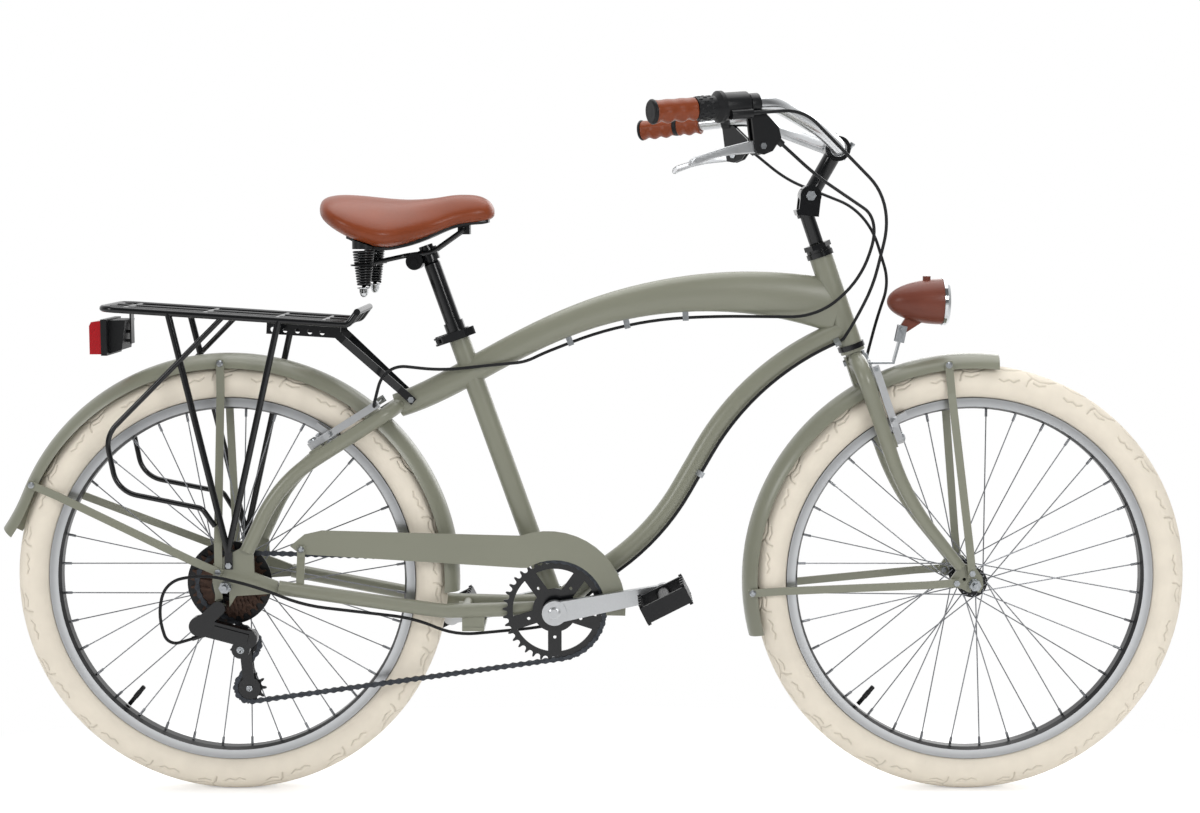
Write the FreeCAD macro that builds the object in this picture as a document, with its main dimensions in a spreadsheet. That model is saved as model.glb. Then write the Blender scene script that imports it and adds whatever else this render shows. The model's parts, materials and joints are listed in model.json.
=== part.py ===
import FreeCAD, Part
import math
import os
import types
import Sketcher

# Beach cruiser bicycle, millimetres.  +X points forward, +Y to the rider's left, +Z up.
# The ground is z = 0 and the box round the whole bicycle is centred on the origin.

Vector = FreeCAD.Vector
doc = FreeCAD.newDocument("BeachCruiser")
sheet = doc.addObject("Spreadsheet::Sheet", "Sizes")

SIZES = {
    # Overall layout
    "wheelbase": 1142.5,
    "crank_x": 500.0,
    "crank_z": 292.0,
    "running_gap": 0.4,
    "fit_gap": 0.05,
    # Tyres, inner tubes and rims
    "tyre_radius": 333.5,
    "tyre_section": 26.5,
    "casing_wall": 3.5,
    "bead_opening": 18.0,
    "bead_depth": 18.0,
    "tube_wall": 1.2,
    "tube_gap": 0.6,
    "valve_radius": 4.0,
    "valve_length": 42.0,
    "rim_flange_radius": 283.5,
    "rim_shelf_radius": 280.0,
    "rim_well_radius": 277.0,
    "rim_track_radius": 270.0,
    "rim_inner_radius": 266.5,
    "rim_half_width": 16.0,
    "rim_mouth_half": 12.6,
    "rim_well_half": 7.0,
    "rim_nose_half": 8.0,
    "rim_wall": 2.2,
    # Spokes
    "spoke_radius": 0.95,
    "spoke_bend": 3.0,
    "spoke_circle": 20.0,
    "spoke_hole": 1.3,
    "nipple_radius": 2.0,
    "nipple_length": 12.0,
    "nipple_gap": 0.6,
    # Hubs and axles
    "flange_radius": 23.5,
    "flange_half": 1.5,
    "hub_barrel": 15.0,
    "hub_bore": 9.0,
    "cup_bore": 13.2,
    "cup_radius": 17.0,
    "cup_depth": 10.0,
    "front_flange_reach": 34.0,
    "front_cup_reach": 41.0,
    "front_axle_radius": 4.5,
    "front_locknut_reach": 50.0,
    "fork_end_thick": 5.0,
    "axle_stub": 8.0,
    "washer_thick": 2.0,
    "axle_nut_height": 9.0,
    "axle_nut_radius": 9.0,
    "cone_radius": 7.2,
    "cone_length": 14.0,
    "locknut_radius": 8.4,
    "locknut_height": 4.0,
    "ball_radius": 2.4,
    "ball_circle": 10.2,
    "rear_left_flange": 36.0,
    "rear_right_flange": 22.0,
    "rear_left_cup": 44.0,
    "rear_boss_reach": 58.0,
    "rear_boss_radius": 16.5,
    "rear_axle_radius": 5.0,
    "rear_locknut_reach": 67.5,
    "dropout_thick": 5.0,
    # Drive train
    "chain_pitch": 12.7,
    "chain_line": 45.0,
    "roller_radius": 3.8,
    "roller_seat": 4.2,
    "tooth_height": 3.4,
    "tooth_tip": 1.8,
    "chain_inner_half": 1.4,
    "chain_plate_thick": 0.8,
    "chain_plate_half": 4.0,
    "chain_rivet_radius": 1.8,
    "chain_rivet_height": 0.2,
    "sprocket_thick": 1.8,
    "sprocket_spacing": 4.5,
    "carrier_radius": 23.0,
    "carrier_gap": 0.5,
    "guard_disc_radius": 65.0,
    "guard_disc_thick": 1.2,
    "guard_disc_gap": 1.5,
    "ring_thick": 2.2,
    "ring_window_outer": 64.5,
    "ring_window_inner": 34.0,
    "ring_spoke_half": 10.5,
    "ring_hole_circle": 42.0,
    "ring_hole_radius": 2.5,
    "crank_length": 170.0,
    "crank_tilt": 11.0,
    "crank_inner": 58.0,
    "crank_thick": 13.0,
    "crank_boss_radius": 19.0,
    "crank_eye_radius": 13.5,
    "crank_root_half": 16.0,
    "crank_tip_half": 11.0,
    "dust_cap_radius": 9.5,
    "dust_cap_height": 3.0,
    "spindle_radius": 8.0,
    "shell_radius": 20.0,
    "shell_bore": 17.0,
    "shell_half": 34.0,
    "cup_lip_radius": 19.0,
    "cup_lip": 3.0,
    "cup_inset": 14.0,
    "cup_inner_radius": 13.2,
    # Pedals
    "pedal_tilt": 27.0,
    "pedal_gap": 6.0,
    "pedal_width": 90.0,
    "pedal_length": 74.0,
    "pedal_height": 26.0,
    "pedal_wall": 5.0,
    "pedal_barrel": 11.0,
    "pedal_spindle": 6.0,
    "pedal_tooth": 4.0,
    # Derailleur
    "pulley_teeth": 11,
    "guide_x": 23.6,
    "guide_z": 239.5,
    "pulley_distance": 69.0,
    "pulley_thick": 2.2,
    "pulley_bore": 3.0,
    "cage_thick": 1.5,
    "cage_half_gap": 4.0,
    "cage_half_width": 9.0,
    "cage_overhang": 9.0,
    "pulley_bolt": 2.7,
    "knuckle_radius": 14.0,
    "knuckle_gap": 0.8,
    "knuckle_length": 36.0,
    "hanger_x": -8.4,
    "hanger_drop": 29.3,
    "hanger_knuckle_radius": 11.0,
    "hanger_knuckle_length": 22.0,
    "body_back_x": -30.0,
    "body_back_z": -28.0,
    "body_back_radius": 15.0,
    "body_front_x": 44.0,
    "body_front_z": -48.0,
    "body_front_radius": 14.0,
    "body_half_width": 13.0,
    "body_inset": 2.0,
    "body_thick": 17.0,
    "body_cover": 3.0,
    "cage_foot_radius": 17.0,
    "adjuster_radius": 3.5,
    "adjuster_length": 26.0,
    # Frame tubes
    "head_top_x": 908.0,
    "head_top_z": 832.9,
    "head_angle": 19.24,
    "head_length": 141.7,
    "head_radius": 18.0,
    "head_bore": 15.5,
    "seat_angle": 19.5,
    "seat_tube_length": 454.0,
    "seat_tube_radius": 15.9,
    "seat_post_radius": 12.7,
    "frame_wall": 1.6,
    "top_tube_rise": 26.5,
    "top_tube_straight": 236.0,
    "top_tube_bow": 660.0,
    "top_tube_fall": 15.0,
    "top_tail_half": 19.0,
    "top_waist_half": 21.0,
    "top_head_half": 41.0,
    "top_tail_side": 18.0,
    "top_waist_side": 19.0,
    "top_head_side": 17.5,
    "down_radius": 17.0,
    "down_drop": 117.5,
    "down_bend_x": 799.4,
    "down_bend_z": 656.4,
    "down_bend_radius": 420.0,
    "down_sweep_x": 657.3,
    "down_sweep_z": 406.3,
    "down_sweep_radius": 365.0,
    # Rear triangle
    "stay_radius": 11.0,
    "stay_wall": 1.4,
    "stay_foot_y": 70.0,
    "seat_stay_foot_x": 33.0,
    "seat_stay_foot_z": 388.0,
    "seat_stay_bend_x": 83.3,
    "seat_stay_bend_y": 64.0,
    "seat_stay_bend_z": 493.2,
    "seat_stay_bend_radius": 220.0,
    "hoop_x": 258.0,
    "hoop_y": 46.0,
    "hoop_z": 604.0,
    "hoop_bend": 34.0,
    "chain_stay_foot_x": 80.0,
    "chain_stay_foot_z": 332.0,
    "chain_stay_knee_x": 330.0,
    "chain_stay_knee_y": 43.0,
    "chain_stay_knee_z": 290.0,
    "chain_stay_waist_x": 425.0,
    "chain_stay_waist_y": 30.0,
    "chain_stay_root_y": 26.0,
    "chain_stay_bend": 150.0,
    "stay_bridge_x": 362.0,
    "stay_bridge_radius": 7.0,
    "axle_slot_gap": 0.25,
    "bolt_radius": 2.5,
    "bolt_hole": 2.7,
    "bolt_head": 5.0,
    "bolt_head_height": 3.5,
    "rack_bolt_x": 5.9,
    "rack_bolt_rise": 33.6,
    "stay_bolt_x": -10.0,
    "stay_bolt_rise": 23.8,
    "kick_plate_x": 374.0,
    "kick_plate_z": 258.0,
    "kick_plate_length": 34.0,
    "kick_plate_width": 82.0,
    "kick_plate_thick": 6.0,
    "kick_bolt_hole": 5.25,
    "kick_web_thick": 6.0,
    "kick_web_y": 37.0,
    # Brakes
    "brake_pivot_y": 40.0,
    "brake_pivot_height": 20.0,
    "rear_brake_x": 144.4,
    "front_brake_drop": 298.0,
    "brake_stud_radius": 5.0,
    "brake_boss_radius": 8.0,
    "brake_bracket_length": 22.0,
    "brake_arm_length": 117.0,
    "brake_arm_thick": 11.0,
    "brake_arm_half": 4.5,
    "brake_arm_bow": 7.0,
    "brake_pad_reach": 25.0,
    "brake_pad_length": 50.0,
    "brake_pad_height": 10.0,
    "brake_pad_thick": 11.0,
    "brake_pad_gap": 1.5,
    "brake_pin_radius": 3.0,
    # Cable guides on the frame
    "guide_length": 9.0,
    "guide_width": 8.0,
    "cable_radius": 2.4,
    "guide_reach": 9.0,
    # Fork and headset
    "headset_height": 8.0,
    "headset_radius": 21.0,
    "headset_pocket": 19.0,
    "headset_floor": 3.0,
    "headset_skirt": 10.0,
    "headset_ball": 2.2,
    "headset_ball_circle": 16.2,
    "race_height": 4.6,
    "race_radius": 19.0,
    "locknut_hex": 21.0,
    "headset_nut_height": 7.5,
    "steerer_radius": 12.7,
    "steerer_bore": 11.15,
    "blade_radius": 13.0,
    "blade_tip": 8.5,
    "blade_wall": 1.5,
    "blade_y": 52.5,
    "crown_bend": 38.0,
    "blade_vertex": 160.3,
    "blade_bend": 400.0,
    "blade_tip_gap": 34.0,
    "fork_upper_bolt_x": -5.4,
    "fork_upper_bolt_rise": 19.0,
    "fork_lower_bolt_x": -29.0,
    "fork_lower_bolt_rise": 4.0,
    "fork_eyelet_x": -15.6,
    "fork_eyelet_rise": 8.0,
    "fork_eyelet_hole": 2.75,
    # Stem and handlebar
    "quill_radius": 11.1,
    "quill_depth": 60.0,
    "quill_bolt": 4.0,
    "quill_bolt_hole": 4.4,
    "quill_top": 80.0,
    "wedge_length": 22.0,
    "collar_radius": 15.0,
    "collar_height": 14.0,
    "stem_pivot_rise": 93.5,
    "stem_pivot_ahead": 13.0,
    "stem_knuckle_radius": 16.0,
    "stem_knuckle_half": 16.0,
    "stem_cheek_thick": 6.0,
    "stem_cheek_wide": 31.0,
    "stem_arm_radius": 12.5,
    "stem_bolt": 4.0,
    "bar_clamp_x": 929.8,
    "bar_clamp_z": 996.4,
    "bar_clamp_radius": 19.0,
    "bar_clamp_half": 23.0,
    "bar_clamp_slit": 1.2,
    "bar_sleeve_radius": 12.7,
    "bar_sleeve_half": 28.0,
    "bar_radius": 11.1,
    "bar_wall": 1.6,
    "bar_half_width": 330.0,
    "bar_end_x": 642.0,
    "bar_end_z": 1037.0,
    "bar_knee_x": 812.0,
    "bar_knee_y": 252.0,
    "bar_knee_z": 1053.0,
    "bar_hip_x": 885.0,
    "bar_hip_y": 160.0,
    "bar_hip_z": 1021.0,
    "bar_root_y": 45.0,
    "bar_knee_bend": 85.0,
    "bar_hip_bend": 200.0,
    "bar_root_bend": 170.0,
    # Grips, shifter and brake levers, measured along the bar from its end
    "grip_radius": 15.5,
    "grip_bore_gap": 0.1,
    "grip_cap": 5.0,
    "right_grip_end": 62.0,
    "twist_start": 63.0,
    "twist_end": 104.0,
    "twist_radius": 16.0,
    "twist_flange": 22.0,
    "twist_flange_thick": 6.0,
    "housing_start": 105.0,
    "housing_end": 142.0,
    "housing_radius": 19.0,
    "housing_port": 3.5,
    "housing_port_length": 12.0,
    "left_band_start": 58.0,
    "left_band_end": 78.0,
    "left_grip_end": 105.0,
    "bracket_start": 146.0,
    "bracket_length": 14.0,
    "bracket_radius": 15.5,
    "bracket_cheek": 4.0,
    "bracket_cheek_wide": 20.0,
    "lever_drop": 58.0,
    "lever_ahead": 8.0,
    "lever_length": 104.0,
    "lever_thick": 8.0,
    "lever_pin": 2.8,
    "barrel_radius": 5.0,
    "barrel_length": 18.0,
    "barrel_drop": 46.0,
    "barrel_ahead": 22.0,
    "barrel_mount": 7.0,
    # Headlight
    "lamp_tip_x": 1010.0,
    "lamp_z": 764.0,
    "lamp_length": 84.0,
    "lamp_radius": 35.0,
    "lamp_wall": 2.0,
    "bezel_length": 9.0,
    "bezel_radius": 36.5,
    "bezel_wall": 5.0,
    "lens_thick": 3.0,
    "lamp_button": 6.0,
    "lamp_button_height": 4.0,
    "lamp_pivot_x": 1034.5,
    "lamp_pivot_z": 721.2,
    "lamp_lug_half": 4.0,
    "lamp_lug_radius": 7.0,
    "lamp_ear_thick": 3.0,
    "lamp_pin": 2.7,
    "lamp_foot_x": 1021.0,
    "lamp_foot_z": 670.0,
    "lamp_bracket_thick": 3.0,
    "crown_bolt": 3.0,
    # Fenders, their stays and the chain guard
    "fender_circle": 319.0,
    "fender_section": 33.0,
    "fender_sheet": 1.4,
    "fender_edge": 330.0,
    "front_fender_start": 83.6,
    "front_fender_end": 194.8,
    "rear_fender_start": -3.0,
    "rear_fender_end": 157.0,
    "tail_bend": 311.0,
    "tail_flare": 11.8,
    "stay_screw_circle": 338.0,
    "front_stay_angle": 97.0,
    "front_tail_angle": 183.0,
    "rear_stay_angle": 91.6,
    "rear_tail_angle": 153.5,
    "stay_wide": 12.0,
    "stay_thick": 2.5,
    "stay_rise": 44.0,
    "front_stay_y": 63.0,
    "fender_screw": 2.4,
    "fender_boss": 5.5,
    "guard_y": 50.5,
    "guard_thick": 1.5,
    "guard_centre_x": 490.0,
    "guard_centre_z": 297.0,
    "guard_outer": 119.0,
    "guard_inner": 79.0,
    "guard_post_x": 112.5,
    "guard_post_z": 388.0,
    "guard_stud": 5.0,
    "guard_stud_rise": 100.0,
    # Parts of the brake arms
    "brake_wire": 0.8,
    "brake_wire_hole": 1.7,
    "brake_wire_rise": 112.0,
    "brake_cap_radius": 7.5,
    "brake_cap_height": 4.0,
    # Rear rack and tail light
    "rack_tube": 5.0,
    "rack_rod": 3.5,
    "rack_half_width": 75.0,
    "rack_tail_x": -180.0,
    "rack_tail_z": 757.0,
    "rack_front_x": 192.0,
    "rack_front_z": 733.0,
    "rack_bend": 22.0,
    "rack_hook_x": 206.0,
    "rack_hook_rise": 20.0,
    "rack_inner_y": 25.0,
    "rack_leg_y": 79.0,
    "rack_leg_end": 388.0,
    "rear_leg_x": -78.0,
    "front_leg_x": 87.5,
    "loop_y": 83.5,
    "rack_foot_thick": 3.0,
    "rack_bracket_y": 40.0,
    "rack_bracket_start": 64.0,
    "rack_bracket_end": 176.0,
    "rack_bracket_high": 24.0,
    "strut_x": 280.0,
    "strut_y": 20.5,
    "strut_boss": 6.0,
    "tail_lamp_wide": 88.0,
    "tail_lamp_rear": -204.7,
    "tail_lamp_frame": -187.0,
    "tail_lamp_back": -178.0,
    "tail_lamp_end": -153.0,
    "tail_lamp_low": 686.0,
    "tail_lamp_top": 737.0,
    "tail_tab_wide": 20.0,
    # Seat post, clamp and saddle
    "post_top": 138.0,
    "post_shoulder": 108.0,
    "post_neck": 11.1,
    "post_depth": 110.0,
    "collar_outer": 20.0,
    "collar_grip": 14.0,
    "ferrule_radius": 15.5,
    "ferrule_height": 14.0,
    "clamp_ear_thick": 5.0,
    "clamp_slit": 3.0,
    "clamp_ear_reach": 34.0,
    "skewer_radius": 2.5,
    "cam_back": 29.0,
    "cam_aside": 16.5,
    "cam_pin": 3.0,
    "cam_hub": 6.8,
    "cam_lever_thick": 12.5,
    "cam_slot": 6.0,
    "cam_eye": 5.2,
    "cam_lever_reach": 27.0,
    "rail_radius": 3.5,
    "rail_y": 22.0,
    "rail_bend": 24.0,
    "saddle_drum": 13.0,
    "saddle_drum_half": 27.0,
    "saddle_drum_x": 287.3,
    "saddle_drum_z": 826.0,
    "spring_x": 216.0,
    "spring_y": 72.0,
    "spring_low": 789.0,
    "spring_high": 846.0,
    "spring_waist": 822.0,
    "spring_wire": 1.3,
    "spring_pitch": 3.15,
    "spring_top_radius": 15.5,
    "spring_waist_radius": 13.0,
    "spring_foot_radius": 8.6,
    "spring_eye": 15.2,
    "spring_eye_rim": 19.5,
    "spring_eye_thick": 2.5,
    "spring_bolt": 3.0,
    "spring_washer_thick": 2.0,
    "acorn_radius": 6.5,
    "acorn_height": 13.0,
    "saddle_base_thick": 4.0,
    "nose_bar_x": 362.0,
    "nose_bar_z": 874.0,
    "nose_lug": 7.0,
    "nose_lug_wide": 32.0,
    # Cables
    "top_cable_gap": 7.0,
    "down_cable_drop": 12.0,
    "down_cable_side": 19.5,
    "cable_bend": 600.0,
    "noodle_reach": 24.0,
    "anchor_radius": 3.0,
    "anchor_length": 3.0,
    "ferrule_outer": 3.4,
}


class Size:
    """A length that carries its number and the sheet expression that gives it."""

    def __init__(self, value, text):
        self.value = value
        self.text = text

    def __add__(self, other):
        other = as_size(other)
        return Size(self.value + other.value, f"({self.text} + {other.text})")

    def __radd__(self, other):
        return as_size(other) + self

    def __sub__(self, other):
        other = as_size(other)
        return Size(self.value - other.value, f"({self.text} - {other.text})")

    def __mul__(self, factor):
        factor = as_size(factor)
        return Size(self.value * factor.value, f"({self.text} * {factor.text})")

    def __truediv__(self, factor):
        factor = as_size(factor)
        return Size(self.value / factor.value, f"({self.text} / {factor.text})")

    def __neg__(self):
        return Size(-self.value, f"(-1 * {self.text})")


def as_size(value):
    """Wrap a plain number, so that numbers and sizes mix freely."""
    return value if isinstance(value, Size) else Size(float(value), repr(float(value)))


def num(value):
    """The plain number of a size."""
    return as_size(value).value


def bind(thing, field, value):
    """Give a property its number, and tie it to the sheet where it is a size."""
    setattr(thing, field, num(value))
    if isinstance(value, Size):
        thing.setExpression(field, value.text)


size = types.SimpleNamespace()
for row, (alias, figure) in enumerate(SIZES.items(), start=1):
    sheet.set(f"A{row}", alias)
    sheet.set(f"B{row}", str(figure))
    sheet.setAlias(f"B{row}", alias)
    setattr(size, alias, Size(figure, f"Sizes.{alias}"))
doc.recompute()

X_AXIS = Vector(1, 0, 0)
LEFT = Vector(0, 1, 0)
UP = Vector(0, 0, 1)
SIDES = {"right": -1, "left": 1}
NODES = []


def node(label, thing):
    """Register a finished sub-part under the name of its file."""
    thing.Label = label
    NODES.append(thing)
    return thing


def stand(origin, axis=UP, across=None):
    """Placement that puts local Z along axis and local X as near to across as it can."""
    up = Vector(axis).normalize()
    if across is None:
        across = X_AXIS if abs(up.x) < 0.9 else UP
    side = (across - up * across.dot(up)).normalize()
    front = up.cross(side)
    return FreeCAD.Placement(FreeCAD.Matrix(
        side.x, front.x, up.x, origin.x,
        side.y, front.y, up.y, origin.y,
        side.z, front.z, up.z, origin.z))


def wheel_frame(origin):
    """Placement with local Z to the left and local X forward: local Y then points down."""
    return stand(origin, LEFT, X_AXIS)


def make(kind, name, place=None, **fields):
    """Add one document object and bind its sizes."""
    thing = doc.addObject(kind, name)
    for field, value in fields.items():
        bind(thing, field, value)
    if place is not None:
        thing.Placement = place
    return thing


def drum(name, radius, length, place, bore=None):
    """Cylinder along local Z from 0 to length, bored through when a bore is given."""
    solid = make("Part::Cylinder", name, place, Radius=radius, Height=length)
    if bore is None:
        return solid
    return cut(name + "Bored", solid, make("Part::Cylinder", name + "Bore", place,
                                           Radius=bore, Height=length))


def block(name, long, wide, high, place):
    """Box centred on its placement in X and Y, standing on it in Z."""
    solid = make("Part::Box", name, None, Length=long, Width=wide, Height=high)
    solid.Placement = place * FreeCAD.Placement(Vector(-num(long) / 2, -num(wide) / 2, 0),
                                                FreeCAD.Rotation())
    return solid


def hexagon(name, radius, height, place, bore=None):
    """Hexagon nut or bolt head on local Z."""
    solid = make("Part::Prism", name, place, Circumradius=radius, Height=height)
    if bore is None:
        return solid
    return cut(name + "Bored", solid, make("Part::Cylinder", name + "Bore", place,
                                           Radius=bore, Height=height))


def cut(name, base, *tools):
    """Base less every tool."""
    for count, tool in enumerate(tools):
        result = doc.addObject("Part::Cut", f"{name}Cut{count}")
        result.Base = base
        result.Tool = tool
        base = result
    return base


def fuse(name, *pieces):
    """One solid made of the pieces."""
    result = doc.addObject("Part::MultiFuse", name)
    result.Shapes = list(pieces)
    result.Refine = True
    return result


def group(name, *pieces):
    """Separate solids kept together as one sub-part."""
    result = doc.addObject("Part::Compound", name)
    result.Links = list(pieces)
    return result


def shaped(name, shape, place=None):
    """Sub-part whose shape is worked out from the sizes."""
    thing = doc.addObject("Part::Feature", name)
    thing.Shape = shape
    if place is not None:
        thing.Placement = place
    return thing


def origin_plane(body, role):
    """One of the body's own base planes."""
    return [plane for plane in body.Origin.OriginFeatures if plane.Role == role][0]


def pin_coordinate(sketch, kind, axis_line, edge, value):
    """Fix one coordinate of an edge's first point, tied to the sheet where it is a size."""
    if not isinstance(value, Size) and value == 0:
        sketch.addConstraint(Sketcher.Constraint("PointOnObject", edge, 1, axis_line))
        return
    index = sketch.addConstraint(Sketcher.Constraint(kind, -1, 1, edge, 1, num(value)))
    if isinstance(value, Size):
        sketch.setExpression(f"Constraints[{index}]", value.text)


def draw_loop(sketch, points):
    """Closed run of straight edges through the points, each point pinned."""
    spots = [Vector(num(across), num(along), 0) for across, along in points]
    edges = [sketch.addGeometry(Part.LineSegment(spot, spots[(index + 1) % len(spots)]), False)
             for index, spot in enumerate(spots)]
    for index, edge in enumerate(edges):
        following = edges[(index + 1) % len(edges)]
        sketch.addConstraint(Sketcher.Constraint("Coincident", edge, 2, following, 1))
    for edge, (across, along) in zip(edges, points):
        pin_coordinate(sketch, "DistanceX", -2, edge, across)
        pin_coordinate(sketch, "DistanceY", -1, edge, along)


def draw_hole(sketch, across, along, radius):
    """Circle of a bound radius at a pinned centre."""
    circle = Part.Circle(Vector(num(across), num(along), 0), Vector(0, 0, 1), num(radius))
    edge = sketch.addGeometry(circle, False)
    index = sketch.addConstraint(Sketcher.Constraint("Radius", edge, num(radius)))
    if isinstance(radius, Size):
        sketch.setExpression(f"Constraints[{index}]", radius.text)
    for kind, value in (("DistanceX", across), ("DistanceY", along)):
        index = sketch.addConstraint(Sketcher.Constraint(kind, -1, 1, edge, 3, num(value)))
        if isinstance(value, Size):
            sketch.setExpression(f"Constraints[{index}]", value.text)


def new_sketch(body, role):
    """Empty sketch on one of the body's base planes."""
    sketch = body.newObject("Sketcher::SketchObject", body.Name + "Sketch")
    sketch.AttachmentSupport = [(origin_plane(body, role), "")]
    sketch.MapMode = "FlatFace"
    return sketch


def turned(name, outline, place, *inner_outlines):
    """Body of revolution about local Z from (radius, height) points."""
    body = doc.addObject("PartDesign::Body", name)
    sketch = new_sketch(body, "XZ_Plane")
    draw_loop(sketch, outline)
    for inner in inner_outlines:
        draw_loop(sketch, inner)
    turn = body.newObject("PartDesign::Revolution", name + "Turn")
    turn.Profile = sketch
    turn.ReferenceAxis = (sketch, ["V_Axis"])
    turn.Angle = 360
    sketch.Visibility = False
    body.Placement = place
    return body


def plate(name, outline, thick, place, holes=()):
    """Flat plate in local XY, padded along local Z, with round holes."""
    body = doc.addObject("PartDesign::Body", name)
    sketch = new_sketch(body, "XY_Plane")
    draw_loop(sketch, outline)
    for across, along, radius in holes:
        draw_hole(sketch, across, along, radius)
    pad = body.newObject("PartDesign::Pad", name + "Pad")
    pad.Profile = sketch
    bind(pad, "Length", thick)
    sketch.Visibility = False
    body.Placement = place
    return body


def bent_path(points, bends):
    """Straight runs through the points, joined by tangent arcs of the bend radii."""
    spots = [Vector(point) for point in points]
    edges = []
    begin = spots[0]
    for index in range(1, len(spots) - 1):
        corner = spots[index]
        arriving = (corner - spots[index - 1]).normalize()
        leaving = (spots[index + 1] - corner).normalize()
        turn = arriving.getAngle(leaving)
        bend = bends[index - 1] if isinstance(bends, (list, tuple)) else bends
        reach = bend * math.tan(turn / 2)
        inward = (leaving - arriving).normalize()
        enter = corner - arriving * reach
        leave = corner + leaving * reach
        middle = corner + inward * (bend / math.cos(turn / 2) - bend)
        if (enter - begin).dot(arriving) > 1e-4:
            edges.append(Part.LineSegment(begin, enter).toShape())
        edges.append(Part.Arc(enter, middle, leave).toShape())
        begin = leave
    edges.append(Part.LineSegment(begin, spots[-1]).toShape())
    return Part.Wire(edges)


def sweep(name, spine, radius, end_radius=None):
    """Round rod along a spine; it tapers when an end radius is given."""
    path = spine.Shape
    ends = [(path.Edges[0], "first", radius), (path.Edges[-1], "last", end_radius)]
    sections = []
    for edge, end, section_radius in ends:
        if section_radius is None:
            continue
        at_param = edge.FirstParameter if end == "first" else edge.LastParameter
        section = make("Part::Circle", f"{name}Section{len(sections)}", None, Radius=section_radius)
        section.Placement = stand(edge.valueAt(at_param), edge.tangentAt(at_param))
        sections.append(section)
    rod = doc.addObject("Part::Sweep", name)
    rod.Sections = sections
    rod.Spine = (spine, [])
    rod.Solid = True
    rod.Frenet = False
    return rod


def rod(name, points, bends, radius, wall=None, end_radius=None):
    """Round bar or, with a wall, tube along straight runs joined by tangent arcs."""
    spine = shaped(name + "Path", bent_path(points, bends))
    outer = sweep(name, spine, radius, end_radius)
    if wall is None:
        return outer
    inner_end = None if end_radius is None else end_radius - wall
    return cut(name + "Tube", outer, sweep(name + "Core", spine, radius - wall, inner_end))


def strip(name, start, end, wide, thick, facing=LEFT):
    """Flat bar from start to end, its broad face turned to the facing direction."""
    run = end - start
    place = stand(start, facing - run * (facing.dot(run) / run.dot(run)), run)
    bar = make("Part::Box", name, None, Length=run.Length, Width=wide, Height=thick)
    bar.Placement = place * FreeCAD.Placement(Vector(0, -num(wide) / 2, -num(thick) / 2),
                                              FreeCAD.Rotation())
    return bar


def ball_ring(name, circle, ball, count, place):
    """Bearing balls evenly round local Z."""
    balls = []
    for index in range(count):
        angle = 2 * math.pi * index / count
        centre = Vector(num(circle) * math.cos(angle), num(circle) * math.sin(angle), 0)
        balls.append(Part.makeSphere(num(ball), centre))
    return shaped(name, Part.makeCompound(balls), place)


def shifted(place, along):
    """The same placement moved along its own Z."""
    return place * FreeCAD.Placement(Vector(0, 0, num(along)), FreeCAD.Rotation())


def flipped(place):
    """The same placement with its Z turned round."""
    return place * FreeCAD.Placement(Vector(), FreeCAD.Rotation(X_AXIS, 180))


def facing_out(place, side):
    """Placement whose local Z points to the given side (+1 keeps it, -1 turns it round)."""
    return place if side > 0 else flipped(place)


def screw(name, spot, axis, head, head_height, shank, shank_length):
    """Round-headed screw: the head stands on the spot and the shank goes back from it."""
    place = stand(spot, axis)
    cap = turned(name, [(0, 0), (head, 0), (head, head_height * 0.5), (head * 0.6, head_height),
                        (0, head_height)], place)
    stem = drum(name + "Shank", shank, shank_length, shifted(place, -num(shank_length)))
    return fuse(name + "Whole", cap, stem)


# The rear fender flares outwards at its end: its tip is the rearmost point of the bicycle
fender_crown = size.fender_circle.value + size.fender_section.value
tail_angle = math.radians(size.rear_fender_end.value)
tail_turn = math.radians(size.tail_flare.value)
tail_reach = (-(fender_crown + size.tail_bend.value) * math.cos(tail_angle)
              + size.tail_bend.value * math.cos(tail_angle - tail_turn))
rear_x = (tail_reach - size.wheelbase.value - size.tyre_radius.value) / 2
axle_height = size.tyre_radius.value


def at(x, y, z):
    """Point given from the rear axle along X, from the middle plane in Y and from the ground in Z."""
    return Vector(rear_x + num(x), num(y), num(z))


REAR_AXLE = at(0, 0, size.tyre_radius)
FRONT_AXLE = at(size.wheelbase, 0, size.tyre_radius)
CRANK_AXLE = at(size.crank_x, 0, size.crank_z)


# Wheels: tyre with its inner tube, hollow rim, laced spokes, hub

def torus(name, ring, section, place):
    """Ring of round section about local Z."""
    return make("Part::Torus", name, place, Radius1=ring, Radius2=section)


def tyre(name, place, valve_angle):
    """Casing open at its beads, with the inner tube and its valve inside."""
    ring = size.tyre_radius - size.tyre_section
    hollow = size.tyre_section - size.casing_wall
    mouth = make("Part::Cylinder", name + "Mouth",
                 shifted(place, -size.bead_opening.value / 2),
                 Radius=ring - hollow + size.bead_depth * 0.5, Height=size.bead_opening)
    casing = cut(name + "Casing", torus(name + "Outside", ring, size.tyre_section, place),
                 torus(name + "Inside", ring, hollow, place), mouth)
    tube_section = hollow - size.tube_gap
    foot = ring - tube_section + size.tube_wall * 2 - size.valve_length
    valve = drum(name + "Valve", size.valve_radius, size.valve_length, spoke_frame(place, valve_angle, foot))
    ring_solid = torus(name + "TubeOutside", ring, tube_section, place)
    tube = cut(name + "Tube", fuse(name + "TubeSolid", ring_solid, valve),
               torus(name + "TubeInside", ring, tube_section - size.tube_wall, place))
    return node(name, group(name, casing, tube))


def spoke_frame(place, angle, radius):
    """Placement on the wheel's middle plane whose Z points outwards along the angle."""
    heading = Vector(math.cos(angle), math.sin(angle), 0)
    return place * stand(heading * num(radius), heading, UP)


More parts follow.
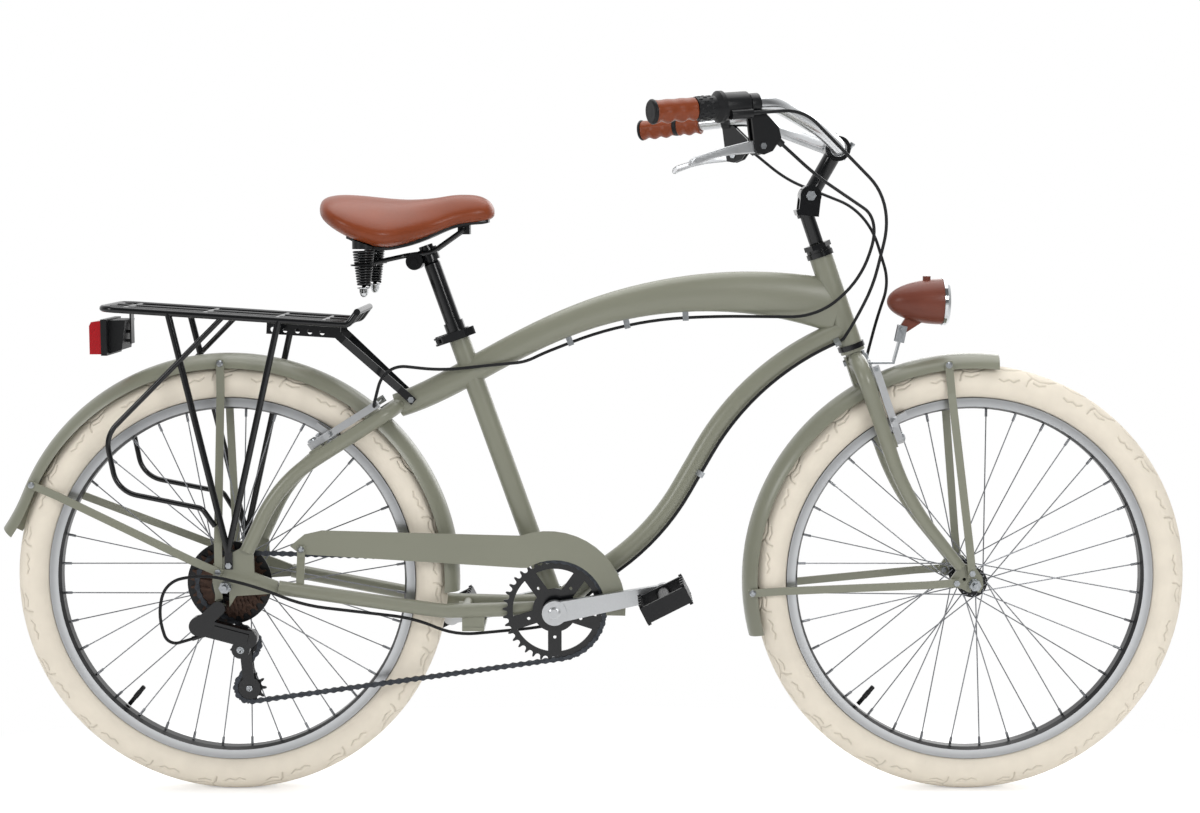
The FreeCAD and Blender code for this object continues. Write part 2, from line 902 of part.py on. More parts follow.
def rim(name, place, valve_angle):
    """Double-walled rim with bead seats, brake tracks and a valve hole."""
    outline = [(size.rim_flange_radius, size.rim_mouth_half),
               (size.rim_flange_radius, size.rim_half_width),
               (size.rim_track_radius, size.rim_half_width),
               (size.rim_inner_radius, size.rim_nose_half)]
    seat = [(size.rim_well_radius, size.rim_well_half),
            (size.rim_shelf_radius, size.rim_well_half),
            (size.rim_shelf_radius, size.rim_mouth_half)]
    chamber = [(size.rim_well_radius - size.rim_wall, size.rim_half_width - size.rim_wall * 1.5),
               (size.rim_track_radius + size.rim_wall * 0.3,
                size.rim_half_width - size.rim_wall * 1.5),
               (size.rim_inner_radius + size.rim_wall, size.rim_nose_half - size.rim_wall * 0.4)]
    loop = both_halves(seat) + mirrored(outline)
    body = turned(name + "Ring", loop, place, mirrored(chamber))
    hole = drum(name + "ValveHole", size.valve_radius + size.running_gap, size.valve_length,
                spoke_frame(place, valve_angle, size.rim_flange_radius - size.valve_length))
    return node(name, cut(name, body, hole))


def mirrored(points):
    """The points followed by their mirror images, back in the other order."""
    return points + [(radius, -along) for radius, along in reversed(points)]


def both_halves(points):
    """The mirror images in reverse order, followed by the points."""
    return [(radius, -along) for radius, along in reversed(points)] + points


SPOKE_COUNT = 36
SPOKE_CROSSES = 3


def spokes(name, place, flanges):
    """Tangent lacing: each flange has inbound and outbound spokes from alternate holes."""
    per_flange = SPOKE_COUNT // 2
    step = 2 * math.pi / per_flange
    pieces = []
    for flange_index, reach in enumerate(flanges):
        for outbound in (0, 1):
            hole = step * (outbound + 0.5 * flange_index)
            lead = (1 if outbound else -1) * step * SPOKE_CROSSES
            target = hole + lead + step / 4
            pattern = one_spoke(reach, hole, target, outbound)
            for turn in range(per_flange // 2):
                copy = pattern.copy()
                copy.rotate(Vector(), UP, math.degrees(2 * step * turn))
                pieces.append(copy)
    return node(name, shaped(name, Part.makeCompound(pieces), place))


def one_spoke(reach, hole_angle, rim_angle, outbound):
    """Spoke with its bent head through the flange and its nipple against the rim."""
    out = math.copysign(1, reach)
    face = size.flange_half.value + size.spoke_radius.value + size.running_gap.value
    leave = reach + out * (face if outbound else -face)
    head = reach - out * (face if outbound else -face)
    circle = size.spoke_circle.value
    hole = Vector(circle * math.cos(hole_angle), circle * math.sin(hole_angle), 0)
    seat = size.rim_inner_radius.value - size.nipple_gap.value
    end = Vector(seat * math.cos(rim_angle), seat * math.sin(rim_angle), 0)
    bend = Vector(hole.x, hole.y, leave)
    along = (end - bend).normalize()
    root = end - along * size.nipple_length.value
    path = bent_path([Vector(hole.x, hole.y, head), bend, root], size.spoke_bend.value * 0.4)
    first = path.Edges[0]
    section = Part.Wire([Part.makeCircle(size.spoke_radius.value, first.valueAt(first.FirstParameter),
                                         first.tangentAt(first.FirstParameter))])
    wire = path.makePipeShell([section], True, False)
    nipple = Part.makeCylinder(size.nipple_radius.value, size.nipple_length.value, root, along)
    return wire.fuse(nipple).removeSplitter()


def hub(name, outline, flanges, place):
    """Turned hub shell with a ring of spoke holes in each flange."""
    shell = turned(name + "Shell", outline, place)
    holes = []
    per_flange = SPOKE_COUNT // 2
    for flange_index, reach in enumerate(flanges):
        for index in range(per_flange):
            angle = 2 * math.pi * (index + 0.5 * flange_index) / per_flange
            centre = Vector(size.spoke_circle.value * math.cos(angle),
                            size.spoke_circle.value * math.sin(angle),
                            reach - 2 * size.flange_half.value)
            holes.append(Part.makeCylinder(size.spoke_hole.value, 4 * size.flange_half.value, centre))
    return node(name, cut(name, shell, shaped(name + "Holes", Part.makeCompound(holes), place)))


def flange(reach, side):
    """Outline steps over one flange, from its inner to its outer face."""
    near = (reach - size.flange_half) * side
    far = (reach + size.flange_half) * side
    return near, far


FRONT_WHEEL = wheel_frame(FRONT_AXLE)
REAR_WHEEL = wheel_frame(REAR_AXLE)
VALVE_ANGLE = math.radians(130)

for prefix, placing in (("front", FRONT_WHEEL), ("rear", REAR_WHEEL)):
    tyre(prefix + "_tyre", placing, VALVE_ANGLE)
    rim(prefix + "_rim", placing, VALVE_ANGLE)

near, far = flange(size.front_flange_reach, 1)
cup_floor = size.front_cup_reach - size.cup_depth
front_half = [(size.hub_barrel, near), (size.flange_radius, near), (size.flange_radius, far),
              (size.cup_radius, far), (size.cup_radius, size.front_cup_reach),
              (size.cup_bore, size.front_cup_reach), (size.cup_bore, cup_floor),
              (size.hub_bore, cup_floor)]
front_outline = both_halves(front_half)
front_flanges = (size.front_flange_reach.value, -size.front_flange_reach.value)
hub("front_hub", front_outline, front_flanges, FRONT_WHEEL)
spokes("front_spokes", FRONT_WHEEL, front_flanges)

left_near, left_far = flange(size.rear_left_flange, 1)
right_near, right_far = flange(size.rear_right_flange, -1)
left_floor = size.rear_left_cup - size.cup_depth
right_floor = -(size.rear_boss_reach - size.cup_depth)
rear_outline = [(size.hub_bore, right_floor), (size.cup_bore, right_floor),
                (size.cup_bore, -size.rear_boss_reach), (size.rear_boss_radius, -size.rear_boss_reach),
                (size.rear_boss_radius, right_far), (size.flange_radius, right_far),
                (size.flange_radius, right_near), (size.hub_barrel, right_near),
                (size.hub_barrel, left_near), (size.flange_radius, left_near),
                (size.flange_radius, left_far), (size.cup_radius, left_far),
                (size.cup_radius, size.rear_left_cup), (size.cup_bore, size.rear_left_cup),
                (size.cup_bore, left_floor), (size.hub_bore, left_floor)]
rear_flanges = (size.rear_left_flange.value, -size.rear_right_flange.value)
hub("rear_hub", rear_outline, rear_flanges, REAR_WHEEL)
spokes("rear_spokes", REAR_WHEEL, rear_flanges)


def axle(name, radius, locknut_reach, end_thick, ball_spots, place):
    """Solid axle with cones, locknuts, end nuts and the bearing balls that run on the cones."""
    nut_base = locknut_reach + end_thick + size.washer_thick
    tip = nut_base + size.axle_nut_height + size.axle_stub
    cone_start = locknut_reach - size.locknut_height - size.cone_length
    cone_end = locknut_reach - size.locknut_height
    half = [(radius, cone_start), (size.cone_radius, cone_start), (size.cone_radius, cone_end),
            (size.locknut_radius, cone_end), (size.locknut_radius, locknut_reach),
            (radius, locknut_reach), (radius, tip), (0, tip)]
    shaft = turned(name + "Shaft", both_halves(half), place)
    pieces = [shaft]
    for side in (1, -1):
        outward = facing_out(place, side)
        washer = drum(f"{name}Washer{side + 1}", size.axle_nut_radius, size.washer_thick,
                      shifted(outward, locknut_reach + end_thick), radius + size.fit_gap)
        nut = hexagon(f"{name}Nut{side + 1}", size.axle_nut_radius, size.axle_nut_height,
                      shifted(outward, nut_base), radius + size.fit_gap)
        pieces += [washer, nut]
    for index, spot in enumerate(ball_spots):
        pieces.append(ball_ring(f"{name}Balls{index}", size.ball_circle, size.ball_radius,
                                BALLS_PER_RING, shifted(place, spot)))
    return node(name, group(name, *pieces))


BALLS_PER_RING = 10
ball_inset = size.cup_depth * 0.45
axle("front_axle", size.front_axle_radius, size.front_locknut_reach, size.fork_end_thick,
     (size.front_cup_reach - ball_inset, -(size.front_cup_reach - ball_inset)), FRONT_WHEEL)
axle("rear_axle", size.rear_axle_radius, size.rear_locknut_reach, size.dropout_thick,
     (size.rear_left_cup - ball_inset, -(size.rear_boss_reach - ball_inset)), REAR_WHEEL)


# Drive train: sprockets, chainring, cranks, pedals, chain and derailleur, on one chain line

RING_TEETH = 38
CHAIN_COG_TEETH = 24
SPROCKET_TEETH = (28, 24, 20, 18, 16, 14)
PULLEY_TEETH = int(size.pulley_teeth.value)


def pitch_radius(teeth):
    """Radius on which each tooth takes one chain pitch of arc."""
    return size.chain_pitch.value * teeth / (2 * math.pi)


def flat(x, z):
    """Point of the chain's plane, kept as (x from the rear axle, height)."""
    return Vector(num(x), num(z), 0)


def chain_wheels(cage_angle):
    """(centre, pitch radius, turning sense) of each wheel in the order the chain meets them."""
    guide = flat(size.guide_x, size.guide_z)
    arm = Vector(math.cos(cage_angle), math.sin(cage_angle), 0) * size.pulley_distance.value
    pulley = pitch_radius(PULLEY_TEETH)
    return [(flat(size.crank_x, size.crank_z), pitch_radius(RING_TEETH), 1),
            (guide + arm, pulley, 1),
            (guide, pulley, -1),
            (flat(0, size.tyre_radius), pitch_radius(CHAIN_COG_TEETH), 1)]


def run_heading(wheel, following):
    """Heading and length of the straight chain run from one wheel to the next."""
    gap = following[0] - wheel[0]
    lean = following[2] * following[1] - wheel[2] * wheel[1]
    length = math.sqrt(gap.Length ** 2 - lean ** 2)
    return math.atan2(gap.y, gap.x) + math.atan2(lean, length), length


def chain_legs(cage_angle):
    """The chain's path as legs: wheel, arriving heading, turn on the wheel, run after it."""
    wheels = chain_wheels(cage_angle)
    runs = [run_heading(wheel, wheels[(index + 1) % len(wheels)])
            for index, wheel in enumerate(wheels)]
    legs = []
    for index, wheel in enumerate(wheels):
        arriving = runs[index - 1][0]
        leaving, straight = runs[index]
        turn = (wheel[2] * (arriving - leaving)) % (2 * math.pi)
        legs.append((wheel, arriving, turn, straight))
    return legs


def chain_length(cage_angle):
    """Length of the whole chain path."""
    return sum(wheel[1] * turn + straight for wheel, _, turn, straight in chain_legs(cage_angle))


CAGE_SWING = (math.radians(-110), math.radians(-70))
LINK_COUNT = 2 * round(chain_length(sum(CAGE_SWING) / 2) / size.chain_pitch.value / 2)


def cage_rest_angle():
    """Cage angle at which the chain holds a whole, even number of links."""
    wanted = LINK_COUNT * size.chain_pitch.value
    low, high = CAGE_SWING
    rising = chain_length(high) > chain_length(low)
    for _ in range(60):
        middle = (low + high) / 2
        if (chain_length(middle) < wanted) == rising:
            low = middle
        else:
            high = middle
    return (low + high) / 2


CAGE_ANGLE = cage_rest_angle()
LEGS = chain_legs(CAGE_ANGLE)


def wheel_spot(wheel, heading):
    """Point where the chain lies on a wheel while it travels along the heading."""
    outward = Vector(math.sin(heading), -math.cos(heading), 0)
    return wheel[0] - outward * (wheel[2] * wheel[1])


def chain_spots():
    """Roller centres one pitch apart, and for each wheel the first roller that lies on it."""
    spots = []
    first_on_wheel = []
    travelled = 0.0
    pitch = size.chain_pitch.value
    for wheel, arriving, turn, straight in LEGS:
        arc = wheel[1] * turn
        first = None
        while len(spots) * pitch < travelled + arc - 1e-6:
            along = (len(spots) * pitch - travelled) / wheel[1]
            spots.append(wheel_spot(wheel, arriving - wheel[2] * along))
            first = first or spots[-1]
        first_on_wheel.append(first)
        leaving = arriving - wheel[2] * turn
        start = wheel_spot(wheel, leaving)
        ahead = Vector(math.cos(leaving), math.sin(leaving), 0)
        while len(spots) * pitch < travelled + arc + straight - 1e-6:
            spots.append(start + ahead * (len(spots) * pitch - travelled - arc))
        travelled += arc + straight
    return spots[:LINK_COUNT], first_on_wheel


ROLLERS, FIRST_ROLLERS = chain_spots()


def chain_plane(spot, across):
    """World point of a chain-plane point, across millimetres to the left of the middle plane."""
    return at(spot.x, across, spot.y)


def toothed(name, teeth, thick, across, centre, first_roller=None):
    """Toothed disc about +Y whose roller seats meet the chain."""
    radius = pitch_radius(teeth)
    phase = 0.0
    if first_roller is not None:
        arm = first_roller - centre
        phase = math.atan2(arm.y, arm.x)
    edges = []
    step = 2 * math.pi / teeth
    seat = size.roller_seat.value
    tip = radius + size.tooth_height.value
    lean = size.tooth_tip.value / 2 / tip

    def polar(angle, reach):
        return centre + Vector(math.cos(angle), math.sin(angle), 0) * reach

    for index in range(teeth):
        angle = phase + index * step
        tangent = Vector(-math.sin(angle), math.cos(angle), 0) * seat
        middle = polar(angle, radius)
        following = polar(angle + step, radius)
        next_tangent = Vector(-math.sin(angle + step), math.cos(angle + step), 0) * seat
        rise = polar(angle + step / 2 - lean, tip)
        fall = polar(angle + step / 2 + lean, tip)
        edges.append(Part.Arc(middle - tangent, polar(angle, radius - seat), middle + tangent).toShape())
        edges.append(Part.LineSegment(middle + tangent, rise).toShape())
        edges.append(Part.LineSegment(rise, fall).toShape())
        edges.append(Part.LineSegment(fall, following - next_tangent).toShape())
    disc = Part.Face(Part.Wire(edges)).extrude(UP * num(thick))
    place = stand(at(0, num(across) + num(thick) / 2, 0), -LEFT, X_AXIS)
    return shaped(name, disc, place)


REAR_CENTRE = flat(0, size.tyre_radius)
CRANK_CENTRE = flat(size.crank_x, size.crank_z)
chain_y = -size.chain_line.value


def freewheel():
    """Sprockets on their carrier, with the spoke guard behind the largest."""
    pieces = []
    chain_index = SPROCKET_TEETH.index(CHAIN_COG_TEETH)
    for index, teeth in enumerate(SPROCKET_TEETH):
        across = chain_y - size.sprocket_spacing.value * (index - chain_index)
        first = FIRST_ROLLERS[3] if teeth == CHAIN_COG_TEETH else None
        disc = toothed(f"Sprocket{teeth}", teeth, size.sprocket_thick, across, REAR_CENTRE, first)
        hole = drum(f"Sprocket{teeth}Hole", size.carrier_radius + size.fit_gap, size.sprocket_thick * 3,
                    wheel_frame(REAR_AXLE + LEFT * (across - size.sprocket_thick.value * 1.5)))
        pieces.append(cut(f"Sprocket{teeth}Bored", disc, hole))
    inner_face = size.chain_line - size.sprocket_spacing * chain_index - size.sprocket_thick / 2
    guard_face = inner_face - size.guard_disc_gap
    outer_face = (size.chain_line + size.sprocket_spacing * (len(SPROCKET_TEETH) - 1 - chain_index)
                  + size.sprocket_thick / 2)
    bore = size.rear_boss_radius + size.carrier_gap
    guard_back = guard_face - size.guard_disc_thick
    outline = [(bore, -outer_face), (size.carrier_radius, -outer_face),
               (size.carrier_radius, -guard_face), (size.guard_disc_radius, -guard_face),
               (size.guard_disc_radius, -guard_back), (bore, -guard_back)]
    pieces.append(turned("FreewheelCarrier", outline, REAR_WHEEL))
    return node("sprockets", group("sprockets", *pieces))


def chainring():
    """Toothed ring with five spokes, each with a hole."""
    ring = toothed("RingTeeth", RING_TEETH, size.ring_thick, chain_y, CRANK_CENTRE, FIRST_ROLLERS[0])
    base = wheel_frame(CRANK_AXLE + LEFT * (chain_y - size.ring_thick.value))
    depth = size.ring_thick * 2
    windows = drum("RingWindows", size.ring_window_outer, depth, base, size.ring_window_inner)
    tools = []
    for index in range(RING_SPOKES):
        turn = FreeCAD.Placement(Vector(), FreeCAD.Rotation(UP, 360 / RING_SPOKES * index + RING_TURN))
        spoke = make("Part::Box", f"RingSpoke{index}", None, Length=size.ring_window_outer * 1.1,
                     Width=size.ring_spoke_half * 2, Height=depth)
        spoke.Placement = base * turn * FreeCAD.Placement(
            Vector(0, -size.ring_spoke_half.value, 0), FreeCAD.Rotation())
        windows = cut(f"RingWindowLess{index}", windows, spoke)
        tools.append(drum(f"RingHole{index}", size.ring_hole_radius, depth,
                          base * turn * FreeCAD.Placement(Vector(size.ring_hole_circle.value, 0, 0),
                                                          FreeCAD.Rotation())))
    bore = drum("RingBore", size.spindle_radius + size.fit_gap, depth, base)
    return node("chainring", cut("chainring", ring, windows, bore, *tools))


RING_SPOKES = 5
RING_TURN = 18


def crank_heading(side):
    """Direction of the crank arm on one side: the right one points forward and a little up."""
    tilt = math.radians(size.crank_tilt.value)
    return Vector(math.cos(tilt), 0, math.sin(tilt)) * -side


def crank_place(side):
    """Arm frame: X along the arm, Z outward."""
    return stand(CRANK_AXLE, LEFT * side, crank_heading(side))


def crank_arm(name, side):
    """Tapered arm with its boss, its pedal eye and the socket for the spindle."""
    place = shifted(crank_place(side), size.crank_inner)
    eye = place * FreeCAD.Placement(Vector(size.crank_length.value, 0, 0), FreeCAD.Rotation())
    web = plate(name + "Web", [(0, -size.crank_root_half), (size.crank_length, -size.crank_tip_half),
                               (size.crank_length, size.crank_tip_half), (0, size.crank_root_half)],
                size.crank_thick * 0.85, place)
    whole = fuse(name + "Whole", drum(name + "Boss", size.crank_boss_radius, size.crank_thick, place),
                 drum(name + "Eye", size.crank_eye_radius, size.crank_thick, eye), web)
    socket = drum(name + "Socket", size.spindle_radius + size.fit_gap, size.crank_thick, place)
    return cut(name, whole, socket)


def crank_arms():
    """Both arms with the bottom bracket spindle, pedal spindles and dust caps."""
    outer = size.crank_inner + size.crank_thick
    pieces = [drum("BracketSpindle", size.spindle_radius, outer * 2,
                   wheel_frame(CRANK_AXLE - LEFT * outer.value))]
    for name, side in SIDES.items():
        pieces.append(crank_arm(name + "Arm", side))
        place = shifted(crank_place(side), outer)
        eye = place * FreeCAD.Placement(Vector(size.crank_length.value, 0, 0), FreeCAD.Rotation())
        pieces.append(drum(name + "PedalSpindle", size.pedal_spindle,
                           size.pedal_gap + size.pedal_width - size.pedal_wall * 0.5, eye))
        cap = size.dust_cap_radius
        pieces.append(turned(name + "DustCap", [(0, 0), (cap, 0), (cap, size.dust_cap_height * 0.5),
                                                (cap * 0.7, size.dust_cap_height),
                                                (0, size.dust_cap_height)], place))
    return node("crank_arms", group("crank_arms", *pieces))


PEDAL_TEETH = 5


def pedal(label, side):
    """Cage pedal: barrel, two end walls and two toothed treads, bored for the spindle."""
    tilt = math.radians(size.pedal_tilt.value)
    flat_heading = Vector(math.cos(tilt), 0, math.sin(tilt))
    inner = size.crank_inner + size.crank_thick + size.pedal_gap
    spot = CRANK_AXLE + crank_heading(side) * size.crank_length.value + LEFT * (side * inner.value)
    place = stand(spot, LEFT * side, flat_heading)
    far_wall = shifted(place, size.pedal_width - size.pedal_wall)
    pieces = [drum(label + "Barrel", size.pedal_barrel, size.pedal_width, place),
              block(label + "NearWall", size.pedal_length, size.pedal_height, size.pedal_wall, place),
              block(label + "FarWall", size.pedal_length, size.pedal_height, size.pedal_wall, far_wall)]
    reach = (size.pedal_length - size.pedal_wall) / 2
    for end in (1, -1):
        edge = place * FreeCAD.Placement(Vector(end * reach.value, 0, 0), FreeCAD.Rotation())
        pieces.append(block(f"{label}Tread{end + 1}", size.pedal_wall, size.pedal_height,
                            size.pedal_width, edge))
        for index in range(PEDAL_TEETH):
            along = size.pedal_width.value * (index + 0.5) / PEDAL_TEETH
            pieces.append(block(f"{label}Tooth{end + 1}{index}", size.pedal_wall,
                                size.pedal_height + size.pedal_tooth * 2, size.pedal_tooth * 1.5,
                                shifted(edge, along - size.pedal_tooth.value * 0.75)))
    whole = fuse(label + "Whole", *pieces)
    bore = drum(label + "Bore", size.pedal_spindle + size.running_gap,
                size.pedal_width - size.pedal_wall * 0.5 + size.running_gap, place)
    return node(label, cut(label, whole, bore))


def link_plate(start, reach, half, thick):
    """Rounded plate round two pin centres."""
    ends = [Vector(start.x, start.y - half, start.z), Vector(start.x - half, start.y, start.z),
            Vector(start.x, start.y + half, start.z), Vector(start.x + reach, start.y + half, start.z),
            Vector(start.x + reach + half, start.y, start.z),
            Vector(start.x + reach, start.y - half, start.z)]
    outline = Part.Wire([Part.Arc(ends[0], ends[1], ends[2]).toShape(),
                         Part.LineSegment(ends[2], ends[3]).toShape(),
                         Part.Arc(ends[3], ends[4], ends[5]).toShape(),
                         Part.LineSegment(ends[5], ends[0]).toShape()])
    return Part.Face(outline).extrude(UP * thick)


def chain():
    """Roller chain: inner links carry the rollers, outer links the riveted plates."""
    inner = size.chain_inner_half.value
    thick = size.chain_plate_thick.value
    half = size.chain_plate_half.value
    pitch = size.chain_pitch.value
    outer = inner + thick + size.fit_gap.value
    ends = (Vector(0, 0, 0), Vector(pitch, 0, 0))
    rollers = [Part.makeCylinder(size.roller_radius.value, 2 * inner, end - UP * inner) for end in ends]
    inner_link = link_plate(Vector(0, 0, inner), pitch, half, thick).multiFuse(
        [link_plate(Vector(0, 0, -inner - thick), pitch, half, thick)] + rollers)
    outer_plates = []
    for base, rivet in ((outer, outer + thick), (-outer - thick, -outer - thick
                                                 - size.chain_rivet_height.value)):
        heads = [Part.makeCylinder(size.chain_rivet_radius.value, size.chain_rivet_height.value,
                                   end + UP * rivet) for end in ends]
        outer_plates.append(link_plate(Vector(0, 0, base), pitch, half, thick).multiFuse(heads))
    outer_link = Part.makeCompound(outer_plates)
    links = []
    for index, spot in enumerate(ROLLERS):
        ahead = ROLLERS[(index + 1) % LINK_COUNT]
        link = (inner_link if index % 2 == 0 else outer_link).copy()
        start = chain_plane(spot, chain_y)
        link.Placement = stand(start, -LEFT, chain_plane(ahead, chain_y) - start)
        links.append(link)
    return node("chain", shaped("chain", Part.makeCompound(links)))


def pulley(label, centre, first_roller):
    """Toothed jockey wheel running on its cage bolt."""
    disc = toothed(label + "Teeth", PULLEY_TEETH, size.pulley_thick, chain_y, centre, first_roller)
    hole = drum(label + "Hole", size.pulley_bolt + size.running_gap, size.pulley_thick * 3,
                wheel_frame(chain_plane(centre, chain_y - size.pulley_thick.value * 1.5)))
    return node(label, cut(label, disc, hole))


GUIDE_CENTRE = LEGS[2][0][0]
TENSION_CENTRE = LEGS[1][0][0]


def derailleur_cage():
    """Two plates joined by the bolts of the two pulleys."""
    guide = chain_plane(GUIDE_CENTRE, chain_y)
    run = chain_plane(TENSION_CENTRE, chain_y) - guide
    place = stand(guide, -LEFT, run)
    long = size.pulley_distance + size.cage_overhang * 2
    outline = [(-size.cage_overhang, -size.cage_half_width * 0.5),
               (-size.cage_overhang * 0.5, -size.cage_half_width),
               (long - size.cage_overhang * 1.5, -size.cage_half_width),
               (long - size.cage_overhang, -size.cage_half_width * 0.5),
               (long - size.cage_overhang, size.cage_half_width * 0.5),
               (long - size.cage_overhang * 1.5, size.cage_half_width),
               (-size.cage_overhang * 0.5, size.cage_half_width),
               (-size.cage_overhang, size.cage_half_width * 0.5)]
    pieces = []
    for name, base in (("Outer", size.cage_half_gap), ("Inner", -size.cage_half_gap - size.cage_thick)):
        pieces.append(plate(f"Cage{name}", outline, size.cage_thick, shifted(place, base)))
    for name, along in (("Guide", 0.0), ("Tension", size.pulley_distance.value)):
        spot = place * FreeCAD.Placement(Vector(along, 0, 0), FreeCAD.Rotation())
        pieces.append(drum(f"CageBolt{name}", size.pulley_bolt,
                           size.cage_half_gap * 2 + size.cage_thick,
                           shifted(spot, -size.cage_half_gap - size.cage_thick * 0.5)))
    pieces.append(drum("CageFoot", size.cage_foot_radius, size.cage_thick, shifted(spot, size.cage_half_gap)))
    return node("derailleur_cage", fuse("derailleur_cage", *pieces))


HANGER = at(size.hanger_x, 0, size.tyre_radius - size.hanger_drop)
SHIFT_STOP = at(-50, -85, 256)
ADJUSTER_RUN = Vector(34, 5, 10).normalize()


def web(name, place, start, end, half, thick):
    """Flat bar between two points of a local plane, padded outwards."""
    across = (end - start).normalize().cross(Vector(0, 0, 1)) * num(half)
    corners = [start + across, end + across, end - across, start - across]
    return plate(name, [(corner.x, corner.y) for corner in corners], thick, place)


def derailleur_body():
    """Knuckle on the dropout hanger, broad link body, cable adjuster and the cage's knuckle."""
    cage_face = size.chain_line + size.cage_half_gap + size.cage_thick + size.knuckle_gap
    lower = stand(chain_plane(GUIDE_CENTRE, -cage_face.value), -LEFT)
    hanger_face = size.rear_locknut_reach + size.dropout_thick
    upper = stand(HANGER - LEFT * hanger_face.value, -LEFT)
    outboard = shifted(upper, size.body_inset)
    back = Vector(size.body_back_x.value, size.body_back_z.value, 0)
    front = Vector(size.body_front_x.value, size.body_front_z.value, 0)
    cover = size.body_thick + size.body_cover
    pieces = [drum("HangerKnuckle", size.hanger_knuckle_radius, size.hanger_knuckle_length, upper),
              drum("CageKnuckle", size.knuckle_radius, size.knuckle_length, lower),
              web("BackArm", outboard, Vector(), back, size.hanger_knuckle_radius, size.body_thick),
              web("LinkBody", outboard, back, front, size.body_half_width, size.body_thick),
              web("LinkCover", outboard, back * 0.7 + front * 0.3, front, size.body_half_width * 0.6, cover),
              drum("CableAdjuster", size.adjuster_radius, size.adjuster_length,
                   stand(SHIFT_STOP + ADJUSTER_RUN * size.fit_gap.value, ADJUSTER_RUN))]
    for name, spot, radius in (("Back", back, size.body_back_radius), ("Front", front, size.body_front_radius)):
        centre = outboard * FreeCAD.Placement(spot, FreeCAD.Rotation())
        pieces.append(drum(f"{name}Knuckle", radius, size.body_thick, centre))
    return node("derailleur_body", fuse("derailleur_body", *pieces))


freewheel()
chainring()
crank_arms()
for side_name, side in SIDES.items():
    pedal(side_name + "_pedal", side)
chain()
pulley("guide_pulley", GUIDE_CENTRE, FIRST_ROLLERS[2])
pulley("tension_pulley", TENSION_CENTRE, FIRST_ROLLERS[1])
derailleur_cage()
derailleur_body()


# Frame: head tube, bowed top tube, S-bent down tube, seat tube, crank shell and rear triangle

head_lean = math.radians(size.head_angle.value)
seat_lean = math.radians(size.seat_angle.value)
STEER_DOWN = Vector(math.sin(head_lean), 0, -math.cos(head_lean))
STEER_FORWARD = Vector(math.cos(head_lean), 0, math.sin(head_lean))
HEAD_TOP = at(size.head_top_x, 0, size.head_top_z)
SEAT_UP = Vector(-math.sin(seat_lean), 0, math.cos(seat_lean))
SEAT_TOP = CRANK_AXLE + SEAT_UP * size.seat_tube_length.value


def on_steer(drop, forward=0.0, across=0.0):
    """Point given along the steering axis from the head tube's top, ahead of it and to the left."""
    return HEAD_TOP + STEER_DOWN * num(drop) + STEER_FORWARD * num(forward) + LEFT * num(across)


def ellipse_loft(name, stations, less):
    """Smooth tube through (centre, heading, half height, half width) stations."""
    sections = []
    for index, (centre, heading, half_high, half_wide) in enumerate(stations):
        section = make("Part::Ellipse", f"{name}Section{index}", None,
                       MajorRadius=half_high - less, MinorRadius=half_wide - less)
        section.Placement = stand(centre, heading, UP)
        sections.append(section)
    loft = doc.addObject("Part::Loft", name)
    loft.Sections = sections
    loft.Solid = True
    return loft


def top_tube_stations():
    """The tube starts at the stay hoop, runs straight and then bows over to the head tube."""
    rise = math.radians(size.top_tube_rise.value)
    fall = math.radians(size.top_tube_fall.value)
    start = at(size.hoop_x, 0, size.hoop_z)
    heading = Vector(math.cos(rise), 0, math.sin(rise))
    crest = start + heading * size.top_tube_straight.value
    stations = [(start, heading, size.top_tail_half, size.top_tail_side),
                (crest, heading, size.top_waist_half, size.top_waist_side)]
    for index in range(1, TOP_TUBE_STEPS + 1):
        share = index / TOP_TUBE_STEPS
        angle = rise - (rise + fall) * share
        spot = crest + Vector(math.sin(rise) - math.sin(angle), 0,
                              math.cos(angle) - math.cos(rise)) * size.top_tube_bow.value
        swell = share ** TOP_TUBE_SWELL
        stations.append((spot, Vector(math.cos(angle), 0, math.sin(angle)),
                         size.top_waist_half + (size.top_head_half - size.top_waist_half) * swell,
                         size.top_waist_side + (size.top_head_side - size.top_waist_side) * share))
    return stations


TOP_TUBE_STEPS = 5
TOP_TUBE_SWELL = 1.6
TOP_STATIONS = top_tube_stations()
DOWN_POINTS = [on_steer(size.down_drop), at(size.down_bend_x, 0, size.down_bend_z),
               at(size.down_sweep_x, 0, size.down_sweep_z), CRANK_AXLE]
DOWN_BENDS = [size.down_bend_radius.value, size.down_sweep_radius.value]

head_place = stand(HEAD_TOP, STEER_DOWN, STEER_FORWARD)
seat_place = stand(CRANK_AXLE, SEAT_UP)
shell_place = wheel_frame(CRANK_AXLE - LEFT * size.shell_half.value)
head_core = drum("HeadCore", size.head_radius, size.head_length, head_place)
seat_core = drum("SeatCore", size.seat_tube_radius, size.seat_tube_length, seat_place)
shell_core = drum("ShellCore", size.shell_radius, size.shell_half * 2, shell_place)
top_core = ellipse_loft("TopCore", TOP_STATIONS, 0)
HOOP_POINTS = [at(size.seat_stay_foot_x, -size.stay_foot_y, size.seat_stay_foot_z),
               at(size.seat_stay_bend_x, -size.seat_stay_bend_y, size.seat_stay_bend_z),
               at(size.hoop_x, -size.hoop_y, size.hoop_z), at(size.hoop_x, size.hoop_y, size.hoop_z),
               at(size.seat_stay_bend_x, size.seat_stay_bend_y, size.seat_stay_bend_z),
               at(size.seat_stay_foot_x, size.stay_foot_y, size.seat_stay_foot_z)]
HOOP_BENDS = [size.seat_stay_bend_radius.value, size.hoop_bend.value,
              size.hoop_bend.value, size.seat_stay_bend_radius.value]
hoop_path = shaped("HoopPath", bent_path(HOOP_POINTS, HOOP_BENDS))
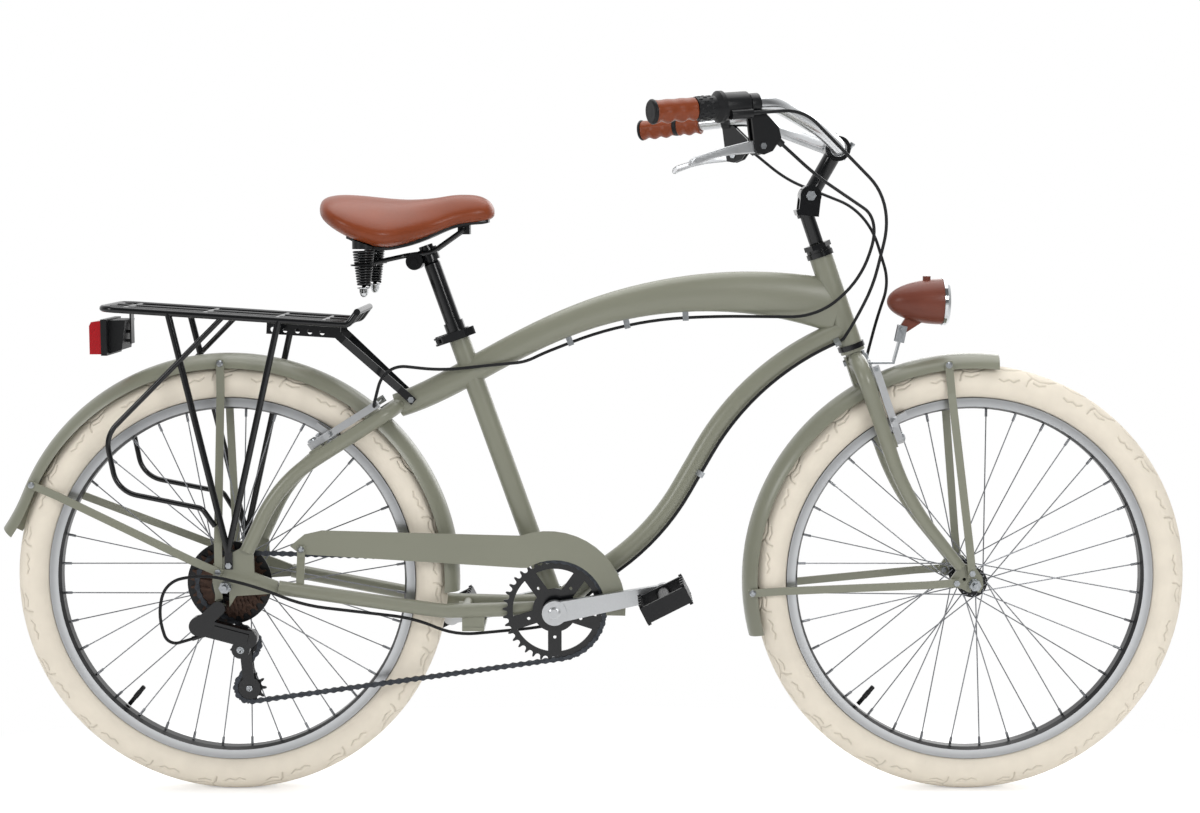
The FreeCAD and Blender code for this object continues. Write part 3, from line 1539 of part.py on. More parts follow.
hoop_core = sweep("HoopCore", hoop_path, size.stay_radius)


def main_frame():
    """Front half of the frame, each tube cut to fit the one it is welded to."""
    head = cut("HeadTube", head_core, drum("HeadBore", size.head_bore, size.head_length, head_place))
    ahead = block("HeadFront", size.head_length * 2, size.head_length, size.head_length,
                  stand(on_steer(size.head_length / 2), STEER_FORWARD, STEER_DOWN))
    top = cut("TopTube", top_core, ellipse_loft("TopHollow", TOP_STATIONS, size.frame_wall),
              head_core, seat_core, hoop_core, ahead)
    down = cut("DownTube", rod("Down", DOWN_POINTS, DOWN_BENDS, size.down_radius, size.frame_wall),
               head_core, shell_core, top_core, seat_core)
    seat = cut("SeatTube", seat_core, drum("SeatBore", size.seat_post_radius + size.fit_gap,
                                           size.seat_tube_length, seat_place), shell_core)
    shell = cut("CrankShell", shell_core, drum("ShellBore", size.shell_bore, size.shell_half * 2,
                                               shell_place))
    return node("main_frame", group("main_frame", head, top, down, seat, shell))


def chain_stay(name, side):
    """Chain stay from the dropout, past the tyre, to the crank shell."""
    points = [at(size.chain_stay_foot_x, size.stay_foot_y * side, size.chain_stay_foot_z),
              at(size.chain_stay_knee_x, size.chain_stay_knee_y * side, size.chain_stay_knee_z),
              at(size.chain_stay_waist_x, size.chain_stay_waist_y * side, size.chain_stay_knee_z),
              at(size.crank_x, size.chain_stay_root_y * side, size.crank_z)]
    path = shaped(name + "Path", bent_path(points, size.chain_stay_bend.value))
    core = sweep(name + "Core", path, size.stay_radius)
    hollow = sweep(name + "Hollow", path, size.stay_radius - size.stay_wall)
    shell_room = drum(name + "ShellRoom", size.shell_radius, size.shell_half * 4,
                      wheel_frame(CRANK_AXLE - LEFT * (size.shell_half.value * 2)))
    return core, cut(name, core, hollow, shell_room, seat_core)


DROPOUT_OUTLINE = [(16, -14), (80, -10), (80, 8), (44, 22), (43, 50), (23, 59), (-2, 46), (-18, 36),
                   (-20, 8)]
HANGER_OUTLINE = [(-16, -12), (-18, -38), (0, -40)]
PLAIN_FOOT = [(-16, -12), (0, -18)]


def dropout(name, side):
    """Plate that takes the axle in an open slot; the right one carries the gear hanger."""
    foot = HANGER_OUTLINE if side < 0 else PLAIN_FOOT
    inner = size.rear_locknut_reach.value * side
    place = stand(REAR_AXLE + LEFT * inner, LEFT * side, X_AXIS)
    mirror = 1 if side < 0 else -1
    outline = [(x, z * mirror) for x, z in foot + DROPOUT_OUTLINE]
    holes = [(size.rack_bolt_x, size.rack_bolt_rise * mirror, size.bolt_hole),
             (size.stay_bolt_x, size.stay_bolt_rise * mirror, size.bolt_hole)]
    body = plate(name, outline, size.dropout_thick, place, holes)
    slot_radius = size.rear_axle_radius + size.axle_slot_gap
    eye = drum(name + "Eye", slot_radius, size.dropout_thick, place)
    mouth = block(name + "Mouth", slot_radius * 2, DROPOUT_SLOT, size.dropout_thick,
                  place * FreeCAD.Placement(Vector(0, -mirror * DROPOUT_SLOT / 2, 0), FreeCAD.Rotation()))
    return cut(name + "Slotted", body, eye, mouth)


DROPOUT_SLOT = 44
STAY_UP = (at(size.hoop_x, 0, size.hoop_z) - at(size.seat_stay_bend_x, 0, size.seat_stay_bend_z)).normalize()
STAY_BACK = Vector(-STAY_UP.z, 0, STAY_UP.x)


def stay_spot(x):
    """Point of the seat stay's upper run, on the middle plane, at a distance ahead of the axle."""
    start = at(size.seat_stay_bend_x, 0, size.seat_stay_bend_z)
    return start + STAY_UP * ((rear_x + num(x) - start.x) / STAY_UP.x)


# Each brake: pivot on the middle plane, direction up the arm, direction away from the frame
REAR_BRAKE = (stay_spot(size.rear_brake_x) + STAY_BACK * size.brake_pivot_height.value, STAY_UP, STAY_BACK)
FRONT_BRAKE = (on_steer(size.front_brake_drop, size.brake_pivot_height), -STEER_DOWN, STEER_FORWARD)


def brake_stud(name, brake, side, stay_y, core):
    """Bracket on a stay or blade with the stud on which a brake arm turns."""
    pivot, up, away = brake
    spot = pivot + LEFT * (side * size.brake_pivot_y.value)
    reach = (stay_y - size.brake_pivot_y.value + size.brake_boss_radius.value)
    middle = pivot + LEFT * (side * (stay_y + size.brake_pivot_y.value - size.brake_boss_radius.value) / 2)
    base = stand(middle - away * size.brake_pivot_height.value, away, up)
    bracket = block(name + "Bracket", size.brake_bracket_length, reach,
                    size.brake_pivot_height - size.brake_arm_thick * 0.5 - size.running_gap, base)
    stud = drum(name + "Stud", size.brake_stud_radius, size.brake_pivot_height + size.brake_arm_thick * 0.5,
                stand(spot - away * size.brake_pivot_height.value, away))
    return cut(name, fuse(name + "Whole", bracket, stud), core)


def rear_frame():
    """Stays, dropouts, brake studs, bridge and kickstand plate."""
    pieces = [cut("SeatStays", hoop_core, sweep("HoopHollow", hoop_path, size.stay_radius - size.stay_wall))]
    cores = []
    for name, side in SIDES.items():
        core, stay = chain_stay(name + "ChainStay", side)
        cores.append(core)
        pieces += [stay, dropout(name + "Dropout", side)]
        along = (size.rear_brake_x.value - size.seat_stay_bend_x.value) / (
            size.hoop_x.value - size.seat_stay_bend_x.value)
        stay_y = size.seat_stay_bend_y.value + (size.hoop_y.value - size.seat_stay_bend_y.value) * along
        pieces.append(brake_stud(name + "RearStud", REAR_BRAKE, side, stay_y, hoop_core))
    bridge = drum("StayBridge", size.stay_bridge_radius, size.chain_stay_knee_y * 2,
                  wheel_frame(at(size.stay_bridge_x, -size.chain_stay_knee_y, size.chain_stay_knee_z)))
    pieces.append(cut("StayBridgeFitted", bridge, *cores))
    plate_place = stand(at(size.kick_plate_x, 0, size.kick_plate_z))
    flat_bar = block("KickPlate", size.kick_plate_length, size.kick_plate_width, size.kick_plate_thick,
                     plate_place)
    webs = [block(f"KickWeb{side}", size.kick_plate_length, size.kick_web_thick,
                  size.chain_stay_knee_z - size.kick_plate_z,
                  stand(at(size.kick_plate_x, size.kick_web_y * side, size.kick_plate_z)))
            for side in SIDES.values()]
    hole = drum("KickHole", size.kick_bolt_hole, size.kick_plate_thick, plate_place)
    pieces.append(cut("KickBracket", fuse("KickBracketWhole", flat_bar, *webs), hole, *cores))
    return node("rear_frame", group("rear_frame", *pieces))


main_frame()
rear_frame()


# Steering: bearings, fork, stem and handlebar

crown_seat = size.head_length + size.headset_height + size.running_gap + size.race_height
crown_drop = crown_seat + size.blade_radius
axle_drop = (FRONT_AXLE - HEAD_TOP).dot(STEER_DOWN)


def steer_ring(name, outline, drop, downward=True):
    """Ring about the steering axis, drawn away from the head tube's end."""
    return turned(name, outline, stand(on_steer(drop), STEER_DOWN if downward else -STEER_DOWN,
                                       STEER_FORWARD))


def bearing_cups():
    """Headset cups and crank cups with their balls."""
    bore = size.steerer_radius + size.running_gap
    cup = [(bore, -size.headset_skirt), (size.head_bore - size.fit_gap, -size.headset_skirt),
           (size.head_bore - size.fit_gap, 0), (size.headset_radius, 0),
           (size.headset_radius, size.headset_height), (size.headset_pocket, size.headset_height),
           (size.headset_pocket, size.headset_floor), (bore, size.headset_floor)]
    ball_height = size.headset_floor + size.headset_ball + size.fit_gap
    pieces = []
    for name, drop, downward in (("Upper", 0, False), ("Lower", size.head_length, True)):
        pieces.append(steer_ring(f"{name}Cup", cup, drop, downward))
        axis = STEER_DOWN if downward else -STEER_DOWN
        pieces.append(ball_ring(f"{name}Balls", size.headset_ball_circle, size.headset_ball,
                                HEADSET_BALLS, shifted(stand(on_steer(drop), axis), ball_height)))
    inner = size.shell_half - size.cup_inset
    lip = size.shell_half + size.cup_lip
    hole = size.spindle_radius + size.running_gap
    crank_cup = [(size.cup_inner_radius, inner), (size.shell_bore - size.fit_gap, inner),
                 (size.shell_bore - size.fit_gap, size.shell_half), (size.cup_lip_radius, size.shell_half),
                 (size.cup_lip_radius, lip), (hole, lip), (hole, size.shell_half),
                 (size.cup_inner_radius, size.shell_half)]
    circle = (size.cup_inner_radius + size.spindle_radius) / 2
    for name, side in SIDES.items():
        place = facing_out(wheel_frame(CRANK_AXLE), side)
        pieces.append(turned(name + "CrankCup", crank_cup, place))
        pieces.append(ball_ring(name + "CrankBalls", circle, size.headset_ball, CRANK_BALLS,
                                shifted(place, size.shell_half - size.cup_inset * 0.4)))
    return node("bearing_cups", group("bearing_cups", *pieces))


HEADSET_BALLS = 16
CRANK_BALLS = 11


def fork_blade(name, side):
    """One blade from the middle of the crown, out, down and forward to the fork end."""
    across = size.blade_y.value * side
    vertex = on_steer(axle_drop - size.blade_vertex.value, 0, across)
    axle_spot = FRONT_AXLE + LEFT * across
    tip = axle_spot - (axle_spot - vertex).normalize() * size.blade_tip_gap.value
    path = bent_path([on_steer(crown_drop), on_steer(crown_drop, 0, across), vertex, tip],
                     [size.crown_bend.value, size.blade_bend.value])
    spine = shaped(name + "Path", path)
    core = sweep(name + "Core", spine, size.blade_radius, size.blade_tip)
    hollow = sweep(name + "Hollow", spine, size.blade_radius - size.blade_wall,
                   size.blade_tip - size.blade_wall)
    bolt_hole = drum(name + "BoltHole", size.crown_bolt + size.fit_gap, size.blade_radius * 4,
                     stand(on_steer(crown_drop, -size.blade_radius * 2), STEER_FORWARD))
    return core, cut(name, core, hollow, bolt_hole)


FORK_END_OUTLINE = [(-9, -12), (9, -12), (14, -2), (12, 12), (2, 26), (-14.7, 31.8), (-27.9, 21.2),
                    (-37, 8), (-34, -4), (-20, -6)]
FORK_SLOT = 20


def fork_end(name, side):
    """Plate that takes the axle in an open slot, with two bolt holes and a free eyelet."""
    inner = size.front_locknut_reach.value * side
    place = stand(FRONT_AXLE + LEFT * inner, LEFT * side, X_AXIS)
    mirror = 1 if side < 0 else -1
    holes = [(size.fork_upper_bolt_x, size.fork_upper_bolt_rise * mirror, size.bolt_hole),
             (size.fork_lower_bolt_x, size.fork_lower_bolt_rise * mirror, size.bolt_hole),
             (size.fork_eyelet_x, size.fork_eyelet_rise * mirror, size.fork_eyelet_hole)]
    body = plate(name, [(x, z * mirror) for x, z in FORK_END_OUTLINE], size.fork_end_thick, place, holes)
    slot = size.front_axle_radius + size.axle_slot_gap
    eye = drum(name + "Eye", slot, size.fork_end_thick, place)
    mouth = block(name + "Mouth", slot * 2, FORK_SLOT, size.fork_end_thick,
                  place * FreeCAD.Placement(Vector(0, -mirror * FORK_SLOT / 2, 0), FreeCAD.Rotation()))
    return cut(name + "Slotted", body, eye, mouth)


def fork():
    """Steerer, blades, ends and brake studs."""
    pieces = []
    cores = []
    for name, side in SIDES.items():
        core, blade = fork_blade(name + "Blade", side)
        cores.append(core)
        pieces += [blade, fork_end(name + "ForkEnd", side),
                   brake_stud(name + "FrontStud", FRONT_BRAKE, side, size.blade_y.value, core)]
    top = -(size.headset_height + size.running_gap + size.race_height + size.headset_nut_height)
    length = crown_drop - top
    steerer = drum("Steerer", size.steerer_radius, length, stand(on_steer(top), STEER_DOWN),
                   size.steerer_bore)
    race = [(size.steerer_radius + size.fit_gap, -size.race_height), (size.race_radius, -size.race_height),
            (size.race_radius, 0), (size.steerer_radius + size.fit_gap, 0)]
    pieces += [cut("SteererFitted", steerer, *cores),
               cut("CrownRaceFitted", steer_ring("CrownRace", race, crown_seat), *cores)]
    return node("fork", group("fork", *pieces))


def headset_nuts():
    """Screwed race and locknut above the upper cup."""
    bore = size.steerer_radius + size.fit_gap
    base = size.headset_height + size.running_gap
    race = [(bore, base), (size.race_radius, base), (size.race_radius, base + size.race_height),
            (bore, base + size.race_height)]
    nut = hexagon("HeadsetNut", size.locknut_hex, size.headset_nut_height,
                  shifted(stand(on_steer(0), -STEER_DOWN), base + size.race_height), bore)
    return node("headset_nuts", group("headset_nuts", steer_ring("ScrewedRace", race, 0, False), nut))


STEM_PIVOT = on_steer(-size.stem_pivot_rise, size.stem_pivot_ahead)
BAR_CLAMP = at(size.bar_clamp_x, 0, size.bar_clamp_z)
STEM_RUN = (BAR_CLAMP - STEM_PIVOT).normalize()


def stem():
    """Adjustable stem: quill with two cheeks, arm with its knuckle, and the split bar clamp."""
    quill_place = stand(on_steer(-size.quill_top), STEER_DOWN, STEER_FORWARD)
    quill = drum("Quill", size.quill_radius, size.quill_top + size.quill_depth, quill_place)
    collar = drum("QuillCollar", size.collar_radius, size.collar_height, quill_place)
    cheeks = []
    rise = STEM_PIVOT - on_steer(-size.quill_top.value + size.collar_height.value)
    for name, side in SIDES.items():
        across = size.stem_knuckle_half + size.running_gap + size.stem_cheek_thick * 0.5
        start = STEM_PIVOT - rise + LEFT * (side * across.value)
        cheek = strip(name + "Cheek", start, start + rise, size.stem_cheek_wide, size.stem_cheek_thick)
        cap = drum(name + "CheekCap", size.stem_knuckle_radius, size.stem_cheek_thick,
                   wheel_frame(STEM_PIVOT + LEFT * (side * across.value - size.stem_cheek_thick.value / 2)))
        cheeks += [cheek, cap]
    bridge = block("CheekBridge", size.stem_cheek_wide,
                   (size.stem_knuckle_half + size.running_gap + size.stem_cheek_thick) * 2,
                   size.collar_height * 0.6, quill_place)
    saddle = drum("KnuckleRoom", size.stem_knuckle_radius + size.running_gap,
                  (size.stem_knuckle_half + size.running_gap) * 2,
                  wheel_frame(STEM_PIVOT - LEFT * (size.stem_knuckle_half + size.running_gap).value))
    pivot_hole = drum("PivotHole", size.stem_bolt + size.fit_gap, size.bar_clamp_half * 4,
                      wheel_frame(STEM_PIVOT - LEFT * (size.bar_clamp_half.value * 2)))
    bolt_hole = drum("QuillHole", size.quill_bolt_hole, size.quill_top + size.quill_depth, quill_place)
    lower = cut("QuillWhole", fuse("QuillFused", quill, collar, bridge, *cheeks), saddle, bolt_hole,
                pivot_hole)
    arm = rod("StemArm", [STEM_PIVOT, BAR_CLAMP], 0, size.stem_arm_radius)
    knuckle = drum("StemKnuckle", size.stem_knuckle_radius, size.stem_knuckle_half * 2,
                   wheel_frame(STEM_PIVOT - LEFT * size.stem_knuckle_half.value))
    clamp = drum("BarClamp", size.bar_clamp_radius, size.bar_clamp_half * 2,
                 wheel_frame(BAR_CLAMP - LEFT * size.bar_clamp_half.value))
    bar_hole = drum("BarHole", size.bar_sleeve_radius + size.fit_gap, size.bar_clamp_half * 4,
                    wheel_frame(BAR_CLAMP - LEFT * (size.bar_clamp_half.value * 2)))
    slit = block("ClampSlit", size.bar_clamp_half * 4, size.bar_clamp_half * 4, size.bar_clamp_slit,
                 stand(BAR_CLAMP, STEM_RUN, LEFT))
    bolt_holes = [drum(f"FaceHole{index}", size.bolt_radius + size.fit_gap, FACE_BOLT_LENGTH, spot)
                  for index, spot in enumerate(face_bolt_spots())]
    upper = cut("StemUpper", fuse("StemFused", arm, knuckle, clamp), bar_hole, slit, pivot_hole,
                *bolt_holes)
    return node("stem", group("stem", lower, upper))


FACE_BOLT_LENGTH = 25
FACE_BOLT_BACK = 10


def face_bolt_spots():
    """Start of each face plate bolt, above and below the bar on both sides of the stem."""
    middle = (size.bar_sleeve_radius.value + size.bar_clamp_radius.value) / 2
    aside = STEM_RUN.cross(LEFT)
    return [stand(BAR_CLAMP + LEFT * (across * size.bar_clamp_half.value * 0.7) + aside * (rise * middle)
                  - STEM_RUN * FACE_BOLT_BACK, STEM_RUN) for across in (1, -1) for rise in (1, -1)]


def bar_points(side):
    """Corner points of one half of the handlebar, from its end to the middle."""
    return [at(size.bar_end_x, size.bar_half_width * side, size.bar_end_z),
            at(size.bar_knee_x, size.bar_knee_y * side, size.bar_knee_z),
            at(size.bar_hip_x, size.bar_hip_y * side, size.bar_hip_z),
            at(size.bar_clamp_x, size.bar_root_y * side, size.bar_clamp_z)]


def handlebar():
    """Swept-back bar with the thicker sleeve that the stem holds."""
    points = bar_points(-1) + list(reversed(bar_points(1)))
    half_bends = [size.bar_knee_bend.value, size.bar_hip_bend.value, size.bar_root_bend.value]
    bar = rod("Bar", points, half_bends + half_bends[::-1], size.bar_radius, size.bar_wall)
    sleeve = drum("BarSleeve", size.bar_sleeve_radius, size.bar_sleeve_half * 2,
                  wheel_frame(BAR_CLAMP - LEFT * size.bar_sleeve_half.value),
                  size.bar_radius + size.fit_gap)
    return node("handlebar", group("handlebar", bar, sleeve))


bearing_cups()
fork()
headset_nuts()
stem()
handlebar()


# Controls on the bar, and the headlight

def grip_axis(side):
    """Direction along the grip from the bar's end towards the middle."""
    points = bar_points(side)
    return (points[1] - points[0]).normalize()


def grip_place(side):
    """Frame at the bar's end: Z along the grip, X upwards."""
    return stand(bar_points(side)[0], grip_axis(side), UP)


def on_grip(side, along, rise=0.0, ahead=0.0):
    """Point given along the grip, above it and on its forward side."""
    place = grip_place(side)
    forward = place.Rotation.multVec(LEFT)
    forward = forward if forward.x > 0 else -forward
    return (place.Base + grip_axis(side) * num(along) + place.Rotation.multVec(X_AXIS) * num(rise)
            + forward * num(ahead))


def bar_sleeve(name, side, start, end, radius):
    """Plain sleeve on the straight end of the bar."""
    return drum(name, radius, end - start, shifted(grip_place(side), start),
                size.bar_radius + size.grip_bore_gap)


def grips():
    """Leather grips, one short beside the shifter and one long in two lengths, with rubber trim."""
    zero = size.bar_radius * 0
    pieces = [bar_sleeve("RightGrip", -1, zero, size.right_grip_end, size.grip_radius),
              bar_sleeve("LeftGripEnd", 1, zero, size.left_band_start, size.grip_radius),
              bar_sleeve("GripBand", 1, size.left_band_start, size.left_band_end, size.grip_radius),
              bar_sleeve("LeftGripRoot", 1, size.left_band_end, size.left_grip_end, size.grip_radius)]
    for name, side in SIDES.items():
        pieces.append(drum(name + "GripCap", size.grip_radius, size.grip_cap,
                           shifted(grip_place(side), -size.grip_cap)))
    return node("grips", group("grips", *pieces))


def twist_grip():
    """Turning sleeve of the shifter with a flange at its inner end."""
    bore = size.bar_radius + size.running_gap
    flange_start = size.twist_end - size.twist_flange_thick
    outline = [(bore, size.twist_start), (size.twist_radius, size.twist_start),
               (size.twist_radius, flange_start - size.twist_flange_thick),
               (size.twist_flange, flange_start), (size.twist_flange, size.twist_end),
               (bore, size.twist_end)]
    return node("shifter_twist_grip", turned("shifter_twist_grip", outline, grip_place(-1)))


def lever_place(side):
    """Lever frame at its pivot: X towards the tip, Y down, Z along the pivot."""
    pivot = on_grip(side, lever_along, -size.lever_drop)
    lift = grip_place(side).Rotation.multVec(X_AXIS)
    return stand(pivot, grip_axis(side).cross(lift), -grip_axis(side))


lever_along = (size.bracket_start + size.bracket_length * 0.5 + size.lever_ahead).value


# Corners of a bracket's cheek about the lever's pivot: towards the lever's tip, and down
BRACKET_OUTLINE = [(15, -46), (-4, -49), (-27, -24), (-30, -9), (-15, 8), (-1, 12), (11, 9), (13, -10)]


def bracket(name, side):
    """Clamp round the bar, two cheeks that hold the lever's pivot, and the cable barrel's mount."""
    ring = drum(name + "Ring", size.bracket_radius, size.bracket_length,
                shifted(grip_place(side), size.bracket_start))
    place = lever_place(side)
    clamp_along = size.bracket_start.value + size.bracket_length.value / 2
    pieces = [ring]
    lever_side = size.lever_thick / 2 + size.running_gap
    for cheek, base in (("Outer", lever_side), ("Inner", -lever_side - size.bracket_cheek)):
        pieces.append(plate(f"{name}{cheek}Cheek", BRACKET_OUTLINE, size.bracket_cheek, shifted(place, base)))
    web_top = on_grip(side, clamp_along, -size.bracket_radius * 0.8)
    barrel_root = on_grip(side, lever_along + size.barrel_ahead.value, -size.barrel_drop)
    pieces.append(rod(name + "Mount", [web_top, on_grip(side, lever_along + 2, -size.barrel_drop * 0.6),
                                       barrel_root], size.barrel_mount.value * 2, size.barrel_mount))
    lever_room = drum(name + "Room", size.barrel_mount * 2.2, size.lever_thick + size.running_gap * 2,
                      shifted(place, -(size.lever_thick / 2 + size.running_gap)))
    hole = drum(name + "Hole", size.bar_radius + size.grip_bore_gap, size.bracket_length * 3,
                shifted(grip_place(side), size.bracket_start - size.bracket_length))
    pin_hole = drum(name + "PinHole", size.lever_pin + size.fit_gap, size.bracket_cheek_wide * 2,
                    shifted(place, -size.bracket_cheek_wide.value))
    run = (barrel_root - on_grip(side, lever_along + 2, -size.barrel_drop * 0.6)).normalize()
    barrel = drum(name + "Barrel", size.barrel_radius, size.barrel_length, stand(barrel_root, run))
    barrel_room = drum(name + "BarrelRoom", size.barrel_radius + size.fit_gap, size.barrel_length,
                       stand(barrel_root, run))
    body = cut(name, fuse(name + "Whole", *pieces), hole, lever_room, pin_hole, barrel_room)
    return body, barrel


def barrel_mouth(side):
    """Point where the brake cable leaves the barrel, and its heading."""
    root = on_grip(side, lever_along + size.barrel_ahead.value, -size.barrel_drop)
    run = (root - on_grip(side, lever_along + 2, -size.barrel_drop * 0.6)).normalize()
    return root + run * size.barrel_length.value, run


PORT_ASIDE = 16.5
PORT_DROP = 12.0


def port_mouth():
    """Point where the shift cable leaves the shifter's housing."""
    return on_grip(-1, size.housing_end + size.housing_port_length, -PORT_DROP, PORT_ASIDE)


def bar_controls():
    """Shifter housing with its cable port, and the two brake brackets with their barrels."""
    shell = drum("ShifterShell", size.housing_radius, size.housing_end - size.housing_start,
                 shifted(grip_place(-1), size.housing_start))
    start = on_grip(-1, size.housing_start.value + 4, -PORT_DROP, PORT_ASIDE)
    port_length = size.housing_end - size.housing_start + size.housing_port_length - 4
    port = drum("ShifterPort", size.housing_port, port_length, stand(start, grip_axis(-1)))
    lobe = drum("ShifterLobe", size.housing_port * 2, size.housing_end - size.housing_start - 4,
                stand(start, grip_axis(-1)))
    hole = drum("ShifterHole", size.bar_radius + size.grip_bore_gap, size.housing_end - size.housing_start,
                shifted(grip_place(-1), size.housing_start))
    pieces = [cut("ShifterHousing", fuse("ShifterWhole", shell, lobe, port), hole)]
    for name, side in SIDES.items():
        pieces += bracket(name + "Bracket", side)
    return node("bar_controls", group("bar_controls", *pieces))


def brake_lever(name, side):
    """Tapered lever blade that turns on its pin."""
    long = size.lever_length
    outline = [(-9, -8), (10, -9), (long * 0.5, -3), (long, 7), (long + 7, 11), (long + 9, 17),
               (long + 6, 21), (long - 2, 18), (long * 0.75, 12), (long * 0.5, 9), (10, 9), (-9, 8)]
    return node(name, plate(name, outline, size.lever_thick,
                            shifted(lever_place(side), -(size.lever_thick / 2)),
                            [(0.0, 0.0, size.lever_pin + size.running_gap)]))


def ribbon(points, thick):
    """Outline of a bent flat bar of the given thickness through (across, along) points."""
    spots = [Vector(across, along, 0) for across, along in points]
    near = []
    far = []
    for index, spot in enumerate(spots):
        arriving = (spot - spots[max(index - 1, 0)])
        leaving = (spots[min(index + 1, len(spots) - 1)] - spot)
        heading = ((arriving.normalize() if arriving.Length else leaving) +
                   (leaving.normalize() if leaving.Length else arriving)).normalize()
        half = thick / 2 / (heading.dot(leaving if leaving.Length else arriving))
        aside = Vector(-heading.y, heading.x, 0) * half
        near.append(((spot + aside).x, (spot + aside).y))
        far.append(((spot - aside).x, (spot - aside).y))
    return near + far[::-1]


def side_plate(name, outline, wide):
    """Plate drawn in the side view as (x from the rear axle, height), centred on the middle plane."""
    return plate(name, outline, wide, stand(at(0, num(wide) / 2, 0), -LEFT, X_AXIS))


LAMP_TIP = at(size.lamp_tip_x, 0, size.lamp_z)
LAMP_PIVOT = at(size.lamp_pivot_x, 0, size.lamp_pivot_z)


def half_egg(name, long, radius, place):
    """Bullet-shaped half ellipsoid behind its placement."""
    egg = make("Part::Ellipsoid", name, place, Radius1=long, Radius2=radius)
    egg.Angle1 = -90
    egg.Angle2 = 0
    return egg


def headlight():
    """Bullet shell with its foot and button, chrome bezel with its reflector, and lens."""
    mouth = stand(LAMP_TIP + X_AXIS * size.lamp_length.value, X_AXIS, UP)
    outside = half_egg("LampOutside", size.lamp_length, size.lamp_radius, mouth)
    inside = half_egg("LampInside", size.lamp_length - size.lamp_wall, size.lamp_radius - size.lamp_wall,
                      mouth)
    lug = side_plate("LampLug", LAMP_LUG_OUTLINE, size.lamp_lug_half * 2)
    knuckle = drum("LampKnuckle", size.lamp_lug_radius, size.lamp_lug_half * 2,
                   wheel_frame(LAMP_PIVOT - LEFT * size.lamp_lug_half.value))
    pin_hole = drum("LampPinHole", size.lamp_pin + size.running_gap, size.lamp_lug_half * 4,
                    wheel_frame(LAMP_PIVOT - LEFT * (size.lamp_lug_half.value * 2)))
    button_base = LAMP_TIP + X_AXIS * (size.lamp_length.value * LAMP_BUTTON_SHARE)
    button = drum("LampButton", size.lamp_button, size.lamp_radius + size.lamp_button_height,
                  stand(button_base))
    shell = cut("LampShell", fuse("LampWhole", outside, lug, knuckle, button), inside, pin_hole)
    node("headlight_shell", group("headlight_shell", shell))
    inner = size.bezel_radius - size.bezel_wall
    back = size.bezel_length * 0.5
    bezel = turned("LampBezel", [(inner, 0), (size.bezel_radius, 0), (size.bezel_radius, back),
                                 (inner + 1, size.bezel_length), (inner, size.bezel_length)], mouth)
    cup = size.lamp_radius - size.lamp_wall * 2
    reflector = turned("LampReflector", [(size.lamp_button, -size.lamp_length * 0.45),
                                         (size.lamp_button + 1, -size.lamp_length * 0.45),
                                         (cup * 0.7, -size.lamp_length * 0.25),
                                         (cup, 0), (cup - 1, 0),
                                         (cup * 0.7 - 1, -size.lamp_length * 0.25)], mouth)
    node("headlight_bezel", group("headlight_bezel", bezel, reflector))
    rim_radius = inner - size.fit_gap
    node("headlight_lens", turned("headlight_lens", [
        (0, size.lens_thick * 0.5), (rim_radius * 0.6, size.lens_thick * 0.3), (rim_radius, 0),
        (rim_radius, size.lens_thick), (rim_radius * 0.6, size.lens_thick * 1.6),
        (0, size.lens_thick * 1.9)], shifted(mouth, size.lens_thick * 0.5)))


LAMP_BUTTON_SHARE = 0.72
lug_x = size.lamp_pivot_x
lug_z = size.lamp_pivot_z
LAMP_LUG_OUTLINE = [(lug_x - size.lamp_lug_radius, lug_z), (lug_x + size.lamp_lug_radius * 0.7,
                                                            lug_z - size.lamp_lug_radius * 0.7),
                    (lug_x + size.lamp_radius, size.lamp_z - size.lamp_radius * 0.8),
                    (lug_x + size.lamp_radius * 0.2, size.lamp_z - size.lamp_radius * 0.6)]


def headlight_bracket():
    """Bent flat bar from the fork crown up to the two ears of the lamp's pivot."""
    front = on_steer(crown_drop, size.blade_radius + size.lamp_bracket_thick / 2 + size.fit_gap)
    root = (front.x - rear_x, front.z)
    drop = STEER_DOWN * size.blade_radius.value * 0.8
    crown_lower = (root[0] + drop.x, root[1] + drop.z)
    crown_upper = (root[0] - drop.x, root[1] - drop.z)
    foot = (size.lamp_foot_x.value, size.lamp_foot_z.value)
    rise = Vector(size.lamp_pivot_x.value - foot[0], size.lamp_pivot_z.value - foot[1], 0)
    keep = size.lamp_lug_radius.value + size.lamp_bracket_thick.value
    top = Vector(foot[0], foot[1], 0) + rise * (1 - keep / rise.Length)
    wide = size.lamp_lug_half * 2 + size.lamp_ear_thick * 2 + size.running_gap * 2
    bar = side_plate("LampBar", ribbon([crown_upper, crown_lower, foot, (top.x, top.y)],
                                       size.lamp_bracket_thick.value), wide)
    ears = []
    for name, side in SIDES.items():
        across = (size.lamp_lug_half + size.running_gap + size.lamp_ear_thick / 2).value * side
        start = at(top.x, across, top.y) - Vector(rise.x, 0, rise.y).normalize() * keep
        ears.append(strip(name + "LampEar", start, LAMP_PIVOT + LEFT * across + Vector(0, 0, keep * 0.6),
                          size.lamp_lug_radius * 2, size.lamp_ear_thick))
    pin_hole = drum("EarHole", size.lamp_pin + size.fit_gap, wide * 2,
                    wheel_frame(LAMP_PIVOT - LEFT * wide.value))
    bolt_hole = drum("BracketHole", size.crown_bolt + size.fit_gap, size.blade_radius * 2,
                     stand(on_steer(crown_drop, size.blade_radius * 0.5), STEER_FORWARD))
    return node("headlight_bracket", cut("headlight_bracket", fuse("LampBarWhole", bar, *ears), pin_hole,
                                         bolt_hole))


grips()
twist_grip()
bar_controls()
brake_lever("right_brake_lever", -1)
brake_lever("left_brake_lever", 1)
headlight()
headlight_bracket()


# Rim brakes

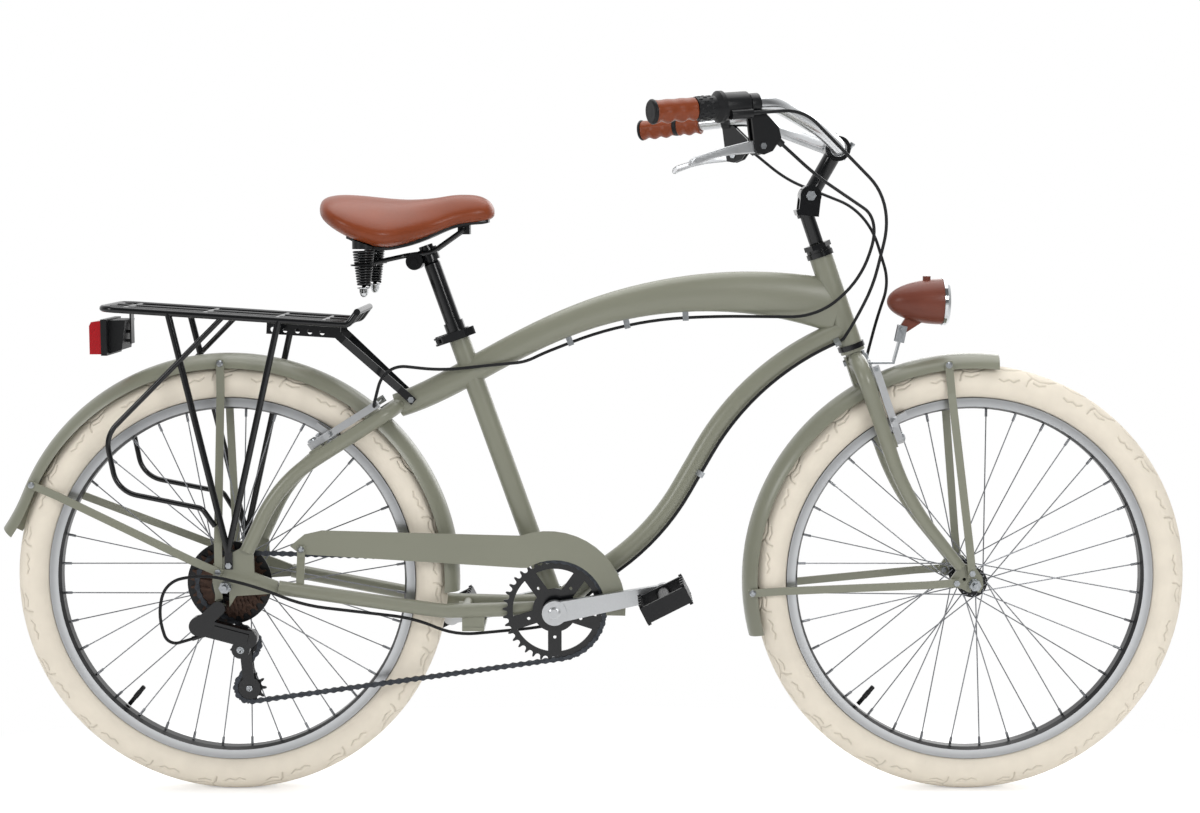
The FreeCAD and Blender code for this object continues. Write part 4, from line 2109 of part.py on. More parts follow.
def brake_frame(brake):
    """Frame on a brake's pivot line: X up the arm, Z away from the frame; and where its Y points."""
    pivot, up, away = brake
    return stand(pivot, away, up), LEFT.dot(away.cross(up))


def brake_arm(name, brake, axle, side):
    """Bowed arm with a bored boss, pad pin and nut, and the pad as a block of its own."""
    pivot, up, away = brake
    place, handed = brake_frame(brake)
    spot = pivot + LEFT * (side * size.brake_pivot_y.value)
    half = size.brake_arm_half
    bow = size.brake_arm_bow
    boss = size.brake_boss_radius
    tip = size.brake_arm_length
    edge = [(-boss - 1, boss * 0.5), (-boss * 0.5, boss), (boss * 2.4, half + 2.5),
            (size.brake_pad_reach * 1.4, bow + half), (tip, bow + half), (tip, bow - half),
            (size.brake_pad_reach * 1.4, bow - half), (boss * 2.4, -half - 1.5), (-boss * 0.5, -boss),
            (-boss - 1, -boss * 0.5)]
    turn = side * handed
    outline = [(rise, out * turn) for rise, out in edge]
    arm_place = shifted(stand(spot, away, up), -(size.brake_arm_thick * 0.5))
    arm = plate(name + "Blade", outline, size.brake_arm_thick, arm_place,
                [(0.0, 0.0, size.brake_stud_radius + size.running_gap)])
    outward = LEFT * side
    face = size.rim_half_width + size.brake_pad_gap
    pad_spot = pivot + up * size.brake_pad_reach.value
    radial = (pad_spot - axle).normalize()
    pad = block(name + "Pad", size.brake_pad_length, size.brake_pad_height, size.brake_pad_thick,
                stand(pad_spot + outward * face.value, outward, LEFT.cross(radial)))
    pin_start = face + size.brake_pad_thick
    pin_end = size.brake_pivot_y + bow + half * 2
    pin_place = stand(pad_spot + outward * pin_start.value, outward, up)
    pin = drum(name + "Pin", size.brake_pin_radius, pin_end - pin_start, pin_place)
    washer = drum(name + "Washer", size.brake_pin_radius * 2, size.brake_pin_radius, pin_place)
    nut = hexagon(name + "Nut", size.brake_pin_radius * 1.8, size.brake_pin_radius,
                  shifted(pin_place, pin_end - pin_start))
    wire_spot = pivot + up * size.brake_wire_rise.value
    wire_hole = drum(name + "WireHole", size.brake_wire_hole, size.brake_pivot_y * 2,
                     stand(wire_spot, outward, up))
    body = cut(name + "Bored", fuse(name + "Whole", arm, pin, washer, nut), wire_hole)
    return node(name, group(name, body, pad))


def brake_caps(name, brake):
    """Bolts that close the ends of a brake's two studs."""
    pivot, up, away = brake
    gap = size.running_gap
    outline = [(0, 0), (size.brake_stud_radius, 0), (size.brake_stud_radius, gap),
               (size.brake_cap_radius, gap), (size.brake_cap_radius, size.brake_cap_height * 0.6),
               (size.brake_cap_radius * 0.6, size.brake_cap_height), (0, size.brake_cap_height)]
    return [turned(f"{name}{side_name}Cap", outline,
                   stand(pivot + LEFT * (side * size.brake_pivot_y.value)
                         + away * (size.brake_arm_thick.value / 2), away, up))
            for side_name, side in SIDES.items()]


for side_name, side_sign in SIDES.items():
    brake_arm(f"rear_{side_name}_brake_arm", REAR_BRAKE, REAR_AXLE, side_sign)
    brake_arm(f"front_{side_name}_brake_arm", FRONT_BRAKE, FRONT_AXLE, side_sign)


# Fenders with their stays, and the chain guard

def round_axle(axle, radius, degrees, across=0.0):
    """Point on a circle about an axle; the angle runs from forward, upwards."""
    angle = math.radians(num(degrees))
    return axle + Vector(math.cos(angle), 0, math.sin(angle)) * num(radius) + LEFT * num(across)


def fender_core(name, axle, start, end, less):
    """Solid ring of the fender's section, less a skin, from one angle to another."""
    ring = make("Part::Torus", name, stand(axle, -LEFT, round_axle(axle, 1, start) - axle),
                Radius1=size.fender_circle, Radius2=size.fender_section - less, Angle3=end - start)
    ring.Angle1 = -180
    ring.Angle2 = 180
    return ring


def fender_arch(name, axle, start, end):
    """Thin arched guard over the tyre, and the solid it is hollowed from."""
    core = fender_core(name + "Core", axle, start, end, 0)
    inner = drum(name + "Inside", size.fender_edge, size.fender_section * 4,
                 wheel_frame(axle - LEFT * (size.fender_section.value * 2)))
    return core, cut(name, core, fender_core(name + "Hollow", axle, start, end, size.fender_sheet), inner)


def fender_tail(axle):
    """Flared end of the rear fender, bent the other way about a point behind the wheel."""
    centre = round_axle(axle, fender_crown + size.tail_bend.value, size.rear_fender_end)
    toward = axle - centre
    place = stand(centre, LEFT, toward)
    rings = []
    for name, less in (("TailCore", 0), ("TailHollow", size.fender_sheet)):
        ring = make("Part::Torus", name, place, Radius1=size.tail_bend + size.fender_section,
                    Radius2=size.fender_section - less, Angle3=size.tail_flare)
        ring.Angle1 = -180
        ring.Angle2 = 180
        rings.append(ring)
    reach = drum("TailReach", size.tail_bend + fender_crown - size.fender_edge, size.fender_section * 4,
                 wheel_frame(centre - LEFT * (size.fender_section.value * 2)))
    kept = doc.addObject("Part::Common", "TailKept")
    kept.Base = cut("Tail", *rings)
    kept.Tool = reach
    return kept


def screw_holes(name, axle, angles):
    """Cross drills through a fender's sides for the stay screws."""
    return [drum(f"{name}Drill{index}", size.bolt_hole, size.fender_section * 4,
                 wheel_frame(round_axle(axle, size.stay_screw_circle, angle, -size.fender_section * 2)))
            for index, angle in enumerate(angles)]


def rear_fender():
    """Rear fender with its flared end and two spacers to the frame."""
    core, arch = fender_arch("RearArch", REAR_AXLE, size.rear_fender_start, size.rear_fender_end)
    shell = cut("RearFenderDrilled", fuse("RearFenderShell", arch, fender_tail(REAR_AXLE)),
                *screw_holes("RearFender", REAR_AXLE, (size.rear_stay_angle, size.rear_tail_angle)))
    pieces = [shell]
    bridge_core = drum("BridgeCore", size.stay_bridge_radius, size.chain_stay_knee_y * 2,
                       wheel_frame(at(size.stay_bridge_x, -size.chain_stay_knee_y, size.chain_stay_knee_z)))
    spots = {"Hoop": (at(size.hoop_x, 0, size.hoop_z), hoop_core),
             "Bridge": (at(size.stay_bridge_x, 0, size.chain_stay_knee_z), bridge_core)}
    for name, (spot, holder) in spots.items():
        run = (spot - REAR_AXLE).normalize()
        start = REAR_AXLE + run * (fender_crown - size.fender_sheet.value * 3)
        spacer = drum(name + "Spacer", size.fender_boss, (spot - start).Length, stand(start, run))
        ring = fender_core(name + "SpacerSeat", REAR_AXLE, as_size(-30), as_size(180), 0)
        pieces.append(cut(name + "SpacerFitted", spacer, ring, holder))
    return node("rear_fender", group("rear_fender", *pieces))


def flat_stay(name, start, end, start_y, end_y, straight, side):
    """Flat bar between two bolts: straight at both, it leans from one distance in Y to the other."""
    run = (end - start).normalize()
    outward = LEFT * side
    overhang = size.stay_wide.value / 2
    length = (end - start).Length
    outline = ribbon([(-overhang, num(start_y)), (num(straight), num(start_y)),
                      (length - num(straight), num(end_y)), (length + overhang, num(end_y))],
                     size.stay_thick.value)
    place = shifted(stand(start, run.cross(outward), run), -(size.stay_wide / 2))
    bar = plate(name, outline, size.stay_wide, place)
    reach = max(num(start_y), num(end_y)) + size.stay_wide
    holes = [drum(f"{name}Hole{index}", size.bolt_hole, reach, stand(spot, outward))
             for index, spot in enumerate((start, end))]
    return cut(name + "Drilled", bar, *holes)


def fender_stay(name, axle, angle, foot, foot_y, side):
    """Stay that rises straight from its bolt, then leans in to the fender's flank."""
    start = axle + Vector(num(foot[0]), 0, num(foot[1]))
    end = round_axle(axle, size.stay_screw_circle, angle)
    return flat_stay(name, start, end, foot_y, size.fender_section, size.stay_rise, side)


FRONT_FEET = {"Front": ((size.fork_upper_bolt_x, size.fork_upper_bolt_rise), size.front_stay_angle),
              "Tail": ((size.fork_lower_bolt_x, size.fork_lower_bolt_rise), size.front_tail_angle)}
front_stay_y = size.front_stay_y
fork_face = size.front_locknut_reach + size.fork_end_thick
rear_face = size.rear_locknut_reach + size.dropout_thick
rear_stay_y = rear_face + size.stay_thick / 2


def front_fender():
    """Front fender with the tab that hangs it from the fork crown's bolt."""
    core, arch = fender_arch("FrontArch", FRONT_AXLE, size.front_fender_start, size.front_fender_end)
    shell = cut("FrontFenderDrilled", arch,
                *screw_holes("FrontFender", FRONT_AXLE, (size.front_stay_angle, size.front_tail_angle)))
    tab_back = -(size.blade_radius + size.lamp_bracket_thick)
    tab_root = on_steer(crown_drop - size.blade_radius.value * 0.7, tab_back)
    tab_place = stand(tab_root, STEER_FORWARD, STEER_DOWN)
    tab_length = as_size(fender_crown / 7)
    tab = block("CrownTab", tab_length, size.stay_wide * 1.4, size.lamp_bracket_thick - size.fit_gap,
                tab_place * FreeCAD.Placement(Vector(tab_length.value / 2, 0, 0), FreeCAD.Rotation()))
    bolt_hole = drum("TabHole", size.crown_bolt + size.fit_gap, size.blade_radius * 2,
                     stand(on_steer(crown_drop, -size.blade_radius * 2), STEER_FORWARD))
    return node("front_fender", group("front_fender", shell, cut("CrownTabFitted", tab, bolt_hole, core)))


def front_fender_stays():
    """Two stays a side, held off the fork ends by sleeves on their bolts."""
    pieces = []
    for name, side in SIDES.items():
        for foot_name, (foot, angle) in FRONT_FEET.items():
            label = f"{name}{foot_name}Stay"
            pieces.append(fender_stay(label, FRONT_AXLE, angle, foot, front_stay_y, side))
            spot = FRONT_AXLE + Vector(num(foot[0]), fork_face.value * side, num(foot[1]))
            reach = front_stay_y - size.stay_thick / 2 - fork_face
            pieces.append(drum(label + "Sleeve", size.bolt_head, reach, stand(spot, LEFT * side),
                               size.bolt_hole))
    return node("front_fender_stays", group("front_fender_stays", *pieces))


def rear_fender_stays():
    """Two stays a side on one bolt of each dropout."""
    pieces = []
    for name, side in SIDES.items():
        foot = (size.stay_bolt_x, size.stay_bolt_rise)
        for layer, (foot_name, angle) in enumerate((("Top", size.rear_stay_angle),
                                                    ("Tail", size.rear_tail_angle))):
            pieces.append(fender_stay(f"{name}Rear{foot_name}Stay", REAR_AXLE, angle, foot,
                                      rear_stay_y + size.stay_thick * layer, side))
    return node("rear_fender_stays", group("rear_fender_stays", *pieces))


GUARD_WING = [(447.9, 359), (110.9, 380.3), (95.7, 392.6), (118, 411), (144.6, 417)]
GUARD_TURN = (110, -6)
GUARD_RETURN = (-5, 122)
GUARD_STEP = 8


def arc_points(centre_x, centre_z, radius, turn):
    """Points along an arc in the side view, from one angle to another."""
    steps = max(2, round(abs(turn[1] - turn[0]) / GUARD_STEP))
    angles = [math.radians(turn[0] + (turn[1] - turn[0]) * index / steps) for index in range(steps + 1)]
    return [(centre_x + radius * math.cos(angle), centre_z + radius * math.sin(angle)) for angle in angles]


def chain_guard():
    """Plate that covers the chain's upper run, with its rear post and its stud to the seat tube."""
    outline = GUARD_WING + arc_points(size.guard_centre_x.value, size.guard_centre_z.value,
                                      size.guard_outer.value, GUARD_TURN)
    outline += arc_points(size.crank_x.value, size.crank_z.value, size.guard_inner.value, GUARD_RETURN)
    outer = size.guard_y + size.guard_thick
    place = stand(at(0, -size.guard_y, 0), -LEFT, X_AXIS)
    sheet_plate = plate("GuardPlate", outline, size.guard_thick, place,
                        [(size.guard_post_x, size.guard_post_z, size.bolt_hole)])
    share = (size.guard_post_x.value - size.chain_stay_foot_x.value) / (
        size.chain_stay_knee_x.value - size.chain_stay_foot_x.value)
    stay_fall = size.chain_stay_foot_z.value - size.chain_stay_knee_z.value
    stay_z = size.chain_stay_foot_z.value - share * stay_fall
    stay_y = size.stay_foot_y.value + share * (size.chain_stay_knee_y.value - size.stay_foot_y.value)
    half = size.stay_thick.value / 2
    post_line = ribbon([(stay_z, -stay_y + half), (stay_z + size.stay_radius.value * 1.6, -stay_y + half),
                        (size.guard_post_z.value - size.stay_wide.value, -outer.value - half),
                        (size.guard_post_z.value + size.stay_wide.value / 2, -outer.value - half)],
                       size.stay_thick.value)
    post_place = shifted(stand(at(size.guard_post_x, 0, 0), -X_AXIS, UP), -(size.stay_wide / 2))
    post = plate("GuardPost", post_line, size.stay_wide, post_place)
    hole = drum("GuardPostHole", size.bolt_hole, size.guard_y * 2,
                stand(at(size.guard_post_x, 0, size.guard_post_z), -LEFT))
    stay_core = doc.getObject("rightChainStayCore")
    stud_spot = CRANK_AXLE + SEAT_UP * size.guard_stud_rise.value
    stud = drum("GuardStud", size.guard_stud, size.guard_y, stand(stud_spot, -LEFT))
    return node("chain_guard", group("chain_guard", sheet_plate,
                                     cut("GuardPostFitted", post, hole, stay_core),
                                     cut("GuardStudFitted", stud, seat_core)))


rear_fender()
front_fender()
front_fender_stays()
rear_fender_stays()
chain_guard()


# Rear rack and tail light

def deck(x, across, drop=0.0):
    """Point of the rack's sloping deck at a distance ahead of the rear axle."""
    slope = (size.rack_front_z.value - size.rack_tail_z.value) / (
        size.rack_front_x.value - size.rack_tail_x.value)
    return at(x, across, size.rack_tail_z.value + slope * (num(x) - size.rack_tail_x.value) - num(drop))


LOOP_CORNERS = [(-174, 566), (-158, 482), (-31, 456), (-13, 428)]
LOOP_BENDS = [44, 44, 14]
DECK_RIBS = (-150, -30, 80, 150)
BRACKET_HOLES = 6


def rack_side(name, side):
    """Two legs, the guard loop and the foot on one side of the rack."""
    tube = size.rack_tube
    leg_y = size.rack_leg_y * side
    foot_spot = REAR_AXLE + Vector(size.rack_bolt_x.value, 0, size.rack_bolt_rise.value)
    foot_end = Vector(foot_spot.x, num(leg_y), size.rack_leg_end.value)
    pieces = [rod(f"{name}Leg{index}", [deck(x, size.rack_half_width * side), foot_end], 0, tube)
              for index, x in enumerate((size.rear_leg_x, size.front_leg_x))]
    loop_y = size.loop_y * side
    corners = [deck(4.7, size.rack_half_width * side)]
    corners += [at(x, loop_y, z) for x, z in LOOP_CORNERS[:-1]]
    corners.append(at(LOOP_CORNERS[-1][0], leg_y, LOOP_CORNERS[-1][1]))
    pieces.append(rod(name + "Loop", corners, LOOP_BENDS, tube * 0.8))
    foot_low = foot_spot - UP * (size.stay_wide.value / 2)
    inner = (rear_face + size.fit_gap + size.rack_foot_thick / 2).value * side
    foot = strip(name + "Foot", foot_low + LEFT * inner,
                 foot_end + LEFT * (inner - num(leg_y)) + UP * tube.value, size.stay_wide,
                 size.rack_foot_thick)
    hole = drum(name + "FootHole", size.bolt_hole, size.rack_leg_y * 2, stand(foot_spot, LEFT * side))
    pieces.append(cut(name + "FootDrilled", foot, hole))
    return pieces


def rack_bracket(name, side):
    """Perforated plate under the deck and the strut from it to the frame."""
    y = size.rack_bracket_y * side
    start = deck(size.rack_bracket_start, y, size.rack_bracket_high / 2)
    end = deck(size.rack_bracket_end, y, size.rack_bracket_high / 2)
    bar = strip(name + "Bracket", start, end, size.rack_bracket_high, size.stay_thick)
    run = end - start
    holes = [drum(f"{name}BracketHole{index}", size.bolt_hole * 1.4, size.stay_wide,
                  wheel_frame(start + run * ((index + 0.5) / BRACKET_HOLES)
                              - UP * size.bolt_head.value - LEFT * (size.stay_wide.value / 2)))
             for index in range(BRACKET_HOLES)]
    strut_top = start + run * ((BRACKET_HOLES - 0.7) / BRACKET_HOLES)
    strut = flat_stay(name + "Strut", at(size.strut_x, 0, STRUT_Z), Vector(strut_top.x, 0, strut_top.z),
                      size.strut_y + size.stay_thick / 2, size.rack_bracket_y, size.stay_wide * 2, side)
    return [cut(name + "BracketDrilled", bar, *holes), strut]


STRUT_Z = size.hoop_z.value + (size.strut_x.value - size.hoop_x.value) * math.tan(
    math.radians(size.top_tube_rise.value))


def rear_rack():
    """Welded carrier: rails with an upturned front, deck rods, legs, loops, brackets and struts."""
    half = size.rack_half_width
    front = [deck(size.rack_hook_x, -half, -size.rack_hook_rise), deck(size.rack_front_x, -half)]
    tail = [deck(size.rack_tail_x, -half), deck(size.rack_tail_x, half)]
    back = [deck(size.rack_front_x, half), deck(size.rack_hook_x, half, -size.rack_hook_rise)]
    bends = [size.rack_bend.value / 2, size.rack_bend.value, size.rack_bend.value, size.rack_bend.value / 2]
    overhang = LEFT * size.rack_tube.value
    pieces = [rod("RackRails", front + tail + back, bends, size.rack_tube),
              rod("RackHook", [front[0] - overhang, back[1] + overhang], 0, size.rack_tube)]
    for index, x in enumerate(DECK_RIBS):
        pieces.append(rod(f"RackRib{index}", [deck(x, -half), deck(x, half)], 0, size.rack_rod))
    for index, y in enumerate((-size.rack_inner_y, size.rack_inner_y)):
        pieces.append(rod(f"RackRod{index}", [deck(size.rack_tail_x, y), deck(size.rack_front_x, y),
                                              deck(size.rack_hook_x, y, -size.rack_hook_rise)],
                          size.rack_bend.value / 2, size.rack_rod))
    for name, side in SIDES.items():
        pieces += rack_side(name + "Rack", side)
        pieces += rack_bracket(name + "Rack", side)
    tab_top = deck(DECK_RIBS[0], 0)
    tab = strip("TailTab", tab_top, Vector(tab_top.x, 0, size.tail_lamp_low.value + 14),
                size.tail_tab_wide, size.stay_thick, X_AXIS)
    pieces.append(tab)
    return node("rear_rack", fuse("rear_rack", *pieces))


def tail_light():
    """Red lens in a dark frame on a tapered housing, screwed to the rack's tab."""
    low = size.tail_lamp_low
    top = size.tail_lamp_top
    rear = size.tail_lamp_rear
    face = size.tail_lamp_frame
    back = size.tail_lamp_back
    end = size.tail_lamp_end
    lens = side_plate("tail_light_lens", [(rear, low), (face, low), (face, top), (rear + 3, top - 2),
                                          (rear, top - 8)], size.tail_lamp_wide)
    node("tail_light_lens", lens)
    frame_plate = side_plate("TailFrame", [(face, low - 2), (back, low - 2), (back, top + 2),
                                           (face, top + 2)], size.tail_lamp_wide + 4)
    case = side_plate("TailCase", [(back, low), (end - 6, low + 6), (end, top), (back, top)],
                      size.tail_lamp_wide * 0.7)
    screws = []
    for index, rise in enumerate((18, 32)):
        start = at(end - 5, 0, low + rise)
        tab_face = rear_x + DECK_RIBS[0] - size.stay_thick.value / 2
        shank = drum(f"TailStud{index}", size.bolt_radius, tab_face - start.x, stand(start, X_AXIS))
        screws.append(shank)
    housing = fuse("TailCaseWhole", case, *screws)
    return node("tail_light_housing", group("tail_light_housing", frame_plate, housing))


rear_rack()
tail_light()


# Seat post, its clamp and the sprung saddle

def on_post(rise, ahead=0.0, across=0.0):
    """Point given up the seat post from the seat tube's top, ahead of it and to the left."""
    return SEAT_TOP + SEAT_UP * num(rise) + SEAT_AHEAD * num(ahead) + LEFT * num(across)


SEAT_AHEAD = Vector(SEAT_UP.z, 0, -SEAT_UP.x)


def seat_post():
    """Plain post with a narrower neck for the saddle's clamp."""
    outline = [(0, -size.post_depth), (size.seat_post_radius, -size.post_depth),
               (size.seat_post_radius, size.post_shoulder), (size.post_neck, size.post_shoulder + 3),
               (size.post_neck, size.post_top), (0, size.post_top)]
    return node("seat_post", turned("seat_post", outline, stand(SEAT_TOP, SEAT_UP, SEAT_AHEAD)))


def seat_clamp():
    """Split collar round the seat tube, ferrule on its mouth, and the cam's skewer."""
    place = stand(SEAT_TOP, SEAT_UP, SEAT_AHEAD)
    ring_place = shifted(place, -size.collar_grip)
    ring = drum("CollarRing", size.collar_outer, size.collar_grip, ring_place)
    ear_width = size.clamp_slit + size.clamp_ear_thick * 2
    ears = block("CollarEars", size.clamp_ear_reach, ear_width, size.collar_grip,
                 ring_place * FreeCAD.Placement(Vector(-size.clamp_ear_reach.value / 2, 0, 0),
                                                FreeCAD.Rotation()))
    bore = drum("CollarBore", size.seat_tube_radius + size.fit_gap, size.collar_grip, ring_place)
    slit = block("CollarSlit", size.clamp_ear_reach * 2, size.clamp_slit, size.collar_grip,
                 ring_place * FreeCAD.Placement(Vector(-size.clamp_ear_reach.value, 0, 0),
                                                FreeCAD.Rotation()))
    middle = -size.collar_grip.value / 2
    skewer_start = on_post(middle, -size.cam_back, -size.cam_aside)
    skewer_hole = drum("SkewerHole", size.skewer_radius + size.fit_gap, size.cam_aside * 2,
                       stand(skewer_start, LEFT))
    collar = cut("CollarSplit", fuse("CollarWhole", ring, ears), bore, slit, skewer_hole)
    ferrule = drum("Ferrule", size.ferrule_radius, size.ferrule_height, place,
                   size.seat_post_radius + size.fit_gap)
    nut_y = size.clamp_slit / 2 + size.clamp_ear_thick
    rod_length = size.cam_aside + nut_y
    skewer = drum("Skewer", size.skewer_radius, rod_length, stand(skewer_start, LEFT))
    nut = drum("SkewerNut", size.cam_eye, size.cam_eye,
               stand(on_post(middle, -size.cam_back, nut_y), LEFT))
    eye = drum("SkewerEye", size.cam_eye, size.cam_slot - size.running_gap * 2,
               stand(on_post(middle - size.cam_slot.value / 2 + size.running_gap.value, -size.cam_back,
                             -size.cam_aside), SEAT_UP))
    pin = drum("CamPin", size.cam_pin, size.cam_lever_thick,
               stand(on_post(middle - size.cam_lever_thick.value / 2, -size.cam_back, -size.cam_aside),
                     SEAT_UP))
    return node("seat_clamp", group("seat_clamp", collar, ferrule,
                                    fuse("SkewerWhole", skewer, nut, eye, pin)))


def seat_clamp_lever():
    """Cam lever forked round the skewer's eye, lying along the right of the collar."""
    low = -(size.collar_grip.value + size.cam_lever_thick.value) / 2
    place = stand(on_post(low), SEAT_UP, SEAT_AHEAD)
    back = -size.cam_back
    aside = -size.cam_aside
    hub = size.cam_hub
    near = -size.collar_outer - 1
    tip = size.cam_lever_reach
    outline = [(back - hub, aside), (back - hub * 0.7, aside - hub * 0.7), (back + hub, near - 7),
               (tip * 0.5, near - 7.5), (tip, near - 5), (tip + 2, near - 2), (tip, near),
               (back + hub + 4, near), (back + hub, aside), (back + hub * 0.7, aside + hub * 0.7),
               (back, aside + hub), (back - hub * 0.7, aside + hub * 0.7)]
    blade = plate("CamBlade", outline, size.cam_lever_thick, place,
                  [(back, aside, size.cam_pin + size.running_gap)])
    slot = drum("CamSlot", size.cam_hub * 1.6, size.cam_slot,
                stand(on_post(-(size.collar_grip + size.cam_slot) / 2, -size.cam_back, -size.cam_aside),
                      SEAT_UP))
    return node("seat_clamp_lever", cut("seat_clamp_lever", blade, slot))


RAIL_LINE = [(314, 840), (271, 834), (216, 822)]


def rail_points(side):
    """One saddle rail from the nose, down past the post and back to the spring's eye."""
    points = [at(size.nose_bar_x, size.rail_y * side, size.nose_bar_z)]
    points += [at(x, size.rail_y * side, z) for x, z in RAIL_LINE[:-1]]
    points.append(at(RAIL_LINE[-1][0], (size.spring_y - size.spring_eye_rim) * side, RAIL_LINE[-1][1]))
    return points


def saddle_rails():
    """Rails joined by a bar at the nose, ending in the springs' eyes, and their clamp on the post."""
    rails = []
    welded = [drum("NoseBar", size.rail_radius, size.rail_y * 2,
                   wheel_frame(at(size.nose_bar_x, -size.rail_y, size.nose_bar_z)))]
    holes = []
    for name, side in SIDES.items():
        rails.append(rod(name + "Rail", rail_points(side), size.rail_bend.value, size.rail_radius))
        eye_place = stand(at(size.spring_x, size.spring_y * side,
                             size.spring_waist - size.spring_eye_thick / 2))
        welded.append(drum(name + "SpringEye", size.spring_eye_rim, size.spring_eye_thick, eye_place))
        holes.append(drum(name + "SpringEyeHole", size.spring_eye, size.rail_radius * 8,
                          shifted(eye_place, -(size.rail_radius * 4))))
    frame_bars = cut("RailsBored", fuse("RailsWhole", *rails, *welded), *holes)
    spot = at(size.saddle_drum_x, 0, size.saddle_drum_z)
    barrel = drum("SaddleDrum", size.saddle_drum, size.saddle_drum_half * 2,
                  wheel_frame(spot - LEFT * size.saddle_drum_half.value))
    sleeve_place = stand(on_post(size.post_shoulder + 5), SEAT_UP, SEAT_AHEAD)
    sleeve = drum("SaddleSleeve", size.post_neck + 4, size.post_top - size.post_shoulder - 10, sleeve_place)
    bolt = drum("SaddleBolt", size.bolt_head, size.saddle_drum_half * 2 + 8,
                wheel_frame(spot - LEFT * (size.saddle_drum_half.value + 4)))
    bore = drum("SaddleSleeveBore", size.post_neck + size.fit_gap, size.post_top, sleeve_place)
    clamp = cut("SaddleClamp", fuse("SaddleClampWhole", barrel, sleeve, bolt), bore, *rails)
    return node("saddle_rails", group("saddle_rails", frame_bars, clamp))


def biarc(start, start_run, end, end_run):
    """Two tangent arcs from one point and heading to another."""
    span = end - start
    both = start_run + end_run
    spread = 2 * (1 - start_run.dot(end_run))
    lean = span.dot(both)
    reach = (-lean + math.sqrt(lean * lean + spread * span.dot(span))) / spread
    joint = (start + end + (start_run - end_run) * reach) / 2
    return [tangent_arc(start, start_run, joint), tangent_arc(end, -end_run, joint, True)]


def tangent_arc(start, run, end, backwards=False):
    """Arc that leaves a point along a heading and reaches another point."""
    span = end - start
    aside = span - run * span.dot(run)
    aside = aside.normalize()
    radius = span.dot(span) / (2 * aside.dot(span))
    centre = start + aside * radius
    crest = centre + ((start + end) / 2 - centre).normalize() * radius
    points = (end, crest, start) if backwards else (start, crest, end)
    return Part.Arc(*points).toShape()


def spring_radius(height):
    """Radius of the spring's coil at a height: wide at the top, narrow at the foot."""
    waist = size.spring_waist.value
    if height > waist:
        share = (height - waist) / (size.spring_high.value - waist)
        return size.spring_waist_radius.value + share * (
            size.spring_top_radius.value - size.spring_waist_radius.value)
    share = (waist - height) / (waist - size.spring_low.value)
    return size.spring_waist_radius.value + share * (
        size.spring_foot_radius.value - size.spring_waist_radius.value)


QUARTERS = 4
TURN_MARGIN = 0.6


def spring(name, side):
    """One unbroken coil of round wire, wound on a shape with a narrow foot."""
    wire = size.spring_wire.value
    low = size.spring_low.value + wire + TURN_MARGIN
    high = size.spring_high.value - wire - TURN_MARGIN
    pitch = size.spring_pitch.value
    count = int((high - low) / pitch * QUARTERS)
    centre = at(size.spring_x, size.spring_y * side, 0)
    quarter_turn = 2 * math.pi / QUARTERS

    def spot(step):
        height = low + pitch * step / QUARTERS
        angle = quarter_turn * step
        radius = spring_radius(height)
        return centre + Vector(radius * math.cos(angle), radius * math.sin(angle), height)

    nudge = 0.001
    runs = [(spot(step + nudge) - spot(step - nudge)).normalize() for step in range(count + 1)]
    edges = []
    for step in range(count):
        edges += biarc(spot(step), runs[step], spot(step + 1), runs[step + 1])
    path = Part.Wire(edges)
    circle = Part.Wire(Part.Circle(spot(0), runs[0], wire).toShape())
    samples = [[edge.valueAt(edge.FirstParameter + (edge.LastParameter - edge.FirstParameter) * share)
                for share in (0, 0.5)] for edge in edges]
    line = [point for pair in samples for point in pair]
    apart = 3 * QUARTERS
    least = min(first.distanceToPoint(second) for index, first in enumerate(line)
                for second in line[index + apart:])
    print(name, "least gap between curls", round(least - 2 * wire, 2))
    return shaped(name, path.makePipeShell([circle], True, False))


def saddle_springs():
    """Two coil springs on centre bolts, with washers and acorn nuts."""
    pieces = []
    for name, side in SIDES.items():
        place = stand(at(size.spring_x, size.spring_y * side, size.spring_low))
        thick = size.spring_washer_thick
        foot = size.spring_foot_radius + size.spring_wire
        high = size.spring_high - size.spring_low
        drop = size.acorn_height
        acorn = [(0, -thick - drop), (size.acorn_radius * 0.5, -thick - drop * 0.9),
                 (size.acorn_radius, -thick - drop * 0.5), (size.acorn_radius, -thick),
                 (foot, -thick), (foot, 0), (size.spring_bolt, 0), (size.spring_bolt, high), (0, high)]
        pieces += [spring(name + "Spring", side), turned(name + "SpringBolt", acorn, place)]
    return node("saddle_springs", group("saddle_springs", *pieces))


# Saddle sections from tail to nose: x, half width, lower edge, greatest width, shoulder, crown
SADDLE_SECTIONS = [(146, 38, 897, 905, 913, 918), (156, 70, 886, 900, 915, 924),
                   (176, 92, 872, 890, 912, 927), (206, 104, 858, 878, 904, 926),
                   (246, 104, 848, 868, 896, 922), (280, 84, 854, 871, 897, 920),
                   (315, 56, 867, 880, 902, 922), (350, 42, 881, 893, 912, 927),
                   (382, 36, 886, 899, 916, 926), (400, 28, 889, 900, 912, 918),
                   (408, 14, 895, 900, 904, 907)]
PAN_TAIL = (190, 97, 865.5)
PAN_SHARE = 0.9
DRAWN_IN = 0.8
SHOULDER = 0.72


